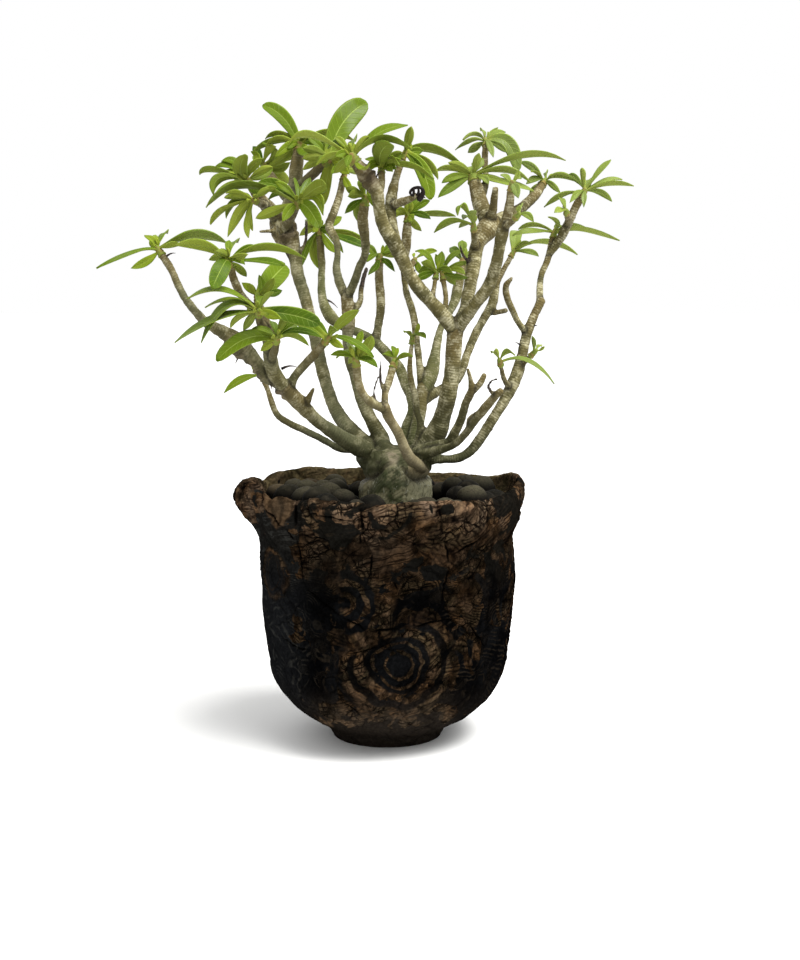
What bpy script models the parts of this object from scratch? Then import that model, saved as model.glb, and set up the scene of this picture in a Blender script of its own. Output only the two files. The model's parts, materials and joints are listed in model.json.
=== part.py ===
"""Potted desert rose: a hand-built clay pot, its filling, and a many-branched caudex plant.

The origin is the centre of the pot's foot on the ground, +Z is up and -Y is the front.
Lengths in this script are millimetres until a mesh is made.
"""

import math
import random
from collections import namedtuple

import bmesh
import bpy
from mathutils import Vector
from mathutils.bvhtree import BVHTree

METRES_PER_MM = 0.001
SEAT_GAP = 0.3

# The branches and leaves are laid out as seen from one eye in front of the pot:
# x and z lie on the upright picture plane through the pot's axis, and depth is world y.
EYE = Vector((4.16, -495.1, 152.6))
PICTURE_CENTRE = Vector((4.16, 0.0, 83.0))
PICTURE_X = 4.16
PICTURE_Z = 81.28
EYE_PITCH = math.radians(8.0)
DEPTH_SPREAD = 1.25

POT_SIDES = 36
FOOT_RADIUS = 17.6
FLOOR_Z = 7.0
POT_OUTSIDE = ((1.5, 18.4), (4, 20), (8, 27), (12, 32), (18, 36), (25, 38), (35, 38.6), (50, 40.2),
               (58, 40.6), (65, 40.3), (70, 41.2), (74, 42.8), (78, 44.2), (81, 44.4))
POT_CREST = ((82.5, 43.2), (82.3, 41.9))
POT_INSIDE = ((79.5, 41.2), (76, 39.8), (72, 38.4), (64, 36.4), (50, 36.0), (35, 34.6), (22, 33.0),
              (14, 29.0), (9, 23.5), (FLOOR_Z, 19.0))
RIM_WAVE_FROM = 76.0
# Swellings of the pot's wall: azimuth, height, half width in degrees, half height, rise
POT_LUMPS = ((180, 76, 21, 7, 4.4), (220, 70, 13, 6, 2.4), (335, 72.5, 12, 5, 2.0), (262, 74, 14, 5, 1.2),
             (300, 66, 12, 6, 1.0), (60, 74, 16, 6, 2.2), (115, 76, 18, 6, 2.6), (200, 40, 14, 9, 1.0),
             (20, 45, 15, 10, 1.0), (240, 22, 16, 8, 1.0), (90, 48, 18, 12, 1.2))
DRAIN_HOLES = 5
DRAIN_RING_RADIUS = 9.5
DRAIN_RADIUS = 1.8

SUBSTRATE_TOP = 73.6
BED_TOP = 77.7
FILL_SIDES = 20
PEBBLE_SEED = 11
PEBBLE_SPACING = 8.6
PEBBLE_JITTER = 1.0
PEBBLE_RADII = (4.0, 4.7)
PEBBLE_LIMIT_RADIUS = 39.5
PEBBLE_SEGMENTS = 6
PEBBLE_RINGS = 4

CAUDEX_X = 2.7
CAUDEX_Y = -3.0
CAUDEX_SIDES = 14
CAUDEX_RINGS = ((63, 5.0, 5.0), (67, 8.2, 8.0), (72, 10.6, 10.2), (77, 11.6, 11.0), (82, 11.7, 11.1),
                (86, 11.2, 10.4), (89, 11.6, 9.8), (92, 12.2, 9.4), (94.5, 10.5, 7.8), (96, 6.0, 4.6))

STRAIGHT_WITHIN = 0.45

# One run of wood: the run it leaves, the depths it passes through, and its (x, z, radius) points.
# A run that leaves another starts at that run's nearest point, at its depth there.
Run = namedtuple("Run", "parent depths points")
RUNS = {
    "left": Run(None, (-6, -13, -20), (
        (-6, 90.5, 3.0), (-12, 93.3, 2.8), (-17, 96.5, 2.3), (-22, 100, 2.1), (-26, 103.8, 2.3),
        (-30, 108, 2.5), (-33, 111, 2.4))),
    "left_riser": Run("left", (-26, -30), (
        (-33, 111, 2.3), (-36, 115.5, 2.3), (-37.3, 120, 2.4), (-37.5, 125, 2.4), (-38.5, 130, 2.2),
        (-40.5, 134.5, 1.8), (-41, 137.5, 1.5))),
    "left_riser_tip": Run("left_riser", (-32,), (
        (-39, 131.5, 1.5), (-42.3, 135.5, 1.5), (-44.8, 138.2, 1.5), (-47, 141, 1.4), (-48.8, 145, 1.4),
        (-50, 149, 1.3))),
    "left_riser_side": Run("left_riser", (-36,), ((-38.2, 129, 1.5), (-40.5, 131.5, 1.4), (-41, 134, 1.3))),
    "left_riser_low": Run("left_riser", (-35,), ((-37.3, 119.5, 1.5), (-36, 122.5, 1.4), (-35.5, 125.5, 1.3))),
    "far_left": Run("left", (-22, -24, -20), (
        (-33, 110.5, 1.6), (-38.5, 114, 1.7), (-41, 118, 1.9), (-44.5, 122, 2.5), (-48.5, 126, 2.7),
        (-53, 129, 2.1), (-58, 131.8, 1.6), (-61.5, 135.5, 1.4), (-64.5, 139.3, 1.3), (-67, 144, 1.25),
        (-69.2, 149, 1.25), (-71.8, 153, 1.3))),
    "left_fork": Run("left", (-20, -26), (
        (-31.5, 109.5, 1.6), (-29.5, 114.5, 1.5), (-26, 118.5, 1.5), (-22.5, 122.3, 1.5), (-20, 125.2, 1.3))),
    "left_stub": Run("left", (-20,), ((-26, 103.8, 1.1), (-25, 107.5, 1.1), (-23.3, 110.8, 0.5))),
    "low_rear": Run(None, (0, 9, 16), (
        (-4, 90, 1.6), (-9, 91, 1.3), (-15, 91.3, 1.2), (-20, 94, 1.2), (-26, 97, 1.2), (-31, 99.3, 1.2),
        (-35, 102, 1.1), (-37, 106.5, 1.05), (-38.3, 110.5, 0.9), (-39.5, 113, 0.9))),
    "back_left": Run(None, (0, 12, 20, 24), (
        (-5, 90.5, 3.0), (-10, 95.5, 2.8), (-14, 100, 2.5), (-17, 105, 2.2), (-18.8, 110, 2.0),
        (-20.3, 115, 2.0), (-21.5, 120, 2.0), (-22.8, 126, 2.0), (-24.5, 133, 2.0), (-26.3, 140, 2.0),
        (-28.5, 147, 2.1), (-29.3, 152, 2.2), (-31, 157, 3.0), (-33.5, 161.5, 3.8), (-34, 165, 3.6))),
    "back_left_top": Run("back_left", (30, 34), (
        (-33.5, 163, 2.8), (-31, 170, 2.4), (-29.5, 175, 2.3), (-29, 181, 2.2), (-28.3, 186.5, 1.9))),
    "back_left_outer": Run("back_left", (16,), (
        (-33.8, 164, 2.4), (-39, 169.5, 2.2), (-41.5, 172.5, 1.9), (-43.5, 175.5, 1.5))),
    "back_left_outer_side": Run("back_left_outer", (8,), (
        (-38.5, 169, 1.4), (-40.5, 169.8, 1.3), (-42, 170.6, 1.2))),
    "back_left_inner": Run("back_left_top", (20,), (
        (-29.6, 174, 1.6), (-26, 177, 1.6), (-22.5, 180.3, 1.6), (-19.8, 182.5, 1.5))),
    "back_left_spur": Run("back_left_top", (38,), (
        (-31, 170, 1.6), (-35.5, 176, 1.6), (-38.5, 180.5, 1.5))),
    "back_left_front": Run("back_left", (10,), (
        (-33, 161, 1.7), (-31, 165, 1.6), (-29, 169, 1.4))),
    "back_left_stub": Run("back_left", (18,), ((-33.5, 161, 0.9), (-40.5, 160.8, 0.6))),
    "back_left_twig": Run("back_left", (20,), (
        (-29.3, 152, 0.8), (-26.5, 156.5, 0.6), (-25.8, 160, 0.6), (-25.8, 164, 0.6))),
    "middle": Run(None, (1, 6, 10), (
        (-1, 91, 2.6), (-2, 95, 2.5), (-4.5, 99.5, 2.3), (-6.8, 104, 2.2), (-8.7, 109, 1.9),
        (-10.3, 114.5, 1.7), (-11.8, 120, 1.8), (-12.6, 126, 1.8), (-12.3, 131, 2.2), (-12.6, 136, 2.1),
        (-12.8, 140, 2.1))),
    "middle_left": Run("middle", (14, 22), (
        (-12.8, 139, 1.6), (-15, 144, 1.5), (-16.2, 149, 1.3), (-15.8, 154, 1.1), (-16.3, 158, 1.3),
        (-18.5, 162.5, 1.5), (-16.8, 167.5, 1.4), (-15.3, 172, 1.2), (-14.2, 177, 1.1))),
    "middle_right": Run("middle", (4, 2), (
        (-12.7, 139.5, 1.5), (-10.3, 145, 1.4), (-8.8, 149.5, 1.3), (-7, 153.5, 1.3), (-7, 158.5, 1.6),
        (-7.8, 164, 1.8), (-7.2, 169, 1.5))),
    "middle_twig": Run("middle", (14,), (
        (-12.4, 133, 1.1), (-8.8, 138, 1.0), (-8.3, 142, 0.9), (-7.5, 146, 0.8), (-6.5, 149, 0.7))),
    "front": Run(None, (-7, -11.5, -17, -20), (
        (12.5, 85.5, 2.0), (9.3, 86.8, 1.9), (6.8, 89, 1.9), (5.3, 92, 1.8), (4, 95.5, 1.7),
        (2, 99, 1.6), (0.2, 102, 1.7), (-0.8, 105, 1.6))),
    "front_left": Run("front", (-24, -26), (
        (-0.5, 104, 1.5), (-5, 106, 1.5), (-7.8, 109, 1.4), (-9.2, 113, 1.4), (-9.7, 117.5, 1.4))),
    "front_right": Run("front", (-16,), (
        (-0.7, 104.5, 1.3), (-0.6, 109, 1.2), (0.5, 112.5, 1.3), (1.8, 117, 1.3))),
    "front_dead": Run("front_right", (-20,), ((-0.6, 109, 0.8), (-2, 113, 0.6), (-2, 119.5, 0.45))),
    "front_curl": Run("front_left", (-22,), (
        (-3.5, 105.3, 0.6), (-4.2, 109.3, 0.5), (-3.6, 112, 0.45), (-2.7, 114.5, 0.4))),
    "crossing": Run(None, (3, 12, 20, 28, 34), (
        (6, 90, 2.4), (6.3, 97, 2.2), (8, 102, 1.9), (8, 107, 1.7), (6, 112, 1.8), (4, 117, 1.7),
        (0.5, 121.3, 1.7), (-3.5, 125.3, 1.6), (-8.5, 128.2, 1.5), (-14, 130.5, 1.6), (-18, 133.5, 2.0),
        (-20.3, 138, 1.6), (-21, 143, 1.3), (-20.9, 149, 1.2), (-21.2, 155, 1.3), (-21.5, 159, 1.2))),
    "crossing_up": Run("crossing", (26, 28), (
        (-3.5, 125.3, 1.4), (-2.9, 130, 1.4), (-2.1, 135, 1.4), (-2.1, 140, 1.5), (-2.5, 145.5, 1.4),
        (-2.4, 150.5, 1.4))),
    "thin": Run(None, (-5, -3), (
        (9, 91, 1.6), (10.8, 98.5, 1.2), (9.6, 103, 1.1), (9, 108, 1.1), (7.7, 113, 1.1), (7.3, 118.5, 0.9),
        (7.9, 124.5, 0.8))),
    "rear": Run(None, (1, 8), ((8, 90.5, 2.4), (10, 100, 2.2), (11, 107, 2.0), (11.3, 111, 1.9))),
    "rear_left": Run("rear", (15, 19, 20), (
        (11, 109, 1.6), (10.8, 114, 1.3), (10.2, 120, 1.2), (9.4, 127, 1.2), (8.8, 132, 1.3),
        (7.8, 136.5, 1.2), (6.3, 141, 1.1), (5.5, 146, 1.0), (5.2, 150.5, 1.2), (6, 155, 1.6),
        (6.3, 160, 1.6), (6.5, 163.5, 1.3))),
    "rear_left_side": Run("rear_left", (30,), ((5.4, 146.5, 1.0), (7.5, 149, 0.9), (8.5, 151, 0.9))),
    "rear_right": Run("rear", (18, 30), (
        (11.2, 110, 1.8), (13.7, 114, 2.4), (15, 119, 2.0), (16, 125, 1.4), (17.3, 130, 1.2),
        (20, 135, 1.3), (22, 139.5, 1.7), (23, 145, 1.7), (24, 149.5, 1.5))),
    "far_rear": Run("rear", (16, 26, 30), (
        (10.9, 106, 1.6), (14.5, 108.5, 1.6), (18.5, 111, 1.5), (22.5, 113.5, 1.5), (24.5, 118, 1.4),
        (26, 122.5, 1.4), (28.3, 128, 1.4), (31, 133, 1.4), (33.7, 137.5, 1.6), (34.3, 141, 1.5),
        (35.3, 145, 1.2), (37.5, 149, 0.95), (39.5, 152.5, 0.9))),
    "trunk": Run(None, (-4, -8, -8), (
        (10, 89, 4.2), (15.5, 96, 3.5), (17.8, 102, 2.9), (19.5, 108, 2.8), (20.7, 115, 2.65),
        (21.2, 121, 2.6), (21.6, 127, 2.7), (22.3, 131, 2.7))),
    "trunk_left": Run("trunk", (-12, -15), (
        (21.9, 129, 2.6), (17.5, 134.5, 2.4), (13.5, 139, 2.2), (9.5, 143.5, 2.2), (6.3, 149, 2.2),
        (4.2, 153.5, 2.3), (1.8, 158, 2.5), (-1, 162.5, 2.2), (-2.5, 168, 2.0), (-3.2, 173, 2.1),
        (-6.5, 178, 2.2), (-9.8, 182.7, 2.0))),
    "trunk_left_inner": Run("trunk_left", (-8,), ((-3, 172, 1.5), (-1.8, 176, 1.3), (-1.8, 179.5, 1.2))),
    "trunk_left_right": Run("trunk_left", (-8, -5), (
        (3, 155.5, 2.0), (1.5, 163, 2.0), (1, 168, 1.9), (1.8, 173.5, 1.8), (3, 178.5, 1.3), (4.8, 183.5, 1.1))),
    "capsule_stalk": Run("trunk_left_right", (-14,), (
        (1.2, 169, 1.4), (5.5, 170.5, 1.4), (8.3, 171.8, 1.1), (9.8, 172.6, 1.7))),
    "trunk_left_rise_a": Run("trunk_left", (-6,), ((15, 137.5, 1.0), (14.8, 141, 0.9), (15.5, 145.5, 0.8))),
    "trunk_left_rise_b": Run("trunk_left", (-3,), ((18.5, 133.2, 1.0), (18.8, 140, 0.9), (18, 145, 0.9))),
    "trunk_right": Run("trunk", (-4, 2), (
        (22, 129.5, 2.5), (24.8, 135, 2.2), (26, 140.5, 2.1), (27, 146, 2.2), (28, 152, 2.3),
        (29.3, 157.5, 2.4), (32, 161.5, 3.6), (33.5, 163.5, 3.0))),
    "trunk_right_outer": Run("trunk", (-14, -17), (
        (22, 129, 2.2), (28.5, 138, 2.0), (32, 142.5, 2.0), (34.3, 148, 2.0), (35.7, 154, 1.9),
        (36.8, 160, 2.1), (38.3, 165, 1.7), (39.3, 170, 1.5), (39.6, 173.5, 1.3))),
    "trunk_right_side": Run("trunk_right_outer", (-21,), ((37.3, 162, 1.2), (39.5, 163.5, 1.1), (41, 165, 1.0))),
    "right_head_left": Run("trunk_right", (8,), (
        (33, 163, 2.7), (30.3, 168.5, 2.7), (29, 173, 2.4), (28, 176.5, 2.0))),
    "right_head_top": Run("right_head_left", (16,), (
        (29.5, 170.5, 1.5), (31.6, 176, 1.1), (31.3, 183, 1.1), (31.5, 188, 1.1))),
    "right_head_stub": Run("trunk_right", (-3,), ((33, 163, 1.8), (34.2, 170, 1.3), (34.7, 174.5, 1.1))),
    "right_head_front": Run("trunk_right", (-6,), ((28.5, 154.5, 1.4), (28, 158, 1.2), (27.8, 161, 1.1))),
    "right_head_rear": Run("trunk_right", (18,), (
        (33.5, 163.3, 2.2), (42, 167.8, 1.8), (45.5, 170.5, 1.7), (48, 173.2, 1.6), (49.4, 175.5, 1.4))),
    "right_twig": Run("trunk_right", (-6,), ((27.5, 150, 0.7), (24.5, 153, 0.6), (23.4, 156.3, 0.5))),
    "low_right": Run(None, (-7, -14, -20), (
        (9, 89, 2.4), (15, 92, 1.9), (19.5, 93.3, 1.6), (22, 97, 1.5), (23.8, 101, 1.5), (25.3, 106, 1.4),
        (27, 109.8, 1.3), (26.8, 113, 0.9), (25.8, 117, 0.6))),
    "low_right_side": Run("low_right", (-18,), ((26.6, 109, 1.1), (29.7, 112, 1.1), (31.2, 115, 0.9))),
    "low_front_right": Run(None, (-8, -20, -30), (
        (10, 89, 2.2), (17, 91, 1.5), (21, 92.3, 1.3), (24.5, 95.5, 1.3), (28, 100, 1.35),
        (31.3, 104.3, 1.5), (34.5, 108, 1.4), (36.5, 109.8, 1.2))),
    "low_front_flap": Run("low_front_right", (-24,), ((26, 97.5, 0.9), (26.3, 101, 0.7), (30, 103.8, 0.5))),
    "low_front_curl": Run("low_front_right", (-34,), (
        (34.5, 108, 0.8), (32.5, 111, 0.6), (33.5, 113, 0.5), (35.3, 113.6, 0.45))),
    "right": Run(None, (-6, -3, 2, 5), (
        (10, 88, 2.2), (17, 88, 1.6), (22, 88.2, 1.5), (26, 90, 1.6), (29.5, 94, 1.7), (33, 99.5, 1.7),
        (36.5, 105, 1.8), (39.8, 111, 2.1), (42, 116.5, 2.1), (43.3, 121.5, 1.8), (44.5, 127, 1.7),
        (46.5, 132.5, 1.6), (49.3, 138.8, 1.5))),
    "right_top": Run("right", (9, 12), (
        (49, 138, 1.3), (48.9, 143.5, 1.1), (49.6, 147.5, 1.1), (51.3, 151.5, 1.1), (52.2, 155, 1.1),
        (53, 158.5, 1.1))),
    "right_inner": Run("right", (-2,), (
        (44.8, 128, 1.2), (42, 131.8, 1.1), (40.2, 135.5, 1.1), (38.5, 139.5, 1.1), (38, 143.3, 1.1),
        (40, 146, 0.6))),
    "right_low": Run("right", (-8,), ((39.5, 110.5, 1.1), (37.5, 113.5, 0.9), (36.4, 118, 0.8))),
    "right_stub": Run("right", (0,), ((42.2, 117, 1.0), (45.8, 120.8, 0.8))),
    "far_right": Run("right_top", (10,), (
        (52, 153.5, 1.3), (54.8, 157.5, 1.4), (56.8, 161, 1.6), (58.5, 164.5, 1.6), (60, 168, 1.4), (62, 171.5, 1.3))),
    "far_right_side": Run("far_right", (2,), ((57.5, 163, 1.2), (57.8, 164.5, 1.0), (57.5, 166.5, 0.9))),
}

# One leafy shoot tip: the run it ends, its heart (x, z) and its leaves. A leaf is
# (middle x, middle z, tip x, tip z, seen width, side) or, nearly straight, (tip x, tip z, width, side);
# side is -1 for a leaf that comes forward and 1 for one that goes back.
Rosette = namedtuple("Rosette", "run heart leaves")
ROSETTES = (
    Rosette("far_left", (-72.5, 155), (
        (-80, 154.6, -93, 149, 2.6, -1), (-76.5, 151.6, -82, 149, 3.4, -1), (-75, 158, -77.7, 159.6, 2.2, 1),
        (-74.3, 159.6, 1.8, 1), (-62, 159.3, -51, 157, 4.2, 1), (-69, 156.3, -65.5, 157, 2.4, -1))),
    Rosette("left_riser_tip", (-50.2, 151), (
        (-58, 156, -68, 156.3, 4.5, -1), (-50.5, 158, 3, 1), (-46.5, 154.5, -42.3, 156.5, 3, 1),
        (-40, 155.3, -26, 152.3, 2.8, 1), (-41, 151.3, -33, 150, 2.6, -1), (-53, 149, -56, 142.5, 6, -1))),
    Rosette("left_riser", (-41, 139.5), (
        (-37, 145.5, -32.5, 150, 7, 1), (-37, 141, -33.5, 142, 2.5, 1))),
    Rosette("left_riser_side", (-41.5, 136), (
        (-50, 138.7, -58.3, 136.5, 2.2, 1), (-51, 137, -59.5, 125.2, 3.5, -1),
        (-54, 133, -68, 125.3, 3, -1), (-47, 133.5, -50, 130, 2.5, -1), (-30, 134, -21.5, 131, 5.5, -1),
        (-52, 141.8, -64, 139.3, 1.8, -1))),
    Rosette("left_riser_low", (-35.3, 127.5), (
        (-45, 126.5, -54.5, 119.3, 5, -1), (-30, 127.4, -25, 124.3, 2.4, 1), (-37, 132, 2.5, 1),
        (-29, 129, -21, 127, 2.5, -1))),
    Rosette("left_fork", (-19.3, 127), (
        (-28, 130.5, -34, 130, 4.5, -1), (-14.5, 131.8, -8.8, 135.7, 4.2, -1), (-12, 126, -4.2, 120.5, 3, -1))),
    Rosette("low_rear", (-40, 114.8), (
        (-46, 113.6, -52.3, 109, 3, -1), (-42, 118.5, 2, 1), (-36.5, 117, 2, 1))),
    Rosette("front_left", (-9.7, 119.5), (
        (-6.5, 123.5, -5, 127.5, 3.8, -1), (-6.5, 120, -3, 117.3, 2, -1), (-13, 122, -16.3, 120.3, 1.6, 1),
        (-8, 129, 2.4, 1))),
    Rosette("front_right", (2.3, 119), ((5, 121, 8.3, 120.8, 1.8, -1), (2, 124, 1.8, 1), (-1.5, 121.5, 1.6, 1))),
    Rosette("crossing", (-21.3, 161), (
        (-12, 159.5, -4, 152.8, 3, 1), (-14, 158.5, -6, 155.5, 3, -1), (-23.5, 155.5, -22, 149, 3.5, 1),
        (-25.5, 156, -27.5, 149, 3, -1), (-14, 154, 2.4, -1))),
    Rosette("back_left_front", (-28.5, 171), (
        (-45, 175.5, -57, 169.5, 3.5, -1), (-29.5, 178, 2, 1), (-23, 174.5, -19.5, 175.5, 5, -1),
        (-25, 168, -21.5, 162, 5, -1), (-36, 167.5, -42, 165, 4, -1), (-35, 175.5, -42, 176, 4, 1))),
    Rosette("back_left_outer", (-44.2, 177), (
        (-47, 180.5, -45.5, 185.5, 5, -1), (-55, 180.5, -60, 179, 2.5, 1), (-53.5, 178, -55.5, 172.5, 4, -1),
        (-50, 181.8, -55, 181.5, 3, 1), (-50, 175.5, -56, 171, 3, -1), (-52, 174, -58, 168.5, 2, 1))),
    Rosette("back_left_outer_side", (-43.3, 171.3), (
        (-48.5, 170.5, -51.5, 165, 2.5, 1), (-46.5, 168, -51, 159, 4, -1), (-51, 168.5, -56.5, 163, 2.5, 1),
        (-44.5, 164.5, -44.3, 158.8, 2.8, -1))),
    Rosette("back_left_spur", (-39.5, 182), ((-43, 188, 3, 1), (-36, 186.5, -40, 189, 3, -1), (-30, 184, 3, 1))),
    Rosette("back_left_top", (-28, 188.3), (
        (-33, 197, -39.8, 201.2, 4.6, 1), (-20, 191.8, -10, 189.7, 3.4, -1), (-34, 192, -39, 190.4, 2.4, 1),
        (-35, 190, -43, 186, 3, -1), (-31, 188.5, -36, 184.5, 3.5, -1), (-22, 190, -17, 187, 4, -1))),
    Rosette("back_left_inner", (-18.6, 184), (
        (-14.5, 195, -6.5, 202.2, 8, 1), (-15, 186.5, -11, 184, 3, -1), (-27, 184, 3, -1),
        (-15, 183.5, -12, 179, 3, -1))),
    Rosette("trunk_left", (-10.5, 184.5), (
        (-3, 192, 6.7, 194.9, 3.2, 1), (-2, 190.3, 8, 187, 3.4, -1), (-15, 189, -19, 187.3, 2.4, 1),
        (-13, 181.5, 2.4, -1))),
    Rosette("trunk_left_inner", (-1.6, 181.3), (
        (-2, 186, 1, 189, 6.5, -1), (1.5, 184, 4, 182, 2.6, -1), (6, 182, 15, 177.6, 2, 1), (-7, 184, 2, 1))),
    Rosette("trunk_left_right", (5.3, 185), (
        (6.8, 190, 7.7, 194.4, 3.6, -1), (12, 183.5, 16.3, 177.5, 3, 1), (11.5, 180, 13.8, 171, 4.8, -1))),
    Rosette("right_head_left", (27.7, 178.2), (
        (17, 186, 5.5, 186.7, 3.4, 1), (20, 181, 15, 179.6, 2.4, -1), (22, 178.5, 17.5, 176.3, 3, -1),
        (22, 176, 16.3, 171.6, 3.6, -1), (37, 176.8, 47, 173.7, 3, -1), (37, 180.5, 46, 176.5, 3, 1),
        (31, 176, 32.5, 172, 3, -1), (31, 184, 3, 1), (43, 184.8, 57.2, 183.6, 3, 1))),
    Rosette("right_head_top", (31.6, 189.5), (
        (28.5, 192, 24.3, 190, 2.4, -1), (34.5, 192, 38, 192.6, 2, 1), (27, 190, 21.8, 186.9, 2, 1),
        (38.5, 189.2, 41.8, 180, 4.5, -1), (34, 184.5, 3, -1))),
    Rosette("right_head_rear", (49.8, 177), (
        (47, 181, 42.5, 183, 3.5, 1), (46, 180, 1.6, -1), (55, 178.8, 61, 176.5, 3, -1),
        (52.5, 176, 55.5, 173, 2.8, -1), (44.5, 176, 3, -1))),
    Rosette("trunk_right_outer", (39.7, 175), ((36.4, 179, 2, 1), (42, 171.5, 3, -1), (43, 178, 2.4, 1))),
    Rosette("trunk_right_side", (41.8, 166), ((44.5, 166.3, 47, 163.8, 2.2, -1), (43, 169, 2, 1))),
    Rosette("far_right", (62.6, 173.3), (
        (68, 180, 71.7, 183.8, 2.6, 1), (62.3, 181.2, 2, -1), (69.5, 177, 75.3, 177.4, 2, 1),
        (71, 176, 79, 175.4, 2.6, -1), (68, 173.5, 72, 170.3, 3, -1), (56, 172.3, 50.2, 168.6, 2.2, 1),
        (58.5, 170, 3, -1), (63, 168.5, 2.5, -1), (58.1, 179, 3, 1))),
    Rosette("far_right_side", (57.4, 167.6), ((55, 171.5, 2, 1), (53.5, 166.8, 2, -1))),
    Rosette("right_top", (53.1, 160), (
        (62, 161.3, 74.5, 158, 2.6, -1), (48, 162.8, 42, 161.5, 2.4, 1), (47, 161, 40, 159.5, 2.2, -1),
        (54.5, 163.5, 51.5, 165.5, 2.5, -1), (64, 162, 2, 1))),
    Rosette("far_rear", (40.2, 154.2), (
        (49.5, 157.5, 61, 153.4, 2.4, 1), (45, 154.5, 48.5, 152.8, 2, -1), (41.5, 161, 4, 1),
        (46.5, 157, 2, -1))),
    Rosette("right_low", (36.1, 119.5), (
        (45, 119.5, 53.6, 112, 2.6, -1), (38.3, 122.3, 41, 121.2, 2, -1), (33.3, 122, 1.8, 1))),
    Rosette("rear_left", (6.5, 165.2), (
        (3, 168, 2, -1), (9.8, 169.5, 2, 1), (14, 166.5, 22, 165.7, 2.8, 1), (14, 164.8, 2.2, -1))),
    Rosette("trunk_left_rise_a", (15.8, 147), (
        (11, 151, 3, -1), (13, 153, 9, 154.5, 2.2, 1), (21, 147.5, 3, -1))),
    Rosette("trunk_left_rise_b", (17.8, 146.5), (
        (20, 152, 25, 155, 2.6, 1), (22, 148.7, 25, 147, 2.4, -1), (22, 143.5, 3, 1))),
    Rosette("right_head_front", (27.8, 162.7), (
        (27, 167.5, 4, -1), (23, 162, 2, 1), (21, 164, 15, 160.5, 2.4, 1), (24, 169, 22.5, 166, 2, -1))),
    Rosette("crossing_up", (-2.4, 152.3), ((2.5, 148, 2.5, -1), (3.5, 152.5, 2.2, 1), (-6.5, 151, 2.2, -1))),
    Rosette("rear_left_side", (9, 152.3), ((10.8, 147, 2.2, -1), (16, 154.5, 2, 1))),
    Rosette("middle_left", (-14, 178.8), ((-12, 184, 2.5, -1), (-18, 182, 2.5, 1), (-9.5, 180.5, 2.5, 1))),
    Rosette("middle_right", (-7, 170.5), ((-8, 175.5, -4, 172, 3, -1), (-12.5, 172, 3, -1), (-9, 177, 2.6, 1))),
    Rosette("right_stub", (46.3, 121.8), ((46.8, 127, 1.6, -1), (49.5, 124, 1.6, 1))),
    Rosette("thin", (8, 126), ((5.5, 128.6, 1.4, -1), (12.5, 126.6, 1.6, -1))),
    Rosette("rear_right", (24.3, 151), ((20, 155.5, 3, 1), (28.5, 153.5, 3, 1), (24, 158, 3, 1))),
)

SHOOT_SIDES = 5
SHOOT_LEAST_RADIUS = 1.0
SHOOT_LEAST_LENGTH = 3.2
SHOOT_PAST_HEART = 1.6
BLADE_THICKNESS = 0.9
BLADE_FOLD = 0.16
LEAF_WIDTH_PER_LENGTH = 0.27
LEAF_WIDEST = 7.0
LEAF_NARROWEST = 2.2
LEAF_LENGTH_PER_SEEN_WIDTH = 2.9
LEAF_LEAST_LENGTH = 8.0
SMALL_LEAF = 9.0
# Where a blade's stations lie along it, and how wide it is there
LONG_BLADE = ((0.0, 0.22), (0.42, 0.86), (0.76, 0.84))
SMALL_BLADE = ((0.0, 0.26), (0.6, 1.0))
# A leaf that would touch a neighbour swings in depth, or lifts its tip, until it is clear.
SWINGS = (1.0, 0.7, 1.35, 0.4, 1.7, 0.1, -0.3, -0.7, -1.1, 2.1)
LIFTS = (0.0, 1.2, -1.2, 2.4, -2.4, 4.0, -4.0)
CLEARANCE = 0.35
REAR_LEAVES_SEED = 5
FULL_ROSETTE = 4
RICH_ROSETTE = 6
REAR_LEAF_LENGTHS = (12.0, 17.0)


def sight(x, z, depth):
    """The point at this depth that the eye sees at (x, z), and how much larger sizes are there."""
    right = Vector((1.0, 0.0, 0.0))
    up = Vector((0.0, math.sin(EYE_PITCH), math.cos(EYE_PITCH)))
    on_picture = PICTURE_CENTRE + right * (x - PICTURE_X) + up * (z - PICTURE_Z)
    scale = (depth - EYE.y) / (on_picture.y - EYE.y)
    return EYE + (on_picture - EYE) * scale, scale


def make_material(name, colour, roughness):
    material = bpy.data.materials.new(name)
    material.use_nodes = True
    shader = material.node_tree.nodes["Principled BSDF"]
    shader.inputs["Base Color"].default_value = (*colour, 1.0)
    shader.inputs["Roughness"].default_value = roughness
    shader.inputs["Metallic"].default_value = 0.0
    return material


def make_object(name, points, faces, material=None):
    """A closed mesh from millimetre points, with its faces turned outwards."""
    mesh = bpy.data.meshes.new(name)
    mesh.from_pydata([Vector(p) * METRES_PER_MM for p in points], [], faces)
    shape = bmesh.new()
    shape.from_mesh(mesh)
    bmesh.ops.recalc_face_normals(shape, faces=shape.faces)
    shape.to_mesh(mesh)
    shape.free()
    made = bpy.data.objects.new(name, mesh)
    bpy.context.scene.collection.objects.link(made)
    if material:
        mesh.materials.append(material)
    return made


def join_repeats(base, repeats, solver="EXACT"):
    """Fuse the repeats into the base with one Boolean union, and drop the loose objects."""
    group = bpy.data.collections.new(base.name + "_repeats")
    for piece in repeats:
        bpy.context.scene.collection.objects.unlink(piece)
        group.objects.link(piece)
    union = base.modifiers.new("union", "BOOLEAN")
    union.operation = "UNION"
    union.operand_type = "COLLECTION"
    union.collection = group
    union.solver = solver
    depsgraph = bpy.context.evaluated_depsgraph_get()
    fused = bpy.data.meshes.new_from_object(base.evaluated_get(depsgraph))
    base.modifiers.clear()
    base.data = fused
    for piece in list(group.objects):
        bpy.data.objects.remove(piece)
    bpy.data.collections.remove(group)


def shade(made, angle=40.0):
    made.data.shade_smooth()
    made.data.set_sharp_from_angle(angle=math.radians(angle))


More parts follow.
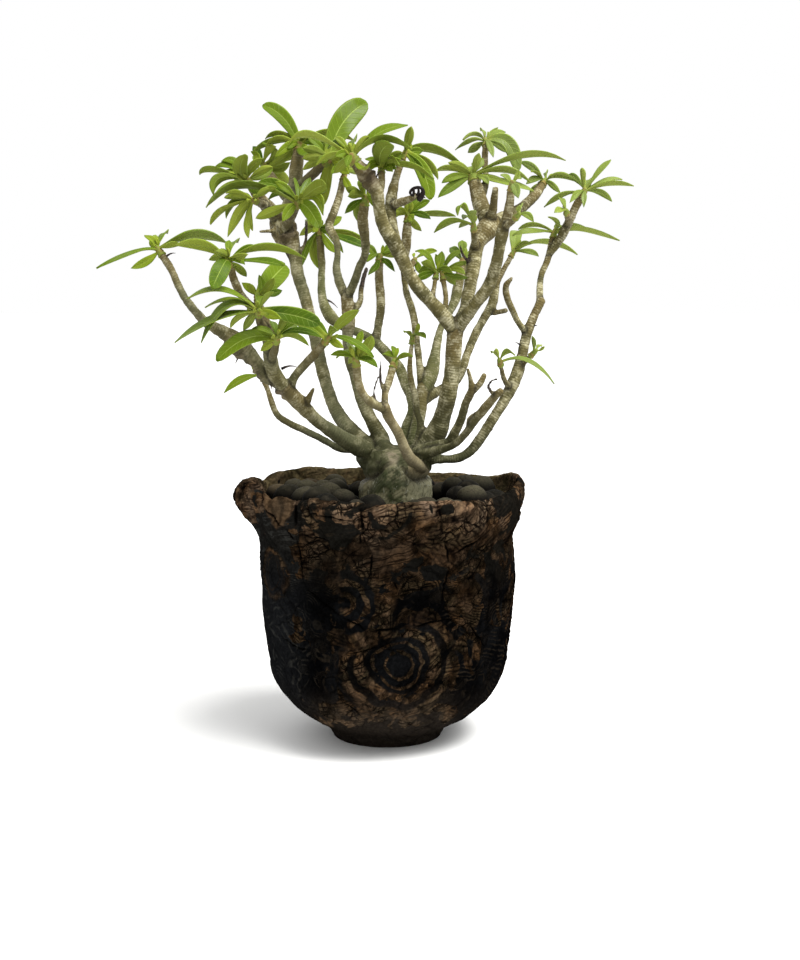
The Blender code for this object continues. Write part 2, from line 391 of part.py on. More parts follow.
def bridge_rings(rings, sides):
    """Quads between consecutive rings of equal length; a ring is the index of its first point."""
    faces = []
    for lower, upper in zip(rings, rings[1:]):
        for k in range(sides):
            n = (k + 1) % sides
            faces.append((lower + k, lower + n, upper + n, upper + k))
    return faces


def tube_mesh(points, radii, sides):
    """Points and faces of a round closed tube with flat ends."""
    verts, rings = [], []
    tangent = (points[1] - points[0]).normalized()
    across = tangent.orthogonal().normalized()
    for i, point in enumerate(points):
        before = points[max(i - 1, 0)]
        after = points[min(i + 1, len(points) - 1)]
        tangent = (after - before).normalized()
        across = (across - tangent * across.dot(tangent)).normalized()
        other = tangent.cross(across)
        rings.append(len(verts))
        for k in range(sides):
            turn = 2 * math.pi * k / sides
            verts.append(point + (across * math.cos(turn) + other * math.sin(turn)) * radii[i])
    faces = bridge_rings(rings, sides)
    faces.append(tuple(reversed(range(sides))))
    faces.append(tuple(range(rings[-1], rings[-1] + sides)))
    return verts, faces


def lump_height(azimuth, z):
    """How far the pot's wall stands out at this azimuth in degrees and height."""
    total = 0.5 * math.sin(math.radians(3 * azimuth) + z / 17) + 0.35 * math.sin(math.radians(5 * azimuth) - z / 11)
    total *= min(1.0, max(0.0, z / 12))
    for lump_azimuth, lump_z, half_width, half_height, rise in POT_LUMPS:
        turn = (azimuth - lump_azimuth + 180) % 360 - 180
        total += rise * math.exp(-(turn / half_width) ** 2 - ((z - lump_z) / half_height) ** 2)
    return total


def rim_wave(azimuth):
    turn = math.radians(azimuth)
    return 0.9 * math.sin(2 * turn + 0.6) + 0.55 * math.sin(5 * turn + 2.1) + 0.3 * math.sin(9 * turn)


def pot_ring(z, radius, lumpiness):
    ring = []
    rim_share = max(0.0, z - RIM_WAVE_FROM) / (POT_CREST[0][0] - RIM_WAVE_FROM)
    for k in range(POT_SIDES):
        azimuth = 360 * k / POT_SIDES
        out = radius + lumpiness * lump_height(azimuth, z)
        turn = math.radians(azimuth)
        ring.append((out * math.cos(turn), out * math.sin(turn), z + rim_share * rim_wave(azimuth)))
    return ring


def make_pot(material):
    """The thick hand-built wall, turned once and pushed out by its lumps, with drain holes."""
    outline = [(0.0, FOOT_RADIUS, 0.0)]
    outline += [(z, radius, 1.0) for z, radius in POT_OUTSIDE]
    outline += [(POT_CREST[0][0], POT_CREST[0][1], 1.0), (POT_CREST[1][0], POT_CREST[1][1], 0.4)]
    outline += [(z, radius, 0.0) for z, radius in POT_INSIDE]
    verts, rings = [], []
    for z, radius, lumpiness in outline:
        rings.append(len(verts))
        verts += pot_ring(z, radius, lumpiness)
    faces = bridge_rings(rings, POT_SIDES)
    faces.append(tuple(range(POT_SIDES)))
    faces.append(tuple(range(rings[-1], rings[-1] + POT_SIDES)))
    pot = make_object("pot", verts, faces, material)
    drill_drain_holes(pot)
    shade(pot, 50.0)
    return pot


def drill_drain_holes(pot):
    for k in range(DRAIN_HOLES):
        turn = 2 * math.pi * (k + 0.5) / DRAIN_HOLES
        place = Vector((DRAIN_RING_RADIUS * math.cos(turn), DRAIN_RING_RADIUS * math.sin(turn), 0))
        ends = [place - Vector((0, 0, 2)), place + Vector((0, 0, FLOOR_Z + 2))]
        verts, faces = tube_mesh(ends, [DRAIN_RADIUS, DRAIN_RADIUS], 8)
        drill = make_object("drain_drill", verts, faces)
        drill.hide_render = True
        drill.display_type = "WIRE"
        cut = pot.modifiers.new("drain_hole", "BOOLEAN")
        cut.operation = "DIFFERENCE"
        cut.solver = "EXACT"
        cut.object = drill


def inside_radius(z):
    """The pot's inner radius at this height."""
    outline = sorted(POT_INSIDE)
    for (low_z, low_radius), (high_z, high_radius) in zip(outline, outline[1:]):
        if z <= high_z:
            share = (z - low_z) / (high_z - low_z)
            return low_radius + share * (high_radius - low_radius)
    return outline[-1][1]


def caudex_radii(z):
    """Half the caudex's width and depth at this height."""
    for lower, upper in zip(CAUDEX_RINGS, CAUDEX_RINGS[1:]):
        if z <= upper[0]:
            share = (z - lower[0]) / (upper[0] - lower[0])
            return tuple(lower[i] + share * (upper[i] - lower[i]) for i in (1, 2))
    return CAUDEX_RINGS[-1][1:]


def ellipse_ring(centre_x, centre_y, half_x, half_y, z, sides):
    ring = []
    for k in range(sides):
        turn = 2 * math.pi * k / sides
        ring.append((centre_x + half_x * math.cos(turn), centre_y + half_y * math.sin(turn), z))
    return ring


def fill_ring(z):
    """A ring of the pot's filling, a seat gap inside the pot's flat-sided wall."""
    radius = inside_radius(z) * math.cos(math.pi / POT_SIDES) - SEAT_GAP
    return ellipse_ring(0, 0, radius, radius, z, FILL_SIDES)


def socket_ring(z):
    """A ring of the hole that the caudex stands in."""
    half_x, half_y = caudex_radii(z)
    room = 1 / math.cos(math.pi / FILL_SIDES)
    clear = SEAT_GAP + 0.1
    return ellipse_ring(CAUDEX_X, CAUDEX_Y, (half_x + clear) * room, (half_y + clear) * room, z, FILL_SIDES)


def stack_rings(name, ring_list, material, closed_loop):
    """A solid from rings; a closed loop of rings is a collar, otherwise the ends are capped."""
    verts, rings = [], []
    for ring in ring_list:
        rings.append(len(verts))
        verts += ring
    if closed_loop:
        rings.append(rings[0])
    faces = bridge_rings(rings, len(ring_list[0]))
    if not closed_loop:
        sides = len(ring_list[0])
        faces.append(tuple(range(sides)))
        faces.append(tuple(range(rings[-1], rings[-1] + sides)))
    return make_object(name, verts, faces, material)


def make_substrate(material):
    """The growing medium: a plug of the pot's inside with a socket for the caudex."""
    heights = [FLOOR_Z + SEAT_GAP] + [z for z, _ in sorted(POT_INSIDE)[1:] if z < SUBSTRATE_TOP]
    rings = [fill_ring(z) for z in heights + [SUBSTRATE_TOP]]
    socket_heights = [SUBSTRATE_TOP] + [z for z, _, _ in reversed(CAUDEX_RINGS) if z < SUBSTRATE_TOP]
    rings += [socket_ring(z) for z in socket_heights[:-1]]
    bottom = CAUDEX_RINGS[0][0] - SEAT_GAP
    rings.append(socket_ring(CAUDEX_RINGS[0][0])[:])
    rings[-1] = [(x, y, bottom) for x, y, _ in rings[-1]]
    return stack_rings("substrate", rings, material, closed_loop=False)


def pebble_places():
    """Places, heights and sizes of the top dressing's clay balls: close rows, each ball jostled."""
    draw = random.Random(PEBBLE_SEED)
    row_spacing = PEBBLE_SPACING * math.sqrt(3) / 2
    rows = int(PEBBLE_LIMIT_RADIUS / row_spacing) + 1
    half_x, half_y = caudex_radii(80)
    places = []
    for row in range(-rows, rows + 1):
        for column in range(-rows, rows + 1):
            x = (column + 0.5 * (row % 2)) * PEBBLE_SPACING + draw.uniform(-1, 1) * PEBBLE_JITTER
            y = row * row_spacing + draw.uniform(-1, 1) * PEBBLE_JITTER
            radius = draw.uniform(*PEBBLE_RADII)
            z = max(BED_TOP + 1.0 + draw.uniform(-0.9, 1.1), SUBSTRATE_TOP + 2 * SEAT_GAP + radius)
            beside_caudex = math.hypot((x - CAUDEX_X) / (half_x + radius + 0.6),
                                       (y - CAUDEX_Y) / (half_y + radius + 0.6))
            if beside_caudex > 1 and math.hypot(x, y) + radius < PEBBLE_LIMIT_RADIUS:
                places.append((x, y, z, radius))
    return places


def make_pebbles(material):
    """The top dressing: a thin bed with half-sunk clay balls fused on it, round the caudex."""
    bottom = SUBSTRATE_TOP + SEAT_GAP
    rings = [fill_ring(bottom), fill_ring(76), fill_ring(BED_TOP), socket_ring(BED_TOP), socket_ring(bottom)]
    bed = stack_rings("clay_pebbles", rings, material, closed_loop=True)
    balls = []
    for x, y, z, radius in pebble_places():
        shape = bmesh.new()
        bmesh.ops.create_uvsphere(shape, u_segments=PEBBLE_SEGMENTS, v_segments=PEBBLE_RINGS,
                                  radius=radius * METRES_PER_MM)
        mesh = bpy.data.meshes.new("pebble")
        shape.to_mesh(mesh)
        shape.free()
        ball = bpy.data.objects.new("pebble", mesh)
        ball.location = Vector((x, y, z)) * METRES_PER_MM
        ball.rotation_euler = (0.2 * math.sin(7 * x), 0.2 * math.cos(5 * y), x + y)
        bpy.context.scene.collection.objects.link(ball)
        balls.append(ball)
    join_repeats(bed, balls)
    shade(bed)
    return bed


def nearest_on_run(path, x, z):
    """The (x, z, depth, radius) of a run's path nearest to (x, z) on the picture plane."""
    best = None
    for start, end in zip(path, path[1:]):
        dx, dz = end[0] - start[0], end[1] - start[1]
        share = ((x - start[0]) * dx + (z - start[1]) * dz) / (dx * dx + dz * dz)
        share = min(1.0, max(0.0, share))
        found = tuple(start[i] + share * (end[i] - start[i]) for i in range(4))
        away = math.hypot(found[0] - x, found[1] - z)
        if best is None or away < best[0]:
            best = (away, found)
    return best[1]


def spread_depths(points, depths):
    """Each point's depth: the knots in depths are spread evenly along the run's length."""
    lengths = [0.0]
    for start, end in zip(points, points[1:]):
        lengths.append(lengths[-1] + math.hypot(end[0] - start[0], end[1] - start[1]))
    result = []
    for length in lengths:
        place = length / lengths[-1] * (len(depths) - 1)
        knot = min(int(place), len(depths) - 2)
        result.append(depths[knot] + (place - knot) * (depths[knot + 1] - depths[knot]))
    return result


def trace_runs():
    """Each run's path as (x, z, depth, radius) points, in the order that the runs grow."""
    paths = {}
    for name, run in RUNS.items():
        points = list(run.points)
        depths = [depth * DEPTH_SPREAD for depth in run.depths]
        if run.parent:
            x, z, depth, _ = nearest_on_run(paths[run.parent], *points[0][:2])
            points[0] = (x, z, points[0][2])
            depths.insert(0, depth)
        paths[name] = [(x, z, depth, radius)
                       for (x, z, radius), depth in zip(points, spread_depths(points, depths))]
    return paths


def without_straight_points(path):
    """The path without the points that lie nearly on the line between their neighbours."""
    kept = [path[0]]
    for point, after in zip(path[1:], path[2:]):
        share = (point[1] - kept[-1][1]) / (after[1] - kept[-1][1]) if after[1] != kept[-1][1] else 0.5
        share = min(1.0, max(0.0, share))
        bend = max(abs(kept[-1][i] + share * (after[i] - kept[-1][i]) - point[i]) for i in (0, 2, 3))
        if bend > STRAIGHT_WITHIN or len(kept) == 1 and len(path) < 5:
            kept.append(point)
    return kept + [path[-1]]


def wood_line(path):
    """A run's path as points in space with the radius at each."""
    points, radii = [], []
    for x, z, depth, radius in without_straight_points(path):
        point, scale = sight(x, z, depth)
        points.append(point)
        radii.append(radius * scale)
    return points, radii


def run_sides(radii):
    thickest = max(radii)
    if thickest > 2.4:
        return 7
    return 6 if thickest > 1.5 else 5


def make_wood(paths, material):
    """Caudex, branches, twigs and stubs, grown as one piece."""
    rings = [ellipse_ring(CAUDEX_X, CAUDEX_Y, half_x, half_y, z, CAUDEX_SIDES)
             for z, half_x, half_y in CAUDEX_RINGS]
    wood = stack_rings("caudex_and_branches", rings, material, closed_loop=False)
    pieces = []
    for name, path in paths.items():
        points, radii = wood_line(path)
        verts, faces = tube_mesh(points, radii, run_sides(radii))
        pieces.append(make_object(name, verts, faces))
    join_repeats(wood, pieces)
    shade(wood, 60.0)
    return wood


def shoot_frame(rosette, path):
    """The leafy tip's foot, direction, length, foot radius and heart, beyond the end of its run."""
    points, radii = wood_line(path)
    direction = (points[-1] - points[-2]).normalized()
    heart, _ = sight(*rosette.heart, path[-1][2] + direction.y * 1.5)
    foot = points[-1] + direction * SEAT_GAP
    length = max(SHOOT_LEAST_LENGTH, (heart - foot).dot(direction) + SHOOT_PAST_HEART)
    return foot, direction, length, max(radii[-1], SHOOT_LEAST_RADIUS)


def shoot_mesh(foot, direction, length, radius):
    return tube_mesh([foot, foot + direction * length], [radius * 1.1, radius * 0.6], SHOOT_SIDES)


def leaf_points(leaf):
    """A leaf's middle and tip on the picture plane, its seen width and its side."""
    if len(leaf) == 6:
        return leaf[0:2], leaf[2:4], leaf[4], leaf[5]
    return None, leaf[0:2], leaf[2], leaf[3]


def aim_leaf(root, root_depth, heart, leaf, swing, lift):
    """The leaf's root, middle and tip in space, its width, and how wide the eye sees it."""
    middle, tip, seen_width, side = leaf_points(leaf)
    flat_length = math.hypot(tip[0] - heart[0], tip[1] - heart[1])
    full_length = max(flat_length, LEAF_LENGTH_PER_SEEN_WIDTH * seen_width, LEAF_LEAST_LENGTH)
    reach = side * swing * (0.85 * math.sqrt(full_length ** 2 - flat_length ** 2) + 0.14 * flat_length + 1.0)
    tip_point, scale = sight(tip[0], tip[1] + lift, root_depth + reach)
    if middle:
        middle_point, _ = sight(middle[0], middle[1] + lift / 2, root_depth + reach * 0.45)
    else:
        middle_point = (root + tip_point) / 2 + Vector((0, 0, 0.11 * (tip_point - root).length))
    length = (middle_point - root).length + (tip_point - middle_point).length
    width = max(min(LEAF_WIDTH_PER_LENGTH * length, LEAF_WIDEST), LEAF_NARROWEST, seen_width * scale)
    return root, middle_point, tip_point, width, seen_width * scale


def blade_curve(root, middle, tip, u):
    """The point and direction of the blade's centre line at u, from 0 at the root to 1 at the tip."""
    bend = middle * 2 - (root + tip) / 2
    centre = root * (1 - u) ** 2 + bend * (2 * u * (1 - u)) + tip * u ** 2
    return centre, ((bend - root) * (1 - u) + (tip - bend) * u).normalized()


def blade_side(aim):
    """The direction across the blade at its middle: turned to the width seen, upper face up."""
    root, middle, tip, width, seen_width = aim
    centre, tangent = blade_curve(root, middle, tip, 0.5)
    flat_on = (centre - EYE).cross(tangent).normalized()
    edge_on = tangent.cross(flat_on).normalized()
    turn = math.acos(min(1.0, seen_width / width))
    choices = [flat_on * math.cos(turn) + edge_on * math.sin(turn),
               flat_on * math.cos(turn) - edge_on * math.sin(turn)]
    across = max(choices, key=lambda side: abs(side.cross(tangent).z))
    return across if across.cross(tangent).z > 0 else -across


def blade_mesh(aim, grow=0.0):
    """A thin closed blade with a low fold along its middle, each side split alike above and below."""
    root, middle, tip, width, _ = aim
    length = (middle - root).length + (tip - middle).length
    stations = SMALL_BLADE if length < SMALL_LEAF else LONG_BLADE
    half_thickness = BLADE_THICKNESS / 2 + grow
    side = blade_side(aim)
    verts, faces = [], []
    for u, share in stations:
        centre, tangent = blade_curve(root, middle, tip, u)
        across = (side - tangent * side.dot(tangent)).normalized()
        face = across.cross(tangent)
        half_width = share * width / 2 + grow
        fold = face * (BLADE_FOLD * half_width)
        verts += [centre - across * half_width + fold, centre + face * half_thickness,
                  centre + across * half_width + fold, centre - face * half_thickness]
    for here in range(0, 4 * len(stations) - 4, 4):
        there = here + 4
        for edge in (0, 2):
            for ridge in (1, 3):
                faces.append((here + edge, here + ridge, there + ridge))
                faces.append((here + edge, there + ridge, there + edge))
    last = 4 * (len(stations) - 1)
    verts.append(tip + (tip - middle).normalized() * grow)
    faces += [(last + k, last + (k + 1) % 4, last + 4) for k in range(4)]
    faces += [(0, 1, 3), (1, 2, 3)]
    return verts, faces


def search_tree(verts, faces):
    triangles = [(face[0], face[k], face[k + 1]) for face in faces for k in range(1, len(face) - 1)]
    return BVHTree.FromPolygons(verts, triangles, all_triangles=True)


def rear_leaves(rosette, draw):
    """Leaves on the far side of a full rosette, in the same terms as its other leaves."""
    added = []
    if len(rosette.leaves) < FULL_ROSETTE:
        return added
    for _ in range(2 if len(rosette.leaves) > RICH_ROSETTE else 1):
        length = draw.uniform(*REAR_LEAF_LENGTHS)
        sideways = draw.uniform(-0.32, 0.32) * length
        rise = draw.uniform(0.12, 0.4) * length
        reach = math.sqrt(length ** 2 - sideways ** 2 - rise ** 2)
        added.append((sideways, rise, reach))
    return added


def aim_rear_leaf(root, root_depth, heart, added, swing, lift):
    sideways, rise, reach = added
    depth = root_depth + reach * min(swing, 1.2)
    tip, scale = sight(heart[0] + sideways * (2 - swing), heart[1] + rise + lift, depth)
    middle = (root + tip) / 2 + Vector((0, 0, 0.12 * (tip - root).length))
    length = (tip - root).length * 1.05
    width = min(LEAF_WIDTH_PER_LENGTH * length, LEAF_WIDEST)
    return root, middle, tip, width, width * 0.45 * scale


def place_leaves(paths):
    """For each rosette, its shoot frame and the aims of its leaves, all clear of every neighbour."""
    wood_trees = []
    for path in paths.values():
        points, radii = wood_line(path)
        wood_trees.append(search_tree(*tube_mesh(points, radii, run_sides(radii))))
    frames = [shoot_frame(rosette, paths[rosette.run]) for rosette in ROSETTES]
    shoot_trees = [search_tree(*shoot_mesh(*frame)) for frame in frames]
    rear_draw = random.Random(REAR_LEAVES_SEED)
    placed_trees = []
    result = []
    for index, (rosette, frame) in enumerate(zip(ROSETTES, frames)):
        foot, direction, length, _ = frame
        others = shoot_trees[:index] + shoot_trees[index + 1:]
        tasks = [(aim_leaf, leaf) for leaf in rosette.leaves]
        tasks += [(aim_rear_leaf, added) for added in rear_leaves(rosette, rear_draw)]
        aims, own_trees = [], []
        for order, (aim_function, leaf) in enumerate(tasks):
            height = 0.5 + 0.35 * order / max(1, len(tasks) - 1)
            root = foot + direction * (length * height)
            root_depth = paths[rosette.run][-1][2]
            chosen = None
            for lift in LIFTS:
                for swing in SWINGS:
                    aim = aim_function(root, root_depth, rosette.heart, leaf, swing, lift)
                    tree = search_tree(*blade_mesh(aim, CLEARANCE))
                    blocked = any(tree.overlap(other) for other in wood_trees + others + placed_trees)
                    if not blocked:
                        chosen = aim
                        break
                if chosen:
                    break
            if chosen:
                aims.append(chosen)
                own_trees.append(search_tree(*blade_mesh(chosen)))
        placed_trees += own_trees
        result.append((frame, aims))
    return result


def make_rosettes(paths, material):
    """Each leafy shoot tip with its leaves sunk into it, one object each."""
    for number, (frame, aims) in enumerate(place_leaves(paths), start=1):
        verts, faces = shoot_mesh(*frame)
        rosette = make_object(f"leaf_rosette_{number:02d}", verts, faces, material)
        blades = [make_object("blade", *blade_mesh(aim)) for aim in aims]
        join_repeats(rosette, blades)
        shade(rosette, 50.0)


def main():
    for old in list(bpy.data.objects):
        bpy.data.objects.remove(old)
    make_pot(make_material("marbled_clay", (0.055, 0.036, 0.024), 0.8))
    make_substrate(make_material("growing_medium", (0.06, 0.045, 0.032), 0.95))
    make_pebbles(make_material("baked_clay", (0.085, 0.07, 0.055), 0.9))
    paths = trace_runs()
    make_wood(paths, make_material("bark", (0.27, 0.24, 0.15), 0.8))
    make_rosettes(paths, make_material("leaf", (0.2, 0.33, 0.04), 0.42))


main()
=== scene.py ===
"""The looks of the potted desert rose: marbled clay, clay balls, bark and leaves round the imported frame.

-Y is the front. Lengths are millimetres until a mesh is made; the layout repeats the part's source.
"""

import json
import math
import random
from collections import namedtuple

import bpy
import bmesh
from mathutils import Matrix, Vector, noise
from mathutils.bvhtree import BVHTree
from mathutils.kdtree import KDTree

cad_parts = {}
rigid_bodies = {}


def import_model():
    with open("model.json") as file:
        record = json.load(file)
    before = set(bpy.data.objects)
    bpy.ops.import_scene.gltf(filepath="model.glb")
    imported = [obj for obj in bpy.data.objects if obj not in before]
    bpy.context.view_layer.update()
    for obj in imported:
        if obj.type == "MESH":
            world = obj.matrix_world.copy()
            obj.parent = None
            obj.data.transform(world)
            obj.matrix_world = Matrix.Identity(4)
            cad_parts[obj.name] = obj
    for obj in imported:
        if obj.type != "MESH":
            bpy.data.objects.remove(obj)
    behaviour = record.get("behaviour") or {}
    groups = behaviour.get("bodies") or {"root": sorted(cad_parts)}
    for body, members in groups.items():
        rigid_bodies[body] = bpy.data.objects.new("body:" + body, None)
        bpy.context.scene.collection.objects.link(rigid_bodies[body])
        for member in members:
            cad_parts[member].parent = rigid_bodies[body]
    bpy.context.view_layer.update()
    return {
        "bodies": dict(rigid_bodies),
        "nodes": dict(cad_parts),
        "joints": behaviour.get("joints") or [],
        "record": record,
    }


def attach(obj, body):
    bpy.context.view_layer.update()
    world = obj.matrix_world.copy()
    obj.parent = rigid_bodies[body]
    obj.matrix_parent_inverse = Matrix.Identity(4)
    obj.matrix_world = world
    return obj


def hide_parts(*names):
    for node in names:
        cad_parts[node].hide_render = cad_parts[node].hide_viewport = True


METRES_PER_MM = 0.001
SEAT_GAP = 0.3

# The branches and leaves are laid out as seen from one eye in front of the pot:
# x and z lie on the upright picture plane through the pot's axis, and depth is world y.
EYE = Vector((4.16, -495.1, 152.6))
PICTURE_CENTRE = Vector((4.16, 0.0, 83.0))
PICTURE_X = 4.16
PICTURE_Z = 81.28
EYE_PITCH = math.radians(8.0)
DEPTH_SPREAD = 1.25

FOOT_RADIUS = 17.6
FLOOR_Z = 7.0
POT_OUTSIDE = ((1.5, 18.4), (4, 20), (8, 27), (12, 32), (18, 36), (25, 38), (35, 38.6), (50, 40.2),
               (58, 40.6), (65, 40.3), (70, 41.2), (74, 42.8), (78, 44.2), (81, 44.4))
POT_CREST = ((82.5, 43.2), (82.3, 41.9))
POT_INSIDE = ((79.5, 41.2), (76, 39.8), (72, 38.4), (64, 36.4), (50, 36.0), (35, 34.6), (22, 33.0),
              (14, 29.0), (9, 23.5), (FLOOR_Z, 19.0))
RIM_WAVE_FROM = 76.0
# Swellings of the pot's wall: azimuth, height, half width in degrees, half height, rise
POT_LUMPS = ((180, 76, 21, 7, 4.4), (220, 70, 13, 6, 2.4), (335, 72.5, 12, 5, 2.0), (262, 74, 14, 5, 1.2),
             (300, 66, 12, 6, 1.0), (60, 74, 16, 6, 2.2), (115, 76, 18, 6, 2.6), (200, 40, 14, 9, 1.0),
             (20, 45, 15, 10, 1.0), (240, 22, 16, 8, 1.0), (90, 48, 18, 12, 1.2))
DRAIN_HOLES = 5
DRAIN_RING_RADIUS = 9.5
DRAIN_RADIUS = 1.8

SUBSTRATE_TOP = 73.6
BED_TOP = 77.7

PEBBLE_SEED = 11
PEBBLE_SPACING = 8.6
PEBBLE_JITTER = 1.0
PEBBLE_RADII = (4.0, 4.7)
PEBBLE_LIMIT_RADIUS = 39.5

CAUDEX_X = 2.7
CAUDEX_Y = -3.0

CAUDEX_RINGS = ((63, 5.0, 5.0), (67, 8.2, 8.0), (72, 10.6, 10.2), (77, 11.6, 11.0), (82, 11.7, 11.1),
                (86, 11.2, 10.4), (89, 11.6, 9.8), (92, 12.2, 9.4), (94.5, 10.5, 7.8), (96, 6.0, 4.6))

STRAIGHT_WITHIN = 0.45

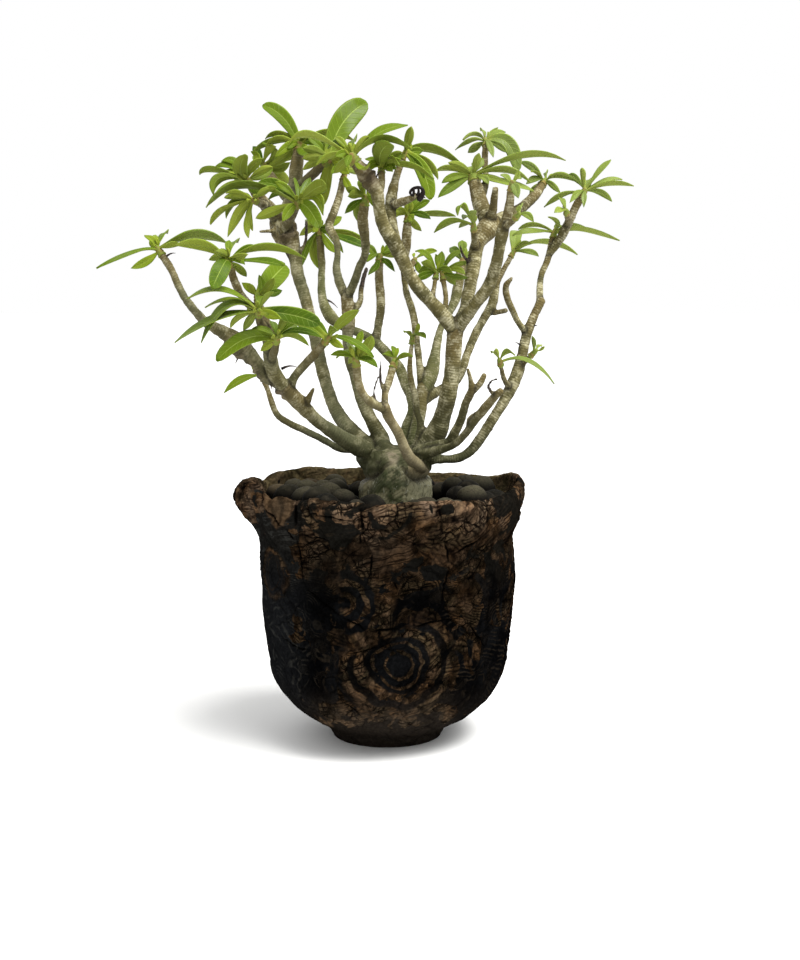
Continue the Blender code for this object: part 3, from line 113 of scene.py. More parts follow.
# One run of wood: the run it leaves, the depths it passes through, and its (x, z, radius) points.
# A run that leaves another starts at that run's nearest point, at its depth there.
Run = namedtuple("Run", "parent depths points")
RUNS = {
    "left": Run(None, (-6, -13, -20), (
        (-6, 90.5, 3.0), (-12, 93.3, 2.8), (-17, 96.5, 2.3), (-22, 100, 2.1), (-26, 103.8, 2.3),
        (-30, 108, 2.5), (-33, 111, 2.4))),
    "left_riser": Run("left", (-26, -30), (
        (-33, 111, 2.3), (-36, 115.5, 2.3), (-37.3, 120, 2.4), (-37.5, 125, 2.4), (-38.5, 130, 2.2),
        (-40.5, 134.5, 1.8), (-41, 137.5, 1.5))),
    "left_riser_tip": Run("left_riser", (-32,), (
        (-39, 131.5, 1.5), (-42.3, 135.5, 1.5), (-44.8, 138.2, 1.5), (-47, 141, 1.4), (-48.8, 145, 1.4),
        (-50, 149, 1.3))),
    "left_riser_side": Run("left_riser", (-36,), ((-38.2, 129, 1.5), (-40.5, 131.5, 1.4), (-41, 134, 1.3))),
    "left_riser_low": Run("left_riser", (-35,), (
        (-37.3, 119.5, 1.5), (-36, 122.5, 1.4), (-35.5, 125.5, 1.3))),
    "far_left": Run("left", (-22, -24, -20), (
        (-33, 110.5, 1.6), (-38.5, 114, 1.7), (-41, 118, 1.9), (-44.5, 122, 2.5), (-48.5, 126, 2.7),
        (-53, 129, 2.1), (-58, 131.8, 1.6), (-61.5, 135.5, 1.4), (-64.5, 139.3, 1.3), (-67, 144, 1.25),
        (-69.2, 149, 1.25), (-71.8, 153, 1.3))),
    "left_fork": Run("left", (-20, -26), (
        (-31.5, 109.5, 1.6), (-29.5, 114.5, 1.5), (-26, 118.5, 1.5), (-22.5, 122.3, 1.5), (-20, 125.2, 1.3))),
    "left_stub": Run("left", (-20,), ((-26, 103.8, 1.1), (-25, 107.5, 1.1), (-23.3, 110.8, 0.5))),
    "low_rear": Run(None, (0, 9, 16), (
        (-4, 90, 1.6), (-9, 91, 1.3), (-15, 91.3, 1.2), (-20, 94, 1.2), (-26, 97, 1.2), (-31, 99.3, 1.2),
        (-35, 102, 1.1), (-37, 106.5, 1.05), (-38.3, 110.5, 0.9), (-39.5, 113, 0.9))),
    "back_left": Run(None, (0, 12, 20, 24), (
        (-5, 90.5, 3.0), (-10, 95.5, 2.8), (-14, 100, 2.5), (-17, 105, 2.2), (-18.8, 110, 2.0),
        (-20.3, 115, 2.0), (-21.5, 120, 2.0), (-22.8, 126, 2.0), (-24.5, 133, 2.0), (-26.3, 140, 2.0),
        (-28.5, 147, 2.1), (-29.3, 152, 2.2), (-31, 157, 3.0), (-33.5, 161.5, 3.8), (-34, 165, 3.6))),
    "back_left_top": Run("back_left", (30, 34), (
        (-33.5, 163, 2.8), (-31, 170, 2.4), (-29.5, 175, 2.3), (-29, 181, 2.2), (-28.3, 186.5, 1.9))),
    "back_left_outer": Run("back_left", (16,), (
        (-33.8, 164, 2.4), (-39, 169.5, 2.2), (-41.5, 172.5, 1.9), (-43.5, 175.5, 1.5))),
    "back_left_outer_side": Run("back_left_outer", (8,), (
        (-38.5, 169, 1.4), (-40.5, 169.8, 1.3), (-42, 170.6, 1.2))),
    "back_left_inner": Run("back_left_top", (20,), (
        (-29.6, 174, 1.6), (-26, 177, 1.6), (-22.5, 180.3, 1.6), (-19.8, 182.5, 1.5))),
    "back_left_spur": Run("back_left_top", (38,), (
        (-31, 170, 1.6), (-35.5, 176, 1.6), (-38.5, 180.5, 1.5))),
    "back_left_front": Run("back_left", (10,), (
        (-33, 161, 1.7), (-31, 165, 1.6), (-29, 169, 1.4))),
    "back_left_stub": Run("back_left", (18,), ((-33.5, 161, 0.9), (-40.5, 160.8, 0.6))),
    "back_left_twig": Run("back_left", (20,), (
        (-29.3, 152, 0.8), (-26.5, 156.5, 0.6), (-25.8, 160, 0.6), (-25.8, 164, 0.6))),
    "middle": Run(None, (1, 6, 10), (
        (-1, 91, 2.6), (-2, 95, 2.5), (-4.5, 99.5, 2.3), (-6.8, 104, 2.2), (-8.7, 109, 1.9),
        (-10.3, 114.5, 1.7), (-11.8, 120, 1.8), (-12.6, 126, 1.8), (-12.3, 131, 2.2), (-12.6, 136, 2.1),
        (-12.8, 140, 2.1))),
    "middle_left": Run("middle", (14, 22), (
        (-12.8, 139, 1.6), (-15, 144, 1.5), (-16.2, 149, 1.3), (-15.8, 154, 1.1), (-16.3, 158, 1.3),
        (-18.5, 162.5, 1.5), (-16.8, 167.5, 1.4), (-15.3, 172, 1.2), (-14.2, 177, 1.1))),
    "middle_right": Run("middle", (4, 2), (
        (-12.7, 139.5, 1.5), (-10.3, 145, 1.4), (-8.8, 149.5, 1.3), (-7, 153.5, 1.3), (-7, 158.5, 1.6),
        (-7.8, 164, 1.8), (-7.2, 169, 1.5))),
    "middle_twig": Run("middle", (14,), (
        (-12.4, 133, 1.1), (-8.8, 138, 1.0), (-8.3, 142, 0.9), (-7.5, 146, 0.8), (-6.5, 149, 0.7))),
    "front": Run(None, (-7, -11.5, -17, -20), (
        (12.5, 85.5, 2.0), (9.3, 86.8, 1.9), (6.8, 89, 1.9), (5.3, 92, 1.8), (4, 95.5, 1.7),
        (2, 99, 1.6), (0.2, 102, 1.7), (-0.8, 105, 1.6))),
    "front_left": Run("front", (-24, -26), (
        (-0.5, 104, 1.5), (-5, 106, 1.5), (-7.8, 109, 1.4), (-9.2, 113, 1.4), (-9.7, 117.5, 1.4))),
    "front_right": Run("front", (-16,), (
        (-0.7, 104.5, 1.3), (-0.6, 109, 1.2), (0.5, 112.5, 1.3), (1.8, 117, 1.3))),
    "front_dead": Run("front_right", (-20,), ((-0.6, 109, 0.8), (-2, 113, 0.6), (-2, 119.5, 0.45))),
    "front_curl": Run("front_left", (-22,), (
        (-3.5, 105.3, 0.6), (-4.2, 109.3, 0.5), (-3.6, 112, 0.45), (-2.7, 114.5, 0.4))),
    "crossing": Run(None, (3, 12, 20, 28, 34), (
        (6, 90, 2.4), (6.3, 97, 2.2), (8, 102, 1.9), (8, 107, 1.7), (6, 112, 1.8), (4, 117, 1.7),
        (0.5, 121.3, 1.7), (-3.5, 125.3, 1.6), (-8.5, 128.2, 1.5), (-14, 130.5, 1.6), (-18, 133.5, 2.0),
        (-20.3, 138, 1.6), (-21, 143, 1.3), (-20.9, 149, 1.2), (-21.2, 155, 1.3), (-21.5, 159, 1.2))),
    "crossing_up": Run("crossing", (26, 28), (
        (-3.5, 125.3, 1.4), (-2.9, 130, 1.4), (-2.1, 135, 1.4), (-2.1, 140, 1.5), (-2.5, 145.5, 1.4),
        (-2.4, 150.5, 1.4))),
    "thin": Run(None, (-5, -3), (
        (9, 91, 1.6), (10.8, 98.5, 1.2), (9.6, 103, 1.1), (9, 108, 1.1), (7.7, 113, 1.1), (7.3, 118.5, 0.9),
        (7.9, 124.5, 0.8))),
    "rear": Run(None, (1, 8), ((8, 90.5, 2.4), (10, 100, 2.2), (11, 107, 2.0), (11.3, 111, 1.9))),
    "rear_left": Run("rear", (15, 19, 20), (
        (11, 109, 1.6), (10.8, 114, 1.3), (10.2, 120, 1.2), (9.4, 127, 1.2), (8.8, 132, 1.3),
        (7.8, 136.5, 1.2), (6.3, 141, 1.1), (5.5, 146, 1.0), (5.2, 150.5, 1.2), (6, 155, 1.6),
        (6.3, 160, 1.6), (6.5, 163.5, 1.3))),
    "rear_left_side": Run("rear_left", (30,), ((5.4, 146.5, 1.0), (7.5, 149, 0.9), (8.5, 151, 0.9))),
    "rear_right": Run("rear", (18, 30), (
        (11.2, 110, 1.8), (13.7, 114, 2.4), (15, 119, 2.0), (16, 125, 1.4), (17.3, 130, 1.2),
        (20, 135, 1.3), (22, 139.5, 1.7), (23, 145, 1.7), (24, 149.5, 1.5))),
    "far_rear": Run("rear", (16, 26, 30), (
        (10.9, 106, 1.6), (14.5, 108.5, 1.6), (18.5, 111, 1.5), (22.5, 113.5, 1.5), (24.5, 118, 1.4),
        (26, 122.5, 1.4), (28.3, 128, 1.4), (31, 133, 1.4), (33.7, 137.5, 1.6), (34.3, 141, 1.5),
        (35.3, 145, 1.2), (37.5, 149, 0.95), (39.5, 152.5, 0.9))),
    "trunk": Run(None, (-4, -8, -8), (
        (10, 89, 4.2), (15.5, 96, 3.5), (17.8, 102, 2.9), (19.5, 108, 2.8), (20.7, 115, 2.65),
        (21.2, 121, 2.6), (21.6, 127, 2.7), (22.3, 131, 2.7))),
    "trunk_left": Run("trunk", (-12, -15), (
        (21.9, 129, 2.6), (17.5, 134.5, 2.4), (13.5, 139, 2.2), (9.5, 143.5, 2.2), (6.3, 149, 2.2),
        (4.2, 153.5, 2.3), (1.8, 158, 2.5), (-1, 162.5, 2.2), (-2.5, 168, 2.0), (-3.2, 173, 2.1),
        (-6.5, 178, 2.2), (-9.8, 182.7, 2.0))),
    "trunk_left_inner": Run("trunk_left", (-8,), ((-3, 172, 1.5), (-1.8, 176, 1.3), (-1.8, 179.5, 1.2))),
    "trunk_left_right": Run("trunk_left", (-8, -5), (
        (3, 155.5, 2.0), (1.5, 163, 2.0), (1, 168, 1.9), (1.8, 173.5, 1.8), (3, 178.5, 1.3),
        (4.8, 183.5, 1.1))),
    "capsule_stalk": Run("trunk_left_right", (-14,), (
        (1.2, 169, 1.4), (5.5, 170.5, 1.4), (8.3, 171.8, 1.1), (9.8, 172.6, 1.7))),
    "trunk_left_rise_a": Run("trunk_left", (-6,), ((15, 137.5, 1.0), (14.8, 141, 0.9), (15.5, 145.5, 0.8))),
    "trunk_left_rise_b": Run("trunk_left", (-3,), ((18.5, 133.2, 1.0), (18.8, 140, 0.9), (18, 145, 0.9))),
    "trunk_right": Run("trunk", (-4, 2), (
        (22, 129.5, 2.5), (24.8, 135, 2.2), (26, 140.5, 2.1), (27, 146, 2.2), (28, 152, 2.3),
        (29.3, 157.5, 2.4), (32, 161.5, 3.6), (33.5, 163.5, 3.0))),
    "trunk_right_outer": Run("trunk", (-14, -17), (
        (22, 129, 2.2), (28.5, 138, 2.0), (32, 142.5, 2.0), (34.3, 148, 2.0), (35.7, 154, 1.9),
        (36.8, 160, 2.1), (38.3, 165, 1.7), (39.3, 170, 1.5), (39.6, 173.5, 1.3))),
    "trunk_right_side": Run("trunk_right_outer", (-21,), (
        (37.3, 162, 1.2), (39.5, 163.5, 1.1), (41, 165, 1.0))),
    "right_head_left": Run("trunk_right", (8,), (
        (33, 163, 2.7), (30.3, 168.5, 2.7), (29, 173, 2.4), (28, 176.5, 2.0))),
    "right_head_top": Run("right_head_left", (16,), (
        (29.5, 170.5, 1.5), (31.6, 176, 1.1), (31.3, 183, 1.1), (31.5, 188, 1.1))),
    "right_head_stub": Run("trunk_right", (-3,), ((33, 163, 1.8), (34.2, 170, 1.3), (34.7, 174.5, 1.1))),
    "right_head_front": Run("trunk_right", (-6,), ((28.5, 154.5, 1.4), (28, 158, 1.2), (27.8, 161, 1.1))),
    "right_head_rear": Run("trunk_right", (18,), (
        (33.5, 163.3, 2.2), (42, 167.8, 1.8), (45.5, 170.5, 1.7), (48, 173.2, 1.6), (49.4, 175.5, 1.4))),
    "right_twig": Run("trunk_right", (-6,), ((27.5, 150, 0.7), (24.5, 153, 0.6), (23.4, 156.3, 0.5))),
    "low_right": Run(None, (-7, -14, -20), (
        (9, 89, 2.4), (15, 92, 1.9), (19.5, 93.3, 1.6), (22, 97, 1.5), (23.8, 101, 1.5), (25.3, 106, 1.4),
        (27, 109.8, 1.3), (26.8, 113, 0.9), (25.8, 117, 0.6))),
    "low_right_side": Run("low_right", (-18,), ((26.6, 109, 1.1), (29.7, 112, 1.1), (31.2, 115, 0.9))),
    "low_front_right": Run(None, (-8, -20, -30), (
        (10, 89, 2.2), (17, 91, 1.5), (21, 92.3, 1.3), (24.5, 95.5, 1.3), (28, 100, 1.35),
        (31.3, 104.3, 1.5), (34.5, 108, 1.4), (36.5, 109.8, 1.2))),
    "low_front_flap": Run("low_front_right", (-24,), ((26, 97.5, 0.9), (26.3, 101, 0.7), (30, 103.8, 0.5))),
    "low_front_curl": Run("low_front_right", (-34,), (
        (34.5, 108, 0.8), (32.5, 111, 0.6), (33.5, 113, 0.5), (35.3, 113.6, 0.45))),
    "right": Run(None, (-6, -3, 2, 5), (
        (10, 88, 2.2), (17, 88, 1.6), (22, 88.2, 1.5), (26, 90, 1.6), (29.5, 94, 1.7), (33, 99.5, 1.7),
        (36.5, 105, 1.8), (39.8, 111, 2.1), (42, 116.5, 2.1), (43.3, 121.5, 1.8), (44.5, 127, 1.7),
        (46.5, 132.5, 1.6), (49.3, 138.8, 1.5))),
    "right_top": Run("right", (9, 12), (
        (49, 138, 1.3), (48.9, 143.5, 1.1), (49.6, 147.5, 1.1), (51.3, 151.5, 1.1), (52.2, 155, 1.1),
        (53, 158.5, 1.1))),
    "right_inner": Run("right", (-2,), (
        (44.8, 128, 1.2), (42, 131.8, 1.1), (40.2, 135.5, 1.1), (38.5, 139.5, 1.1), (38, 143.3, 1.1),
        (40, 146, 0.6))),
    "right_low": Run("right", (-8,), ((39.5, 110.5, 1.1), (37.5, 113.5, 0.9), (36.4, 118, 0.8))),
    "right_stub": Run("right", (0,), ((42.2, 117, 1.0), (45.8, 120.8, 0.8))),
    "far_right": Run("right_top", (10,), (
        (52, 153.5, 1.3), (54.8, 157.5, 1.4), (56.8, 161, 1.6), (58.5, 164.5, 1.6), (60, 168, 1.4),
        (62, 171.5, 1.3))),
    "far_right_side": Run("far_right", (2,), ((57.5, 163, 1.2), (57.8, 164.5, 1.0), (57.5, 166.5, 0.9))),
}

# One leafy shoot tip: the run it ends, its heart (x, z) and its leaves. A leaf is
# (middle x, middle z, tip x, tip z, seen width, side) or, nearly straight, (tip x, tip z, width, side);
# side is -1 for a leaf that comes forward and 1 for one that goes back.
Rosette = namedtuple("Rosette", "run heart leaves")
ROSETTES = (
    Rosette("far_left", (-72.5, 155), (
        (-80, 154.6, -93, 149, 2.6, -1), (-76.5, 151.6, -82, 149, 3.4, -1), (-75, 158, -77.7, 159.6, 2.2, 1),
        (-74.3, 159.6, 1.8, 1), (-62, 159.3, -51, 157, 4.2, 1), (-69, 156.3, -65.5, 157, 2.4, -1))),
    Rosette("left_riser_tip", (-50.2, 151), (
        (-58, 156, -68, 156.3, 4.5, -1), (-50.5, 158, 3, 1), (-46.5, 154.5, -42.3, 156.5, 3, 1),
        (-40, 155.3, -26, 152.3, 2.8, 1), (-41, 151.3, -33, 150, 2.6, -1), (-53, 149, -56, 142.5, 6, -1))),
    Rosette("left_riser", (-41, 139.5), (
        (-37, 145.5, -32.5, 150, 7, 1), (-37, 141, -33.5, 142, 2.5, 1))),
    Rosette("left_riser_side", (-41.5, 136), (
        (-50, 138.7, -58.3, 136.5, 2.2, 1), (-51, 137, -59.5, 125.2, 3.5, -1),
        (-54, 133, -68, 125.3, 3, -1), (-47, 133.5, -50, 130, 2.5, -1), (-30, 134, -21.5, 131, 5.5, -1),
        (-52, 141.8, -64, 139.3, 1.8, -1))),
    Rosette("left_riser_low", (-35.3, 127.5), (
        (-45, 126.5, -54.5, 119.3, 5, -1), (-30, 127.4, -25, 124.3, 2.4, 1), (-37, 132, 2.5, 1),
        (-29, 129, -21, 127, 2.5, -1))),
    Rosette("left_fork", (-19.3, 127), (
        (-28, 130.5, -34, 130, 4.5, -1), (-14.5, 131.8, -8.8, 135.7, 4.2, -1),
        (-12, 126, -4.2, 120.5, 3, -1))),
    Rosette("low_rear", (-40, 114.8), (
        (-46, 113.6, -52.3, 109, 3, -1), (-42, 118.5, 2, 1), (-36.5, 117, 2, 1))),
    Rosette("front_left", (-9.7, 119.5), (
        (-6.5, 123.5, -5, 127.5, 3.8, -1), (-6.5, 120, -3, 117.3, 2, -1), (-13, 122, -16.3, 120.3, 1.6, 1),
        (-8, 129, 2.4, 1))),
    Rosette("front_right", (2.3, 119), (
        (5, 121, 8.3, 120.8, 1.8, -1), (2, 124, 1.8, 1), (-1.5, 121.5, 1.6, 1))),
    Rosette("crossing", (-21.3, 161), (
        (-12, 159.5, -4, 152.8, 3, 1), (-14, 158.5, -6, 155.5, 3, -1), (-23.5, 155.5, -22, 149, 3.5, 1),
        (-25.5, 156, -27.5, 149, 3, -1), (-14, 154, 2.4, -1))),
    Rosette("back_left_front", (-28.5, 171), (
        (-45, 175.5, -57, 169.5, 3.5, -1), (-29.5, 178, 2, 1), (-23, 174.5, -19.5, 175.5, 5, -1),
        (-25, 168, -21.5, 162, 5, -1), (-36, 167.5, -42, 165, 4, -1), (-35, 175.5, -42, 176, 4, 1))),
    Rosette("back_left_outer", (-44.2, 177), (
        (-47, 180.5, -45.5, 185.5, 5, -1), (-55, 180.5, -60, 179, 2.5, 1), (-53.5, 178, -55.5, 172.5, 4, -1),
        (-50, 181.8, -55, 181.5, 3, 1), (-50, 175.5, -56, 171, 3, -1), (-52, 174, -58, 168.5, 2, 1))),
    Rosette("back_left_outer_side", (-43.3, 171.3), (
        (-48.5, 170.5, -51.5, 165, 2.5, 1), (-46.5, 168, -51, 159, 4, -1), (-51, 168.5, -56.5, 163, 2.5, 1),
        (-44.5, 164.5, -44.3, 158.8, 2.8, -1))),
    Rosette("back_left_spur", (-39.5, 182), (
        (-43, 188, 3, 1), (-36, 186.5, -40, 189, 3, -1), (-30, 184, 3, 1))),
    Rosette("back_left_top", (-28, 188.3), (
        (-33, 197, -39.8, 201.2, 4.6, 1), (-20, 191.8, -10, 189.7, 3.4, -1), (-34, 192, -39, 190.4, 2.4, 1),
        (-35, 190, -43, 186, 3, -1), (-31, 188.5, -36, 184.5, 3.5, -1), (-22, 190, -17, 187, 4, -1))),
    Rosette("back_left_inner", (-18.6, 184), (
        (-14.5, 195, -6.5, 202.2, 8, 1), (-15, 186.5, -11, 184, 3, -1), (-27, 184, 3, -1),
        (-15, 183.5, -12, 179, 3, -1))),
    Rosette("trunk_left", (-10.5, 184.5), (
        (-3, 192, 6.7, 194.9, 3.2, 1), (-2, 190.3, 8, 187, 3.4, -1), (-15, 189, -19, 187.3, 2.4, 1),
        (-13, 181.5, 2.4, -1))),
    Rosette("trunk_left_inner", (-1.6, 181.3), (
        (-2, 186, 1, 189, 6.5, -1), (1.5, 184, 4, 182, 2.6, -1), (6, 182, 15, 177.6, 2, 1), (-7, 184, 2, 1))),
    Rosette("trunk_left_right", (5.3, 185), (
        (6.8, 190, 7.7, 194.4, 3.6, -1), (12, 183.5, 16.3, 177.5, 3, 1), (11.5, 180, 13.8, 171, 4.8, -1))),
    Rosette("right_head_left", (27.7, 178.2), (
        (17, 186, 5.5, 186.7, 3.4, 1), (20, 181, 15, 179.6, 2.4, -1), (22, 178.5, 17.5, 176.3, 3, -1),
        (22, 176, 16.3, 171.6, 3.6, -1), (37, 176.8, 47, 173.7, 3, -1), (37, 180.5, 46, 176.5, 3, 1),
        (31, 176, 32.5, 172, 3, -1), (31, 184, 3, 1), (43, 184.8, 57.2, 183.6, 3, 1))),
    Rosette("right_head_top", (31.6, 189.5), (
        (28.5, 192, 24.3, 190, 2.4, -1), (34.5, 192, 38, 192.6, 2, 1), (27, 190, 21.8, 186.9, 2, 1),
        (38.5, 189.2, 41.8, 180, 4.5, -1), (34, 184.5, 3, -1))),
    Rosette("right_head_rear", (49.8, 177), (
        (47, 181, 42.5, 183, 3.5, 1), (46, 180, 1.6, -1), (55, 178.8, 61, 176.5, 3, -1),
        (52.5, 176, 55.5, 173, 2.8, -1), (44.5, 176, 3, -1))),
    Rosette("trunk_right_outer", (39.7, 175), ((36.4, 179, 2, 1), (42, 171.5, 3, -1), (43, 178, 2.4, 1))),
    Rosette("trunk_right_side", (41.8, 166), ((44.5, 166.3, 47, 163.8, 2.2, -1), (43, 169, 2, 1))),
    Rosette("far_right", (62.6, 173.3), (
        (68, 180, 71.7, 183.8, 2.6, 1), (62.3, 181.2, 2, -1), (69.5, 177, 75.3, 177.4, 2, 1),
        (71, 176, 79, 175.4, 2.6, -1), (68, 173.5, 72, 170.3, 3, -1), (56, 172.3, 50.2, 168.6, 2.2, 1),
        (58.5, 170, 3, -1), (63, 168.5, 2.5, -1), (58.1, 179, 3, 1))),
    Rosette("far_right_side", (57.4, 167.6), ((55, 171.5, 2, 1), (53.5, 166.8, 2, -1))),
    Rosette("right_top", (53.1, 160), (
        (62, 161.3, 74.5, 158, 2.6, -1), (48, 162.8, 42, 161.5, 2.4, 1), (47, 161, 40, 159.5, 2.2, -1),
        (54.5, 163.5, 51.5, 165.5, 2.5, -1), (64, 162, 2, 1))),
    Rosette("far_rear", (40.2, 154.2), (
        (49.5, 157.5, 61, 153.4, 2.4, 1), (45, 154.5, 48.5, 152.8, 2, -1), (41.5, 161, 4, 1),
        (46.5, 157, 2, -1))),
    Rosette("right_low", (36.1, 119.5), (
        (45, 119.5, 53.6, 112, 2.6, -1), (38.3, 122.3, 41, 121.2, 2, -1), (33.3, 122, 1.8, 1))),
    Rosette("rear_left", (6.5, 165.2), (
        (3, 168, 2, -1), (9.8, 169.5, 2, 1), (14, 166.5, 22, 165.7, 2.8, 1), (14, 164.8, 2.2, -1))),
    Rosette("trunk_left_rise_a", (15.8, 147), (
        (11, 151, 3, -1), (13, 153, 9, 154.5, 2.2, 1), (21, 147.5, 3, -1))),
    Rosette("trunk_left_rise_b", (17.8, 146.5), (
        (20, 152, 25, 155, 2.6, 1), (22, 148.7, 25, 147, 2.4, -1), (22, 143.5, 3, 1))),
    Rosette("right_head_front", (27.8, 162.7), (
        (27, 167.5, 4, -1), (23, 162, 2, 1), (21, 164, 15, 160.5, 2.4, 1), (24, 169, 22.5, 166, 2, -1))),
    Rosette("crossing_up", (-2.4, 152.3), ((2.5, 148, 2.5, -1), (3.5, 152.5, 2.2, 1), (-6.5, 151, 2.2, -1))),
    Rosette("rear_left_side", (9, 152.3), ((10.8, 147, 2.2, -1), (16, 154.5, 2, 1))),
    Rosette("middle_left", (-14, 178.8), ((-12, 184, 2.5, -1), (-18, 182, 2.5, 1), (-9.5, 180.5, 2.5, 1))),
    Rosette("middle_right", (-7, 170.5), (
        (-8, 175.5, -4, 172, 3, -1), (-12.5, 172, 3, -1), (-9, 177, 2.6, 1))),
    Rosette("right_stub", (46.3, 121.8), ((46.8, 127, 1.6, -1), (49.5, 124, 1.6, 1))),
    Rosette("thin", (8, 126), ((5.5, 128.6, 1.4, -1), (12.5, 126.6, 1.6, -1))),
    Rosette("rear_right", (24.3, 151), ((20, 155.5, 3, 1), (28.5, 153.5, 3, 1), (24, 158, 3, 1))),
)

SHOOT_SIDES = 5
SHOOT_LEAST_RADIUS = 1.0
SHOOT_LEAST_LENGTH = 3.2
SHOOT_PAST_HEART = 1.6
BLADE_THICKNESS = 0.9
BLADE_FOLD = 0.16
LEAF_WIDTH_PER_LENGTH = 0.27
LEAF_WIDEST = 7.0
LEAF_NARROWEST = 2.2
LEAF_LENGTH_PER_SEEN_WIDTH = 2.9
LEAF_LEAST_LENGTH = 8.0
SMALL_LEAF = 9.0
# Where a blade's stations lie along it, and how wide it is there
LONG_BLADE = ((0.0, 0.22), (0.42, 0.86), (0.76, 0.84))
SMALL_BLADE = ((0.0, 0.26), (0.6, 1.0))
# A leaf that would touch a neighbour swings in depth, or lifts its tip, until it is clear.
SWINGS = (1.0, 0.7, 1.35, 0.4, 1.7, 0.1, -0.3, -0.7, -1.1, 2.1)
LIFTS = (0.0, 1.2, -1.2, 2.4, -2.4, 4.0, -4.0)
CLEARANCE = 0.35
REAR_LEAVES_SEED = 5
FULL_ROSETTE = 4
RICH_ROSETTE = 6
REAR_LEAF_LENGTHS = (12.0, 17.0)

# The photograph's frame and lens, for the camera
SENSOR_HEIGHT = 36.0
LENS = 58.59
CLIP_NEAR = 0.05
# The studio's floor and lamp in metres and watts, and the daylight's strength, softness and direction
FLOOR_SIZE = 8.0
LAMP_PLACE = (0.35, -0.2, 0.9)
LAMP_AIM = (0.0, 0.0, 0.11)
LAMP_SIZE = 0.6
LAMP_POWER = 12.0
DAYLIGHT = 2.3
DAYLIGHT_SPREAD = math.radians(45)
DAYLIGHT_TURN = (math.radians(17), math.radians(24), 0.0)

POT_COLUMNS = 460
DRAIN_SIDES = 24
# The darkest place of the rim's smooth lobe
SHELL_MIDDLE = (-33.0, -33.0, 79.5)
POT_PITCH = 0.56
# The clay lies in slabs of about this size, each layered its own way
SLAB_SIZE = 13.0
FOOT_SHARE_UNTIL = 4.0
# Finer swellings and creases of the rim, in the terms of POT_LUMPS
RIM_DETAILS = ((200, 74, 5, 6, -1.6), (218, 77, 7, 6, 1.4), (232, 78, 2.8, 7, -2.2), (246, 79, 8, 3.2, 0.9),
               (260.5, 78, 2.4, 6, -2.2), (268, 79.5, 5, 3, 1.1), (280, 78.5, 3, 4, -0.5),
               (291, 79, 2.2, 4, -0.9), (303, 79, 7, 3.4, 0.7), (315, 78, 2.6, 5, -1.2),
               (326, 79.5, 7, 4, 1.4), (345, 76, 4, 6, -1.1), (20, 78, 10, 4, 0.6), (45, 76, 6, 5, -0.5),
               (88, 78, 9, 4, 0.6), (140, 77, 7, 5, -0.7), (165, 73, 6, 5, -0.8))
# Where the rim is lower: azimuth, half width in degrees, drop
RIM_DROPS = ((58, 28, 3.6), (211, 8, 2.6), (222, 14, 2.0), (268, 26, 0.6),
             (160, 6, 2.0))

WOOD_STEP = 0.7
WOOD_TUBE_SIDES = 14
# The domed tip of a run: how far each ring stands past its end and how wide it is, in radii
TIP_DOME = ((0.3, 0.9), (0.5, 0.66), (0.6, 0.3))
WOOD_VOXEL = 0.53
WOOD_SMOOTHING = 3
SCAR_PITCH = 0.85
SCAR_DEPTH = 0.09
CREASE_Z = 85.0
CREASE_RISE = 4.8
CREASE_DEPTH = 1.3
CAUDEX_SKIN_TOP = 88.0
CAUDEX_SHOULDER = [(11.6, 9.8, 89.0), (11.9, 8.8, 91.2), (9.0, 6.4, 93.2), (4.0, 2.8, 94.2)]
# Rough dead knobs on the wood: x and z, half width, half height, run
KNOBS = ((-47.5, 124.5, 5.5, 4.5, "far_left"), (-41.0, 118.5, 4.0, 3.4, "far_left"),
         (-33.5, 113.0, 3.4, 3.0, "left"), (-4.5, 177.5, 3.2, 3.4, "trunk_left"),
         (-33.5, 162.5, 3.6, 4.6, "back_left"))
KNOB_RISE = 1.0
KNOB_LUMPS = 1.7
HOLLOW_REACH = 1.3
BARK_NEIGHBOURS = 14
NICK_DEPTH = 0.7
CAUDEX_SLIMMING = 0.968
CAUDEX_PITCH = 0.8
CAUDEX_SIDES = 64
WAIST_Z = 85.6
WAIST_DEPTH = 0.9
# Roots that stand before the foot: how many of a run's points they replace, and x, z, depth, radius
ROOTS = {
    "front": (5, ((11.9, 84.6, -9.5, 1.3), (9.8, 86.2, -14.6, 1.75), (7.0, 88.8, -17.4, 1.85),
                  (5.4, 92.0, -19.0, 1.75), (4.0, 95.5, -20.6, 1.7))),
    "middle": (1, ((3.0, 86.4, -9.0, 2.4), (1.2, 88.8, -6.5, 2.6), (-0.8, 91.6, -2.2, 2.6))),
}
DEAD_RUNS = ("front_dead", "front_curl", "back_left_twig", "right_twig", "low_front_curl", "middle_twig")
PALE_RUNS = ("front", "front_left", "front_right")
GREEN_RUNS = ("crossing", "rear", "rear_right")
# Bare tan wood above the moss, and nicks, darkened by painted shade: x and z, half width, half height
TAN_PATCH = (1.8, -10.0, 91.9)
TAN_SPREAD = (0.42, 0.06, 0.34)
NICKS = ((-2.7, 90.2, 0.9, 0.8), (8.8, 92.6, 1.9, 0.6))
MOSS_CENTRE = (1.3, -14.0, 84.6)
MOSS_SPREAD = (0.17, 0.12, 0.26)
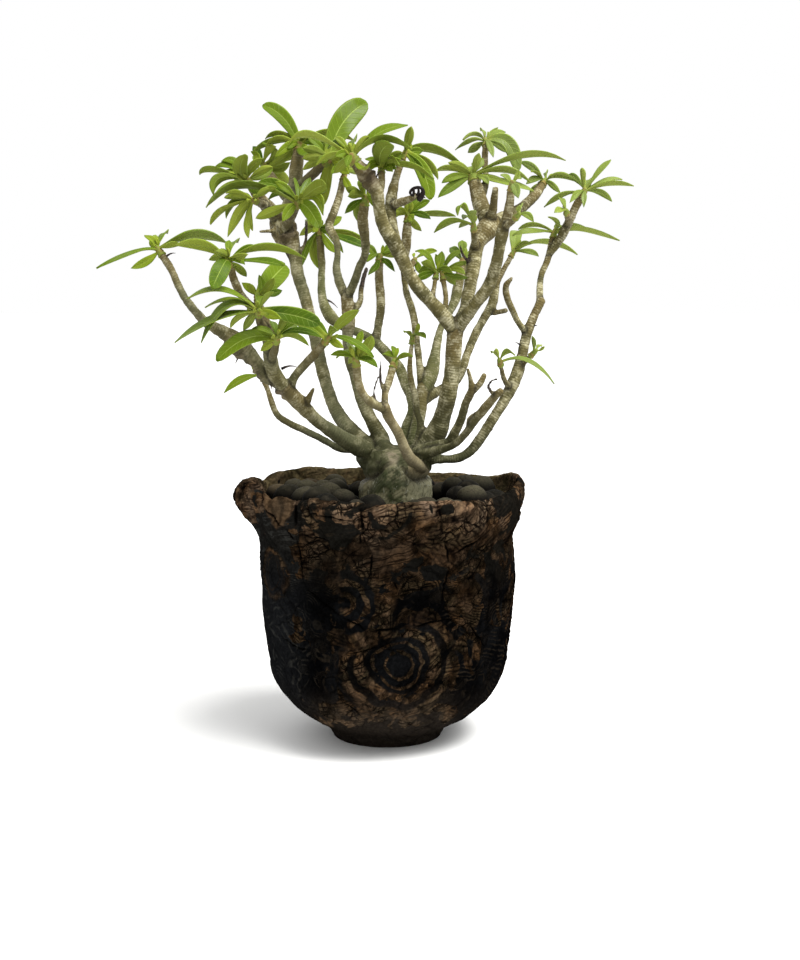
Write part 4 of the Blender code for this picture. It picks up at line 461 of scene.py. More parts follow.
# Short dead thorns: the run that carries them, x and z of root and tip, radius at the root
SPURS = (
    ("far_left", -71.0, 152.5, -67.6, 153.9, 0.35), ("far_left", -46.0, 122.5, -48.5, 118.6, 0.6),
    ("far_left", -50.5, 127.5, -52.6, 124.0, 0.5), ("far_left", -38.0, 113.5, -36.8, 110.2, 0.45),
    ("back_left", -33.5, 163.5, -37.4, 165.4, 0.7), ("back_left", -30.2, 150.5, -32.6, 154.4, 0.55),
    ("trunk_left", -7.0, 178.0, -6.4, 182.4, 0.35), ("trunk_left", -4.2, 176.5, -1.9, 180.4, 0.35),
    ("crossing", -20.0, 139.0, -15.8, 136.4, 0.42), ("trunk_left", 7.0, 146.5, 9.4, 148.6, 0.5),
    ("right", 43.8, 123.0, 41.0, 125.4, 0.45), ("right", 45.5, 130.0, 48.2, 130.6, 0.5),
    ("left", -33.7, 116.9, -28.6, 117.4, 0.4),
)
# Short wooden stubs, in the same terms
STUBS = {
    "rear_knob": ("far_rear", 34.0, 134.6, 38.2, 135.6, 0.95),
}
SPUR_SIDES = 8
SPUR_STEPS = (0.0, 0.25, 0.5, 0.75, 1.0)
SPUR_LEAN = 1.5
SPUR_BEND = 0.12
YOUNG_LENGTH = 26.0

BLADE_STATIONS = 18
BLADE_COLUMNS = 5
# How wide a leaf is along its length: place from root to tip, share of its full width
LEAF_OUTLINE = ((0.0, 0.17), (0.1, 0.22), (0.24, 0.5), (0.4, 0.82), (0.54, 0.98), (0.64, 1.0), (0.77, 0.87),
                (0.87, 0.62), (0.94, 0.35), (0.985, 0.12), (1.0, 0.02))
LEAF_THICKNESS = 0.55
LEAF_FOLD = 0.18
LEAF_SLIMMING = 0.84
# Leaves seen wider than this are fuller towards both ends
BROAD_LEAF = 4.1
BROAD_FULLNESS = 0.45
# Leaves that reach higher than this are a plain mid green
HIGH_LEAF = 196.0
PLAIN_TONE = 0.42
# Leaves with their tip further left than this are seen almost edge on
FAR_TIP = -80.0
FAR_SLIMMING = 0.55
LOW_TIP_FROM = 48.0
LOW_TIP_UNTIL = 120.0
RIGHT_FROM = 20.0
RIGHT_SLIMMING = 0.72
FINE_SHOOT_STEPS = 14
FINE_SHOOT_SIDES = 16
BUD_LEAVES = 3
# From one bud leaf to the next, in radians
BUD_TURN = 2.4
EXTRA_SEED = 41
EXTRA_YOUNG = 4
YOUNG_FROM = -60.0
YOUNG_UNTIL = 16.0
YOUNG_LEAVES = (4.5, 9.0)
YOUNG_WIDTHS = (1.8, 3.0)
YOUNG_SWING = 0.6
# Leaves besides those of the CAD rosettes, in the terms of their rows, by the run that carries them
EXTRA_LEAVES = {
    "back_left_top": (
        (-34.5, 190.5, -39, 188.1, 2.6, -1), (-31.5, 185.5, -38.5, 181.2, 3.6, -1),
        (-25, 186, -19.5, 185.5, 4.5, -1), (-26.5, 184, -27, 179.5, 3, -1),
        (-24, 190.5, -18.5, 190.8, 3, 1), (-30, 183.5, -33, 180.5, 3, 1)),
    "back_left_outer": (
        (-43.5, 181, -39.8, 184.3, 3.5, -1), (-48.5, 183, -53, 183.2, 3, 1), (-40.5, 178.5, -36.5, 181, 3, 1),
        (-43, 174.5, -38, 174, 3.4, -1), (-41.5, 183.5, -43.5, 186.5, 2.5, 1)),
    "back_left_spur": (
        (-38, 186.8, -35.5, 188, 3.4, -1), (-36.5, 183, -32.5, 183.2, 3, 1), (-42, 184, -41, 181, 3, -1),
        (-35.2, 180.8, -31, 183, 3.6, -1), (-35.5, 179.5, -31.3, 176.3, 4, 1)),
    "back_left_inner": (
        (-22.5, 186.5, -27, 187.5, 3.6, -1), (-23, 183, -27, 180.5, 3, -1), (-15, 181.5, -12.2, 179.2, 3, -1),
        (-19.5, 177, -21, 169, 4, 1), (-22, 188.5, -25.5, 191, 2.8, 1), (-17, 187.5, -16, 190.5, 3, 1)),
    "trunk_left": (
        (-24, 191.3, -31.5, 188.9, 3.2, -1), (-17.3, 185.3, -23, 181.8, 2.6, -1),
        (-14, 182.5, -17, 179.5, 3, 1), (-8, 181, -5.5, 182.5, 2.2, -1), (-9, 188, -6.5, 191, 2.4, 1)),
    "trunk_left_inner": (
        (-4.5, 182.5, -6.3, 179.8, 2.8, -1), (1, 183, 4.5, 183.8, 2.6, -1), (-1, 185, -2.5, 188.5, 3, 1)),
    "trunk_left_right": (
        (9.5, 182.5, 12, 178, 3.2, -1), (2.5, 183.2, 0, 181.5, 2.6, -1), (8.5, 186.5, 11.5, 186.5, 2.6, 1)),
    "back_left_front": (
        (-22.5, 171.8, -20.5, 166, 4, -1), (-33.5, 173.5, -38, 171, 3.6, 1), (-26.5, 174.5, -24.5, 178, 3, 1),
        (-31, 168, -33.5, 164, 3.4, -1)),
    "back_left_outer_side": ((-44, 167, -43, 161, 2.6, 1), (-48, 172, -52, 171.5, 2.6, -1)),
    "middle_left": (
        (-15.5, 181.5, -18, 179, 3, -1), (-12, 181, -9, 179, 3, 1), (-13, 176.5, -11, 173.5, 2.8, -1)),
    "middle_right": (
        (-10, 173.5, -13.3, 174.9, 3.5, -1), (-4.5, 171, -2.5, 167.5, 3.4, -1),
        (-10.5, 169.5, -13.5, 166.5, 3, -1), (-5, 173.5, -4.5, 177, 2.8, 1),
        (-9.5, 168, -9, 163.5, 3.2, 1)),
    "crossing": (
        (-18, 163.5, -14.5, 165.5, 3.4, 1), (-25, 161.5, -28, 159.5, 3, 1), (-19, 157, -16.5, 154, 3, -1)),
    "crossing_up": (
        (-4.5, 154.5, -6.5, 157, 3, 1), (0, 155, 2, 157.5, 2.6, 1), (-3.5, 149.5, -6, 147, 2.6, -1)),
    "rear_left": (
        (4, 167.5, 1.5, 164.5, 2.6, 1), (8.5, 163.5, 11, 161, 2.8, 1), (7.5, 169, 6.5, 171.5, 2.4, 1)),
    "trunk_left_rise_a": (
        (13.5, 149, 10, 148, 2.8, 1), (17, 151, 17.5, 154.5, 2.8, 1), (12.5, 147, 9, 145.5, 2.6, -1)),
    "trunk_left_rise_b": (
        (21.5, 146.5, 26, 146, 2.8, -1), (17, 150, 15.5, 153.5, 2.6, 1), (22, 150, 26.5, 151, 2.4, 1)),
    "right_head_left": (
        (24, 181.5, 19.5, 182.8, 3, -1), (28.5, 182.5, 29.5, 186, 2.6, -1), (33, 178, 39, 176, 3, -1)),
    "right_head_rear": ((47.5, 174.5, 46, 171.5, 2.6, -1),),
    "right_head_top": (
        (35.5, 188.5, 38.5, 186, 3, -1), (28.5, 188, 26, 186, 2.6, 1), (33, 191.5, 35.5, 194, 2.2, 1)),
    "left_riser": (
        (-38.5, 142.5, -36, 146, 3, -1), (-43, 142, -46.5, 144.5, 2.8, 1), (-40, 143, -41, 147, 2.6, 1)),
    "left_riser_side": (
        (-44.5, 137.5, -48, 139.5, 2.6, 1), (-38, 134.5, -34, 133, 3, -1), (-43.5, 133, -46, 129, 2.8, 1)),
    "left_riser_low": ((-32, 129, -28.5, 131, 2.4, 1), (-37.5, 125, -40.5, 122.5, 2.6, 1)),
    "left_riser_tip": (
        (-48, 152.5, -44.5, 153.5, 3, -1), (-52, 153.5, -55, 154.5, 2.8, -1),
        (-47.5, 149, -45, 146.5, 2.6, 1)),
    "left_fork": (
        (-18, 129.5, -15.5, 129, 2.6, -1), (-21, 130, -23.5, 132.5, 2.6, 1),
        (-17, 125.5, -14, 123.5, 2.6, -1)),
}
TONE_SEED = 23

BALL_SUBDIVISIONS = 3
BALL_NOISE = 0.08
BALL_SIZES = (0.86, 1.1)
# How far the balls lie below their CAD places: at the back, before the caudex, and drawn for each
BALL_DROP = 1.8
FRONT_DROP = 1.9
LEVEL_DROPS = (-0.6, 0.5)
SUNK_DROPS = (2.8, 3.8)
SUNK_BALLS = 0.38
# How much painted shade darkens a sunk ball all over
SUNK_SHADE = 0.45
# No ball is sunk where the pot is seen into: left of this x and before this y
OPEN_LEFT = -14
OPEN_FRONT = 4
LOWER_BALL_DROP = 4.6
LOWER_BALL_RADIUS = 4.0
# How much painted shade darkens a ball of the lower layer all over
LOWER_BALL_SHADE = 0.75

# The capsule's strips, each by its knots: offset in x and z from the stalk's end, radius
CAPSULE_STRIPS = (
    ((-1.7, -0.5, 0.25), (-2.4, 0.7, 0.42), (-1.5, 1.9, 0.46), (0.0, 2.3, 0.5), (1.3, 2.0, 0.5),
     (1.7, 0.7, 0.7), (0.95, -0.8, 1.0), (0.35, -2.1, 0.62)),
    ((-1.3, 1.9, 0.3), (-1.25, 0.9, 0.42), (-1.5, -0.6, 0.36)),
    ((0.2, 2.0, 0.3), (0.3, 0.8, 0.42), (-0.3, -0.3, 0.36)),
    ((1.6, -0.5, 0.24), (2.1, -0.8, 0.2), (2.5, -1.1, 0.14)),
)
CAPSULE_SIDES = 14
CAPSULE_STEP = 0.35
CAPSULE_PITCH = 0.16
CAPSULE_TRIM = 2


def sight(x, z, depth):
    """The point at this depth that the eye sees at (x, z), and how much larger sizes are there."""
    right = Vector((1.0, 0.0, 0.0))
    up = Vector((0.0, math.sin(EYE_PITCH), math.cos(EYE_PITCH)))
    on_picture = PICTURE_CENTRE + right * (x - PICTURE_X) + up * (z - PICTURE_Z)
    scale = (depth - EYE.y) / (on_picture.y - EYE.y)
    return EYE + (on_picture - EYE) * scale, scale


def bridge_rings(rings, sides):
    """Quads between consecutive rings of equal length; a ring is the index of its first point."""
    faces = []
    for lower, upper in zip(rings, rings[1:]):
        for k in range(sides):
            n = (k + 1) % sides
            faces.append((lower + k, lower + n, upper + n, upper + k))
    return faces


def tube_mesh(points, radii, sides):
    """Points and faces of a round closed tube with flat ends."""
    verts, rings = [], []
    tangent = (points[1] - points[0]).normalized()
    across = tangent.orthogonal().normalized()
    for i, point in enumerate(points):
        before = points[max(i - 1, 0)]
        after = points[min(i + 1, len(points) - 1)]
        tangent = (after - before).normalized()
        across = (across - tangent * across.dot(tangent)).normalized()
        other = tangent.cross(across)
        rings.append(len(verts))
        for k in range(sides):
            turn = 2 * math.pi * k / sides
            verts.append(point + (across * math.cos(turn) + other * math.sin(turn)) * radii[i])
    faces = bridge_rings(rings, sides)
    faces.append(tuple(reversed(range(sides))))
    faces.append(tuple(range(rings[-1], rings[-1] + sides)))
    return verts, faces


def turn_from(azimuth, middle):
    """The signed turn in degrees from a middle azimuth to this one."""
    return (azimuth - middle + 180) % 360 - 180


def mound(across, up, half_width, half_height):
    """1 at the middle of a soft mound, falling to 0 around it."""
    return math.exp(-(across / half_width) ** 2 - (up / half_height) ** 2)


def swellings(azimuth, z, lumps, total=0.0):
    """The total with the rise of all these lumps at this azimuth and height added to it."""
    for lump_azimuth, lump_z, half_width, half_height, rise in lumps:
        total += rise * mound(turn_from(azimuth, lump_azimuth), z - lump_z, half_width, half_height)
    return total


def lump_height(azimuth, z):
    """How far the pot's wall stands out at this azimuth in degrees and height."""
    wave = 0.5 * math.sin(math.radians(3 * azimuth) + z / 17)
    wave += 0.35 * math.sin(math.radians(5 * azimuth) - z / 11)
    return swellings(azimuth, z, POT_LUMPS, wave * min(1.0, max(0.0, z / 12)))


def rim_wave(azimuth):
    turn = math.radians(azimuth)
    return 0.9 * math.sin(2 * turn + 0.6) + 0.55 * math.sin(5 * turn + 2.1) + 0.3 * math.sin(9 * turn)


def caudex_radii(z):
    """Half the caudex's width and depth at this height."""
    for lower, upper in zip(CAUDEX_RINGS, CAUDEX_RINGS[1:]):
        if z <= upper[0]:
            share = (z - lower[0]) / (upper[0] - lower[0])
            return tuple(lower[i] + share * (upper[i] - lower[i]) for i in (1, 2))
    return CAUDEX_RINGS[-1][1:]


def pebble_places():
    """Places, heights and sizes of the top dressing's clay balls: close rows, each ball jostled."""
    draw = random.Random(PEBBLE_SEED)
    row_spacing = PEBBLE_SPACING * math.sqrt(3) / 2
    rows = int(PEBBLE_LIMIT_RADIUS / row_spacing) + 1
    half_x, half_y = caudex_radii(80)
    places = []
    for row in range(-rows, rows + 1):
        for column in range(-rows, rows + 1):
            x = (column + 0.5 * (row % 2)) * PEBBLE_SPACING + draw.uniform(-1, 1) * PEBBLE_JITTER
            y = row * row_spacing + draw.uniform(-1, 1) * PEBBLE_JITTER
            radius = draw.uniform(*PEBBLE_RADII)
            z = max(BED_TOP + 1.0 + draw.uniform(-0.9, 1.1), SUBSTRATE_TOP + 2 * SEAT_GAP + radius)
            beside_caudex = math.hypot((x - CAUDEX_X) / (half_x + radius + 0.6),
                                       (y - CAUDEX_Y) / (half_y + radius + 0.6))
            if beside_caudex > 1 and math.hypot(x, y) + radius < PEBBLE_LIMIT_RADIUS:
                places.append((x, y, z, radius))
    return places


def nearest_on_run(path, x, z):
    """The (x, z, depth, radius) of a run's path nearest to (x, z) on the picture plane."""
    best = None
    for start, end in zip(path, path[1:]):
        dx, dz = end[0] - start[0], end[1] - start[1]
        share = ((x - start[0]) * dx + (z - start[1]) * dz) / (dx * dx + dz * dz)
        share = min(1.0, max(0.0, share))
        found = tuple(start[i] + share * (end[i] - start[i]) for i in range(4))
        away = math.hypot(found[0] - x, found[1] - z)
        if best is None or away < best[0]:
            best = (away, found)
    return best[1]


def spread_depths(points, depths):
    """Each point's depth: the knots in depths are spread evenly along the run's length."""
    lengths = [0.0]
    for start, end in zip(points, points[1:]):
        lengths.append(lengths[-1] + math.hypot(end[0] - start[0], end[1] - start[1]))
    result = []
    for length in lengths:
        place = length / lengths[-1] * (len(depths) - 1)
        knot = min(int(place), len(depths) - 2)
        result.append(depths[knot] + (place - knot) * (depths[knot + 1] - depths[knot]))
    return result


def trace_runs():
    """Each run's path as (x, z, depth, radius) points, in the order that the runs grow."""
    paths = {}
    for name, run in RUNS.items():
        points = list(run.points)
        depths = [depth * DEPTH_SPREAD for depth in run.depths]
        if run.parent:
            x, z, depth, _ = nearest_on_run(paths[run.parent], *points[0][:2])
            points[0] = (x, z, points[0][2])
            depths.insert(0, depth)
        paths[name] = [(x, z, depth, radius)
                       for (x, z, radius), depth in zip(points, spread_depths(points, depths))]
    return paths


def without_straight_points(path):
    """The path without the points that lie nearly on the line between their neighbours."""
    kept = [path[0]]
    for point, after in zip(path[1:], path[2:]):
        share = (point[1] - kept[-1][1]) / (after[1] - kept[-1][1]) if after[1] != kept[-1][1] else 0.5
        share = min(1.0, max(0.0, share))
        bend = max(abs(kept[-1][i] + share * (after[i] - kept[-1][i]) - point[i]) for i in (0, 2, 3))
        if bend > STRAIGHT_WITHIN or len(kept) == 1 and len(path) < 5:
            kept.append(point)
    return kept + [path[-1]]


def wood_line(path):
    """A run's path as points in space with the radius at each."""
    points, radii = [], []
    for x, z, depth, radius in without_straight_points(path):
        point, scale = sight(x, z, depth)
        points.append(point)
        radii.append(radius * scale)
    return points, radii


def run_sides(radii):
    thickest = max(radii)
    if thickest > 2.4:
        return 7
    return 6 if thickest > 1.5 else 5


def shoot_frame(rosette, path):
    """The leafy tip's foot, direction, length, foot radius and heart, beyond the end of its run."""
    points, radii = wood_line(path)
    direction = (points[-1] - points[-2]).normalized()
    heart, _ = sight(*rosette.heart, path[-1][2] + direction.y * 1.5)
    foot = points[-1] + direction * SEAT_GAP
    length = max(SHOOT_LEAST_LENGTH, (heart - foot).dot(direction) + SHOOT_PAST_HEART)
    return foot, direction, length, max(radii[-1], SHOOT_LEAST_RADIUS)


def shoot_mesh(foot, direction, length, radius):
    return tube_mesh([foot, foot + direction * length], [radius * 1.1, radius * 0.6], SHOOT_SIDES)


def leaf_points(leaf):
    """A leaf's middle and tip on the picture plane, its seen width and its side."""
    if len(leaf) == 6:
        return leaf[0:2], leaf[2:4], leaf[4], leaf[5]
    return None, leaf[0:2], leaf[2], leaf[3]


def aim_leaf(root, root_depth, heart, leaf, swing, lift):
    """The leaf's root, middle and tip in space, its width, and how wide the eye sees it."""
    middle, tip, seen_width, side = leaf_points(leaf)
    flat_length = math.hypot(tip[0] - heart[0], tip[1] - heart[1])
    full_length = max(flat_length, LEAF_LENGTH_PER_SEEN_WIDTH * seen_width, LEAF_LEAST_LENGTH)
    reach = side * swing * (0.85 * math.sqrt(full_length ** 2 - flat_length ** 2) + 0.14 * flat_length + 1.0)
    tip_point, scale = sight(tip[0], tip[1] + lift, root_depth + reach)
    if middle:
        middle_point, _ = sight(middle[0], middle[1] + lift / 2, root_depth + reach * 0.45)
    else:
        middle_point = (root + tip_point) / 2 + Vector((0, 0, 0.11 * (tip_point - root).length))
    length = (middle_point - root).length + (tip_point - middle_point).length
    width = max(min(LEAF_WIDTH_PER_LENGTH * length, LEAF_WIDEST), LEAF_NARROWEST, seen_width * scale)
    return root, middle_point, tip_point, width, seen_width * scale


def blade_curve(root, middle, tip, u):
    """The point and direction of the blade's centre line at u, from 0 at the root to 1 at the tip."""
    bend = middle * 2 - (root + tip) / 2
    centre = root * (1 - u) ** 2 + bend * (2 * u * (1 - u)) + tip * u ** 2
    return centre, ((bend - root) * (1 - u) + (tip - bend) * u).normalized()


def blade_side(aim):
    """The direction across the blade at its middle: turned to the width seen, upper face up."""
    root, middle, tip, width, seen_width = aim
    centre, tangent = blade_curve(root, middle, tip, 0.5)
    flat_on = (centre - EYE).cross(tangent).normalized()
    edge_on = tangent.cross(flat_on).normalized()
    turn = math.acos(min(1.0, seen_width / width))
    choices = [flat_on * math.cos(turn) + edge_on * math.sin(turn),
               flat_on * math.cos(turn) - edge_on * math.sin(turn)]
    across = max(choices, key=lambda side: abs(side.cross(tangent).z))
    return across if across.cross(tangent).z > 0 else -across


def blade_mesh(aim, grow=0.0):
    """A thin closed blade with a low fold along its middle, each side split alike above and below."""
    root, middle, tip, width, _ = aim
    length = (middle - root).length + (tip - middle).length
    stations = SMALL_BLADE if length < SMALL_LEAF else LONG_BLADE
    half_thickness = BLADE_THICKNESS / 2 + grow
    side = blade_side(aim)
    verts, faces = [], []
    for u, share in stations:
        centre, tangent = blade_curve(root, middle, tip, u)
        across = (side - tangent * side.dot(tangent)).normalized()
        face = across.cross(tangent)
        half_width = share * width / 2 + grow
        fold = face * (BLADE_FOLD * half_width)
        verts += [centre - across * half_width + fold, centre + face * half_thickness,
                  centre + across * half_width + fold, centre - face * half_thickness]
    for here in range(0, 4 * len(stations) - 4, 4):
        there = here + 4
        for edge in (0, 2):
            for ridge in (1, 3):
                faces.append((here + edge, here + ridge, there + ridge))
                faces.append((here + edge, there + ridge, there + edge))
    last = 4 * (len(stations) - 1)
    verts.append(tip + (tip - middle).normalized() * grow)
    faces += [(last + k, last + (k + 1) % 4, last + 4) for k in range(4)]
    faces += [(0, 1, 3), (1, 2, 3)]
    return verts, faces


def search_tree(verts, faces):
    triangles = [(face[0], face[k], face[k + 1]) for face in faces for k in range(1, len(face) - 1)]
    return BVHTree.FromPolygons(verts, triangles, all_triangles=True)


def rear_leaves(rosette, draw):
    """Leaves on the far side of a full rosette, in the same terms as its other leaves."""
    added = []
    if len(rosette.leaves) < FULL_ROSETTE:
        return added
    for _ in range(2 if len(rosette.leaves) > RICH_ROSETTE else 1):
        length = draw.uniform(*REAR_LEAF_LENGTHS)
        sideways = draw.uniform(-0.32, 0.32) * length
        rise = draw.uniform(0.12, 0.4) * length
        reach = math.sqrt(length ** 2 - sideways ** 2 - rise ** 2)
        added.append((sideways, rise, reach))
    return added


def aim_rear_leaf(root, root_depth, heart, added, swing, lift):
    sideways, rise, reach = added
    depth = root_depth + reach * min(swing, 1.2)
    tip, scale = sight(heart[0] + sideways * (2 - swing), heart[1] + rise + lift, depth)
    middle = (root + tip) / 2 + Vector((0, 0, 0.12 * (tip - root).length))
    length = (tip - root).length * 1.05
    width = min(LEAF_WIDTH_PER_LENGTH * length, LEAF_WIDEST)
    return root, middle, tip, width, width * 0.45 * scale


def wood_trees(paths):
    """A search tree for the plain tube of each run of wood."""
    trees = []
    for path in paths.values():
        points, radii = wood_line(path)
        trees.append(search_tree(*tube_mesh(points, radii, run_sides(radii))))
    return trees


def first_clear(aims, obstacles, grow=0.0):
    """The first of these aims whose blade is clear of every obstacle, or None."""
    for aim in aims:
        tree = search_tree(*blade_mesh(aim, grow))
        if not any(tree.overlap(other) for other in obstacles):
            return aim
    return None


def place_leaves(paths):
    """For each rosette, its shoot frame and the aims of its leaves, all clear of every neighbour."""
    branch_trees = wood_trees(paths)
    frames = [shoot_frame(rosette, paths[rosette.run]) for rosette in ROSETTES]
    shoot_trees = [search_tree(*shoot_mesh(*frame)) for frame in frames]
    rear_draw = random.Random(REAR_LEAVES_SEED)
    placed_trees = []
    result = []
    for index, (rosette, frame) in enumerate(zip(ROSETTES, frames)):
        foot, direction, length, _ = frame
        others = shoot_trees[:index] + shoot_trees[index + 1:]
        tasks = [(aim_leaf, leaf) for leaf in rosette.leaves]
        tasks += [(aim_rear_leaf, added) for added in rear_leaves(rosette, rear_draw)]
        aims, own_trees = [], []
        for order, (aim_function, leaf) in enumerate(tasks):
            height = 0.5 + 0.35 * order / max(1, len(tasks) - 1)
            root = foot + direction * (length * height)
            root_depth = paths[rosette.run][-1][2]
            tries = (aim_function(root, root_depth, rosette.heart, leaf, swing, lift)
                     for lift in LIFTS for swing in SWINGS)
            chosen = first_clear(tries, branch_trees + others + placed_trees, CLEARANCE)
            if chosen:
                aims.append(chosen)
                own_trees.append(search_tree(*blade_mesh(chosen)))
        placed_trees += own_trees
        result.append((frame, aims))
    return result


def catmull(before, start, end, after, share):
    """The tuple at this share of the way from start to end on a smooth curve."""
    blend = (share * (share * (2 - share) - 1), share * share * (3 * share - 5) + 2,
             share * (share * (4 - 3 * share) + 1), share * share * (share - 1))
    knots = (before, start, end, after)
    return tuple(0.5 * sum(b * knot[i] for b, knot in zip(blend, knots)) for i in range(len(start)))


def smooth_through(knots, pitch, place_size):
    """Points about a pitch apart on a smooth curve; the first place_size numbers of a knot are its place."""
    ends = [knots[0]] + list(knots) + [knots[-1]]
    points = []
    for before, start, end, after in zip(ends, ends[1:], ends[2:], ends[3:]):
        steps = max(1, round(math.dist(start[:place_size], end[:place_size]) / pitch))
        points += [catmull(before, start, end, after, step / steps) for step in range(steps)]
    return points + [tuple(knots[-1])]


def between(table, place):
    """The value at this place of a table of (place, value) pairs, on straight lines between them."""
    for (low, low_value), (high, high_value) in zip(table, table[1:]):
        if place <= high:
            share = (place - low) / (high - low)
            return low_value + (high_value - low_value) * share
    return table[-1][1]


def eased(value, low, high):
    """0 below low and 1 above high, with a soft step between."""
    share = min(1.0, max(0.0, (value - low) / (high - low)))
    return share * share * (3 - 2 * share)


def link_new(name, data):
    """A new object with this data, in the scene."""
    made = bpy.data.objects.new(name, data)
    bpy.context.scene.collection.objects.link(made)
    return made


def new_object(name, points, faces):
    mesh = bpy.data.meshes.new(name)
    mesh.from_pydata([Vector(p) * METRES_PER_MM for p in points], [], faces)
    return link_new(name, mesh)


def join(verts, faces, part):
    """Add a part's points and faces to those of its piece."""
    part_verts, part_faces = part
    faces += [tuple(index + len(verts) for index in face) for face in part_faces]
    verts += part_verts


def face_outwards(piece):
    shape = bmesh.new()
    shape.from_mesh(piece.data)
    bmesh.ops.recalc_face_normals(shape, faces=shape.faces)
    shape.to_mesh(piece.data)
    shape.free()


def store(piece, name, values):
    """Keep one number per point on the piece's mesh, for its material to read."""
    layer = piece.data.attributes.get(name) or piece.data.attributes.new(name, "FLOAT", "POINT")
    layer.data.foreach_set("value", values)


def freeze(piece):
    """Apply the piece's modifiers."""
    depsgraph = bpy.context.evaluated_depsgraph_get()
    mesh = bpy.data.meshes.new_from_object(piece.evaluated_get(depsgraph))
    piece.modifiers.clear()
    piece.data = mesh


def finish_piece(piece, material, slot, *nodes):
    """Smooth shading, material, and the frame's calls for a piece that stands for CAD nodes."""
    piece.data.materials.clear()
    piece.data.materials.append(material)
    piece.data.shade_smooth()
    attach(piece, "root")
    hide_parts(*nodes)


class Tree:
    """Short calls that add linked nodes to one node tree, for a material or for a modifier."""

    def __init__(self, tree):
        self.tree = tree

    def feed(self, socket, value):
        if isinstance(value, bpy.types.NodeSocket):
            self.tree.links.new(value, socket)
        else:
            socket.default_value = value

    def node(self, kind, *values, **settings):
        made = self.tree.nodes.new(kind)
        for name, value in settings.items():
            setattr(made, name, value)
        for socket, value in zip(made.inputs, values):
            if value is not None:
                self.feed(socket, value)
        return made

    def math(self, operation, *values):
        return self.node("ShaderNodeMath", *values, operation=operation).outputs[0]

    def add(self, *values):
        total = values[0]
        for value in values[1:]:
            total = self.math("ADD", total, value)
        return total

    def times(self, *values):
        total = values[0]
        for value in values[1:]:
            total = self.math("MULTIPLY", total, value)
        return total

    def vector(self, operation, *values):
        made = self.node("ShaderNodeVectorMath", *values, operation=operation)
        return made.outputs["Value" if operation in ("DISTANCE", "LENGTH", "DOT_PRODUCT") else "Vector"]

    def scaled(self, place, factor):
        made = self.node("ShaderNodeVectorMath", place, operation="SCALE")
        self.feed(made.inputs["Scale"], factor)
        return made.outputs["Vector"]

    def parts(self, place):
        return self.node("ShaderNodeSeparateXYZ", place).outputs

    def step(self, value, low, high, below=0.0, above=1.0):
        """A soft step from below to above as the value goes from low to high."""
        return self.node("ShaderNodeMapRange", value, low, high, below, above,
                         interpolation_type="SMOOTHSTEP").outputs[0]

    def noise(self, place, size, detail=2.0, roughness=0.5, colour=False):
        """Noise with features of this size in millimetres."""
        made = self.node("ShaderNodeTexNoise", noise_dimensions="3D")
        settings = {"Vector": place, "Scale": 1 / size, "Detail": detail, "Roughness": roughness}
        for name, value in settings.items():
            self.feed(made.inputs[name], value)
        return made.outputs[1 if colour else 0]

    def warped(self, place, size, amount, detail=1.0):
        """The place pushed about by noise, by up to about this many millimetres."""
        push = self.vector("SUBTRACT", self.noise(place, size, detail, colour=True), (0.5, 0.5, 0.5))
        return self.vector("ADD", place, self.scaled(push, 2 * amount))

    def cells(self, place, size):
        """Distance to the edge of irregular cells of this size, in millimetres."""
        made = self.node("ShaderNodeTexVoronoi", voronoi_dimensions="3D", feature="DISTANCE_TO_EDGE")
        self.feed(made.inputs["Vector"], place)
        self.feed(made.inputs["Scale"], 1 / size)
        return self.times(made.outputs["Distance"], size)

    def cell_colour(self, place, size):
        """A colour of its own for each of the cells of this size."""
        made = self.node("ShaderNodeTexVoronoi", voronoi_dimensions="3D")
        self.feed(made.inputs["Vector"], place)
        self.feed(made.inputs["Scale"], 1 / size)
        return made.outputs["Color"]

    def mix(self, factor, first, second, blend="MIX"):
        """A colour between two colours."""
        made = self.node("ShaderNodeMix", data_type="RGBA", blend_type=blend, clamp_factor=True)
        self.feed(made.inputs[0], factor)
        self.feed(made.inputs[6], first)
        self.feed(made.inputs[7], second)
        return made.outputs[2]

    def lerp(self, factor, first, second):
        """A number between two numbers."""
        made = self.node("ShaderNodeMix", data_type="FLOAT", clamp_factor=True)
        self.feed(made.inputs[0], factor)
        self.feed(made.inputs[2], first)
        self.feed(made.inputs[3], second)
        return made.outputs[0]

    def attribute(self, name):
        return self.node("ShaderNodeAttribute", attribute_name=name)

    def object_place(self):
        """The place on the object, in millimetres."""
        return self.scaled(self.node("ShaderNodeTexCoord").outputs["Object"], 1 / METRES_PER_MM)

    def number(self, name):
        """The number that the mesh keeps under this name."""
        return self.attribute(name).outputs["Fac"]

    def shade(self, colour, factor):
        """The colour times a factor."""
        grey = self.node("ShaderNodeCombineColor", factor, factor, factor).outputs[0]
        return self.mix(1.0, colour, grey, "MULTIPLY")

    def bump(self, height, distance, strength=1.0):
        made = self.node("ShaderNodeBump")
        made.inputs["Strength"].default_value = strength
        made.inputs["Distance"].default_value = distance * METRES_PER_MM
        self.feed(made.inputs["Height"], height)
        return made.outputs[0]


def shader_tree(name):
    """A new material, its tree and its Principled shader."""
    material = bpy.data.materials.new(name)
    material.use_nodes = True
    return material, Tree(material.node_tree), material.node_tree.nodes["Principled BSDF"]


def rgb(red, green, blue):
    return (red, green, blue, 1.0)


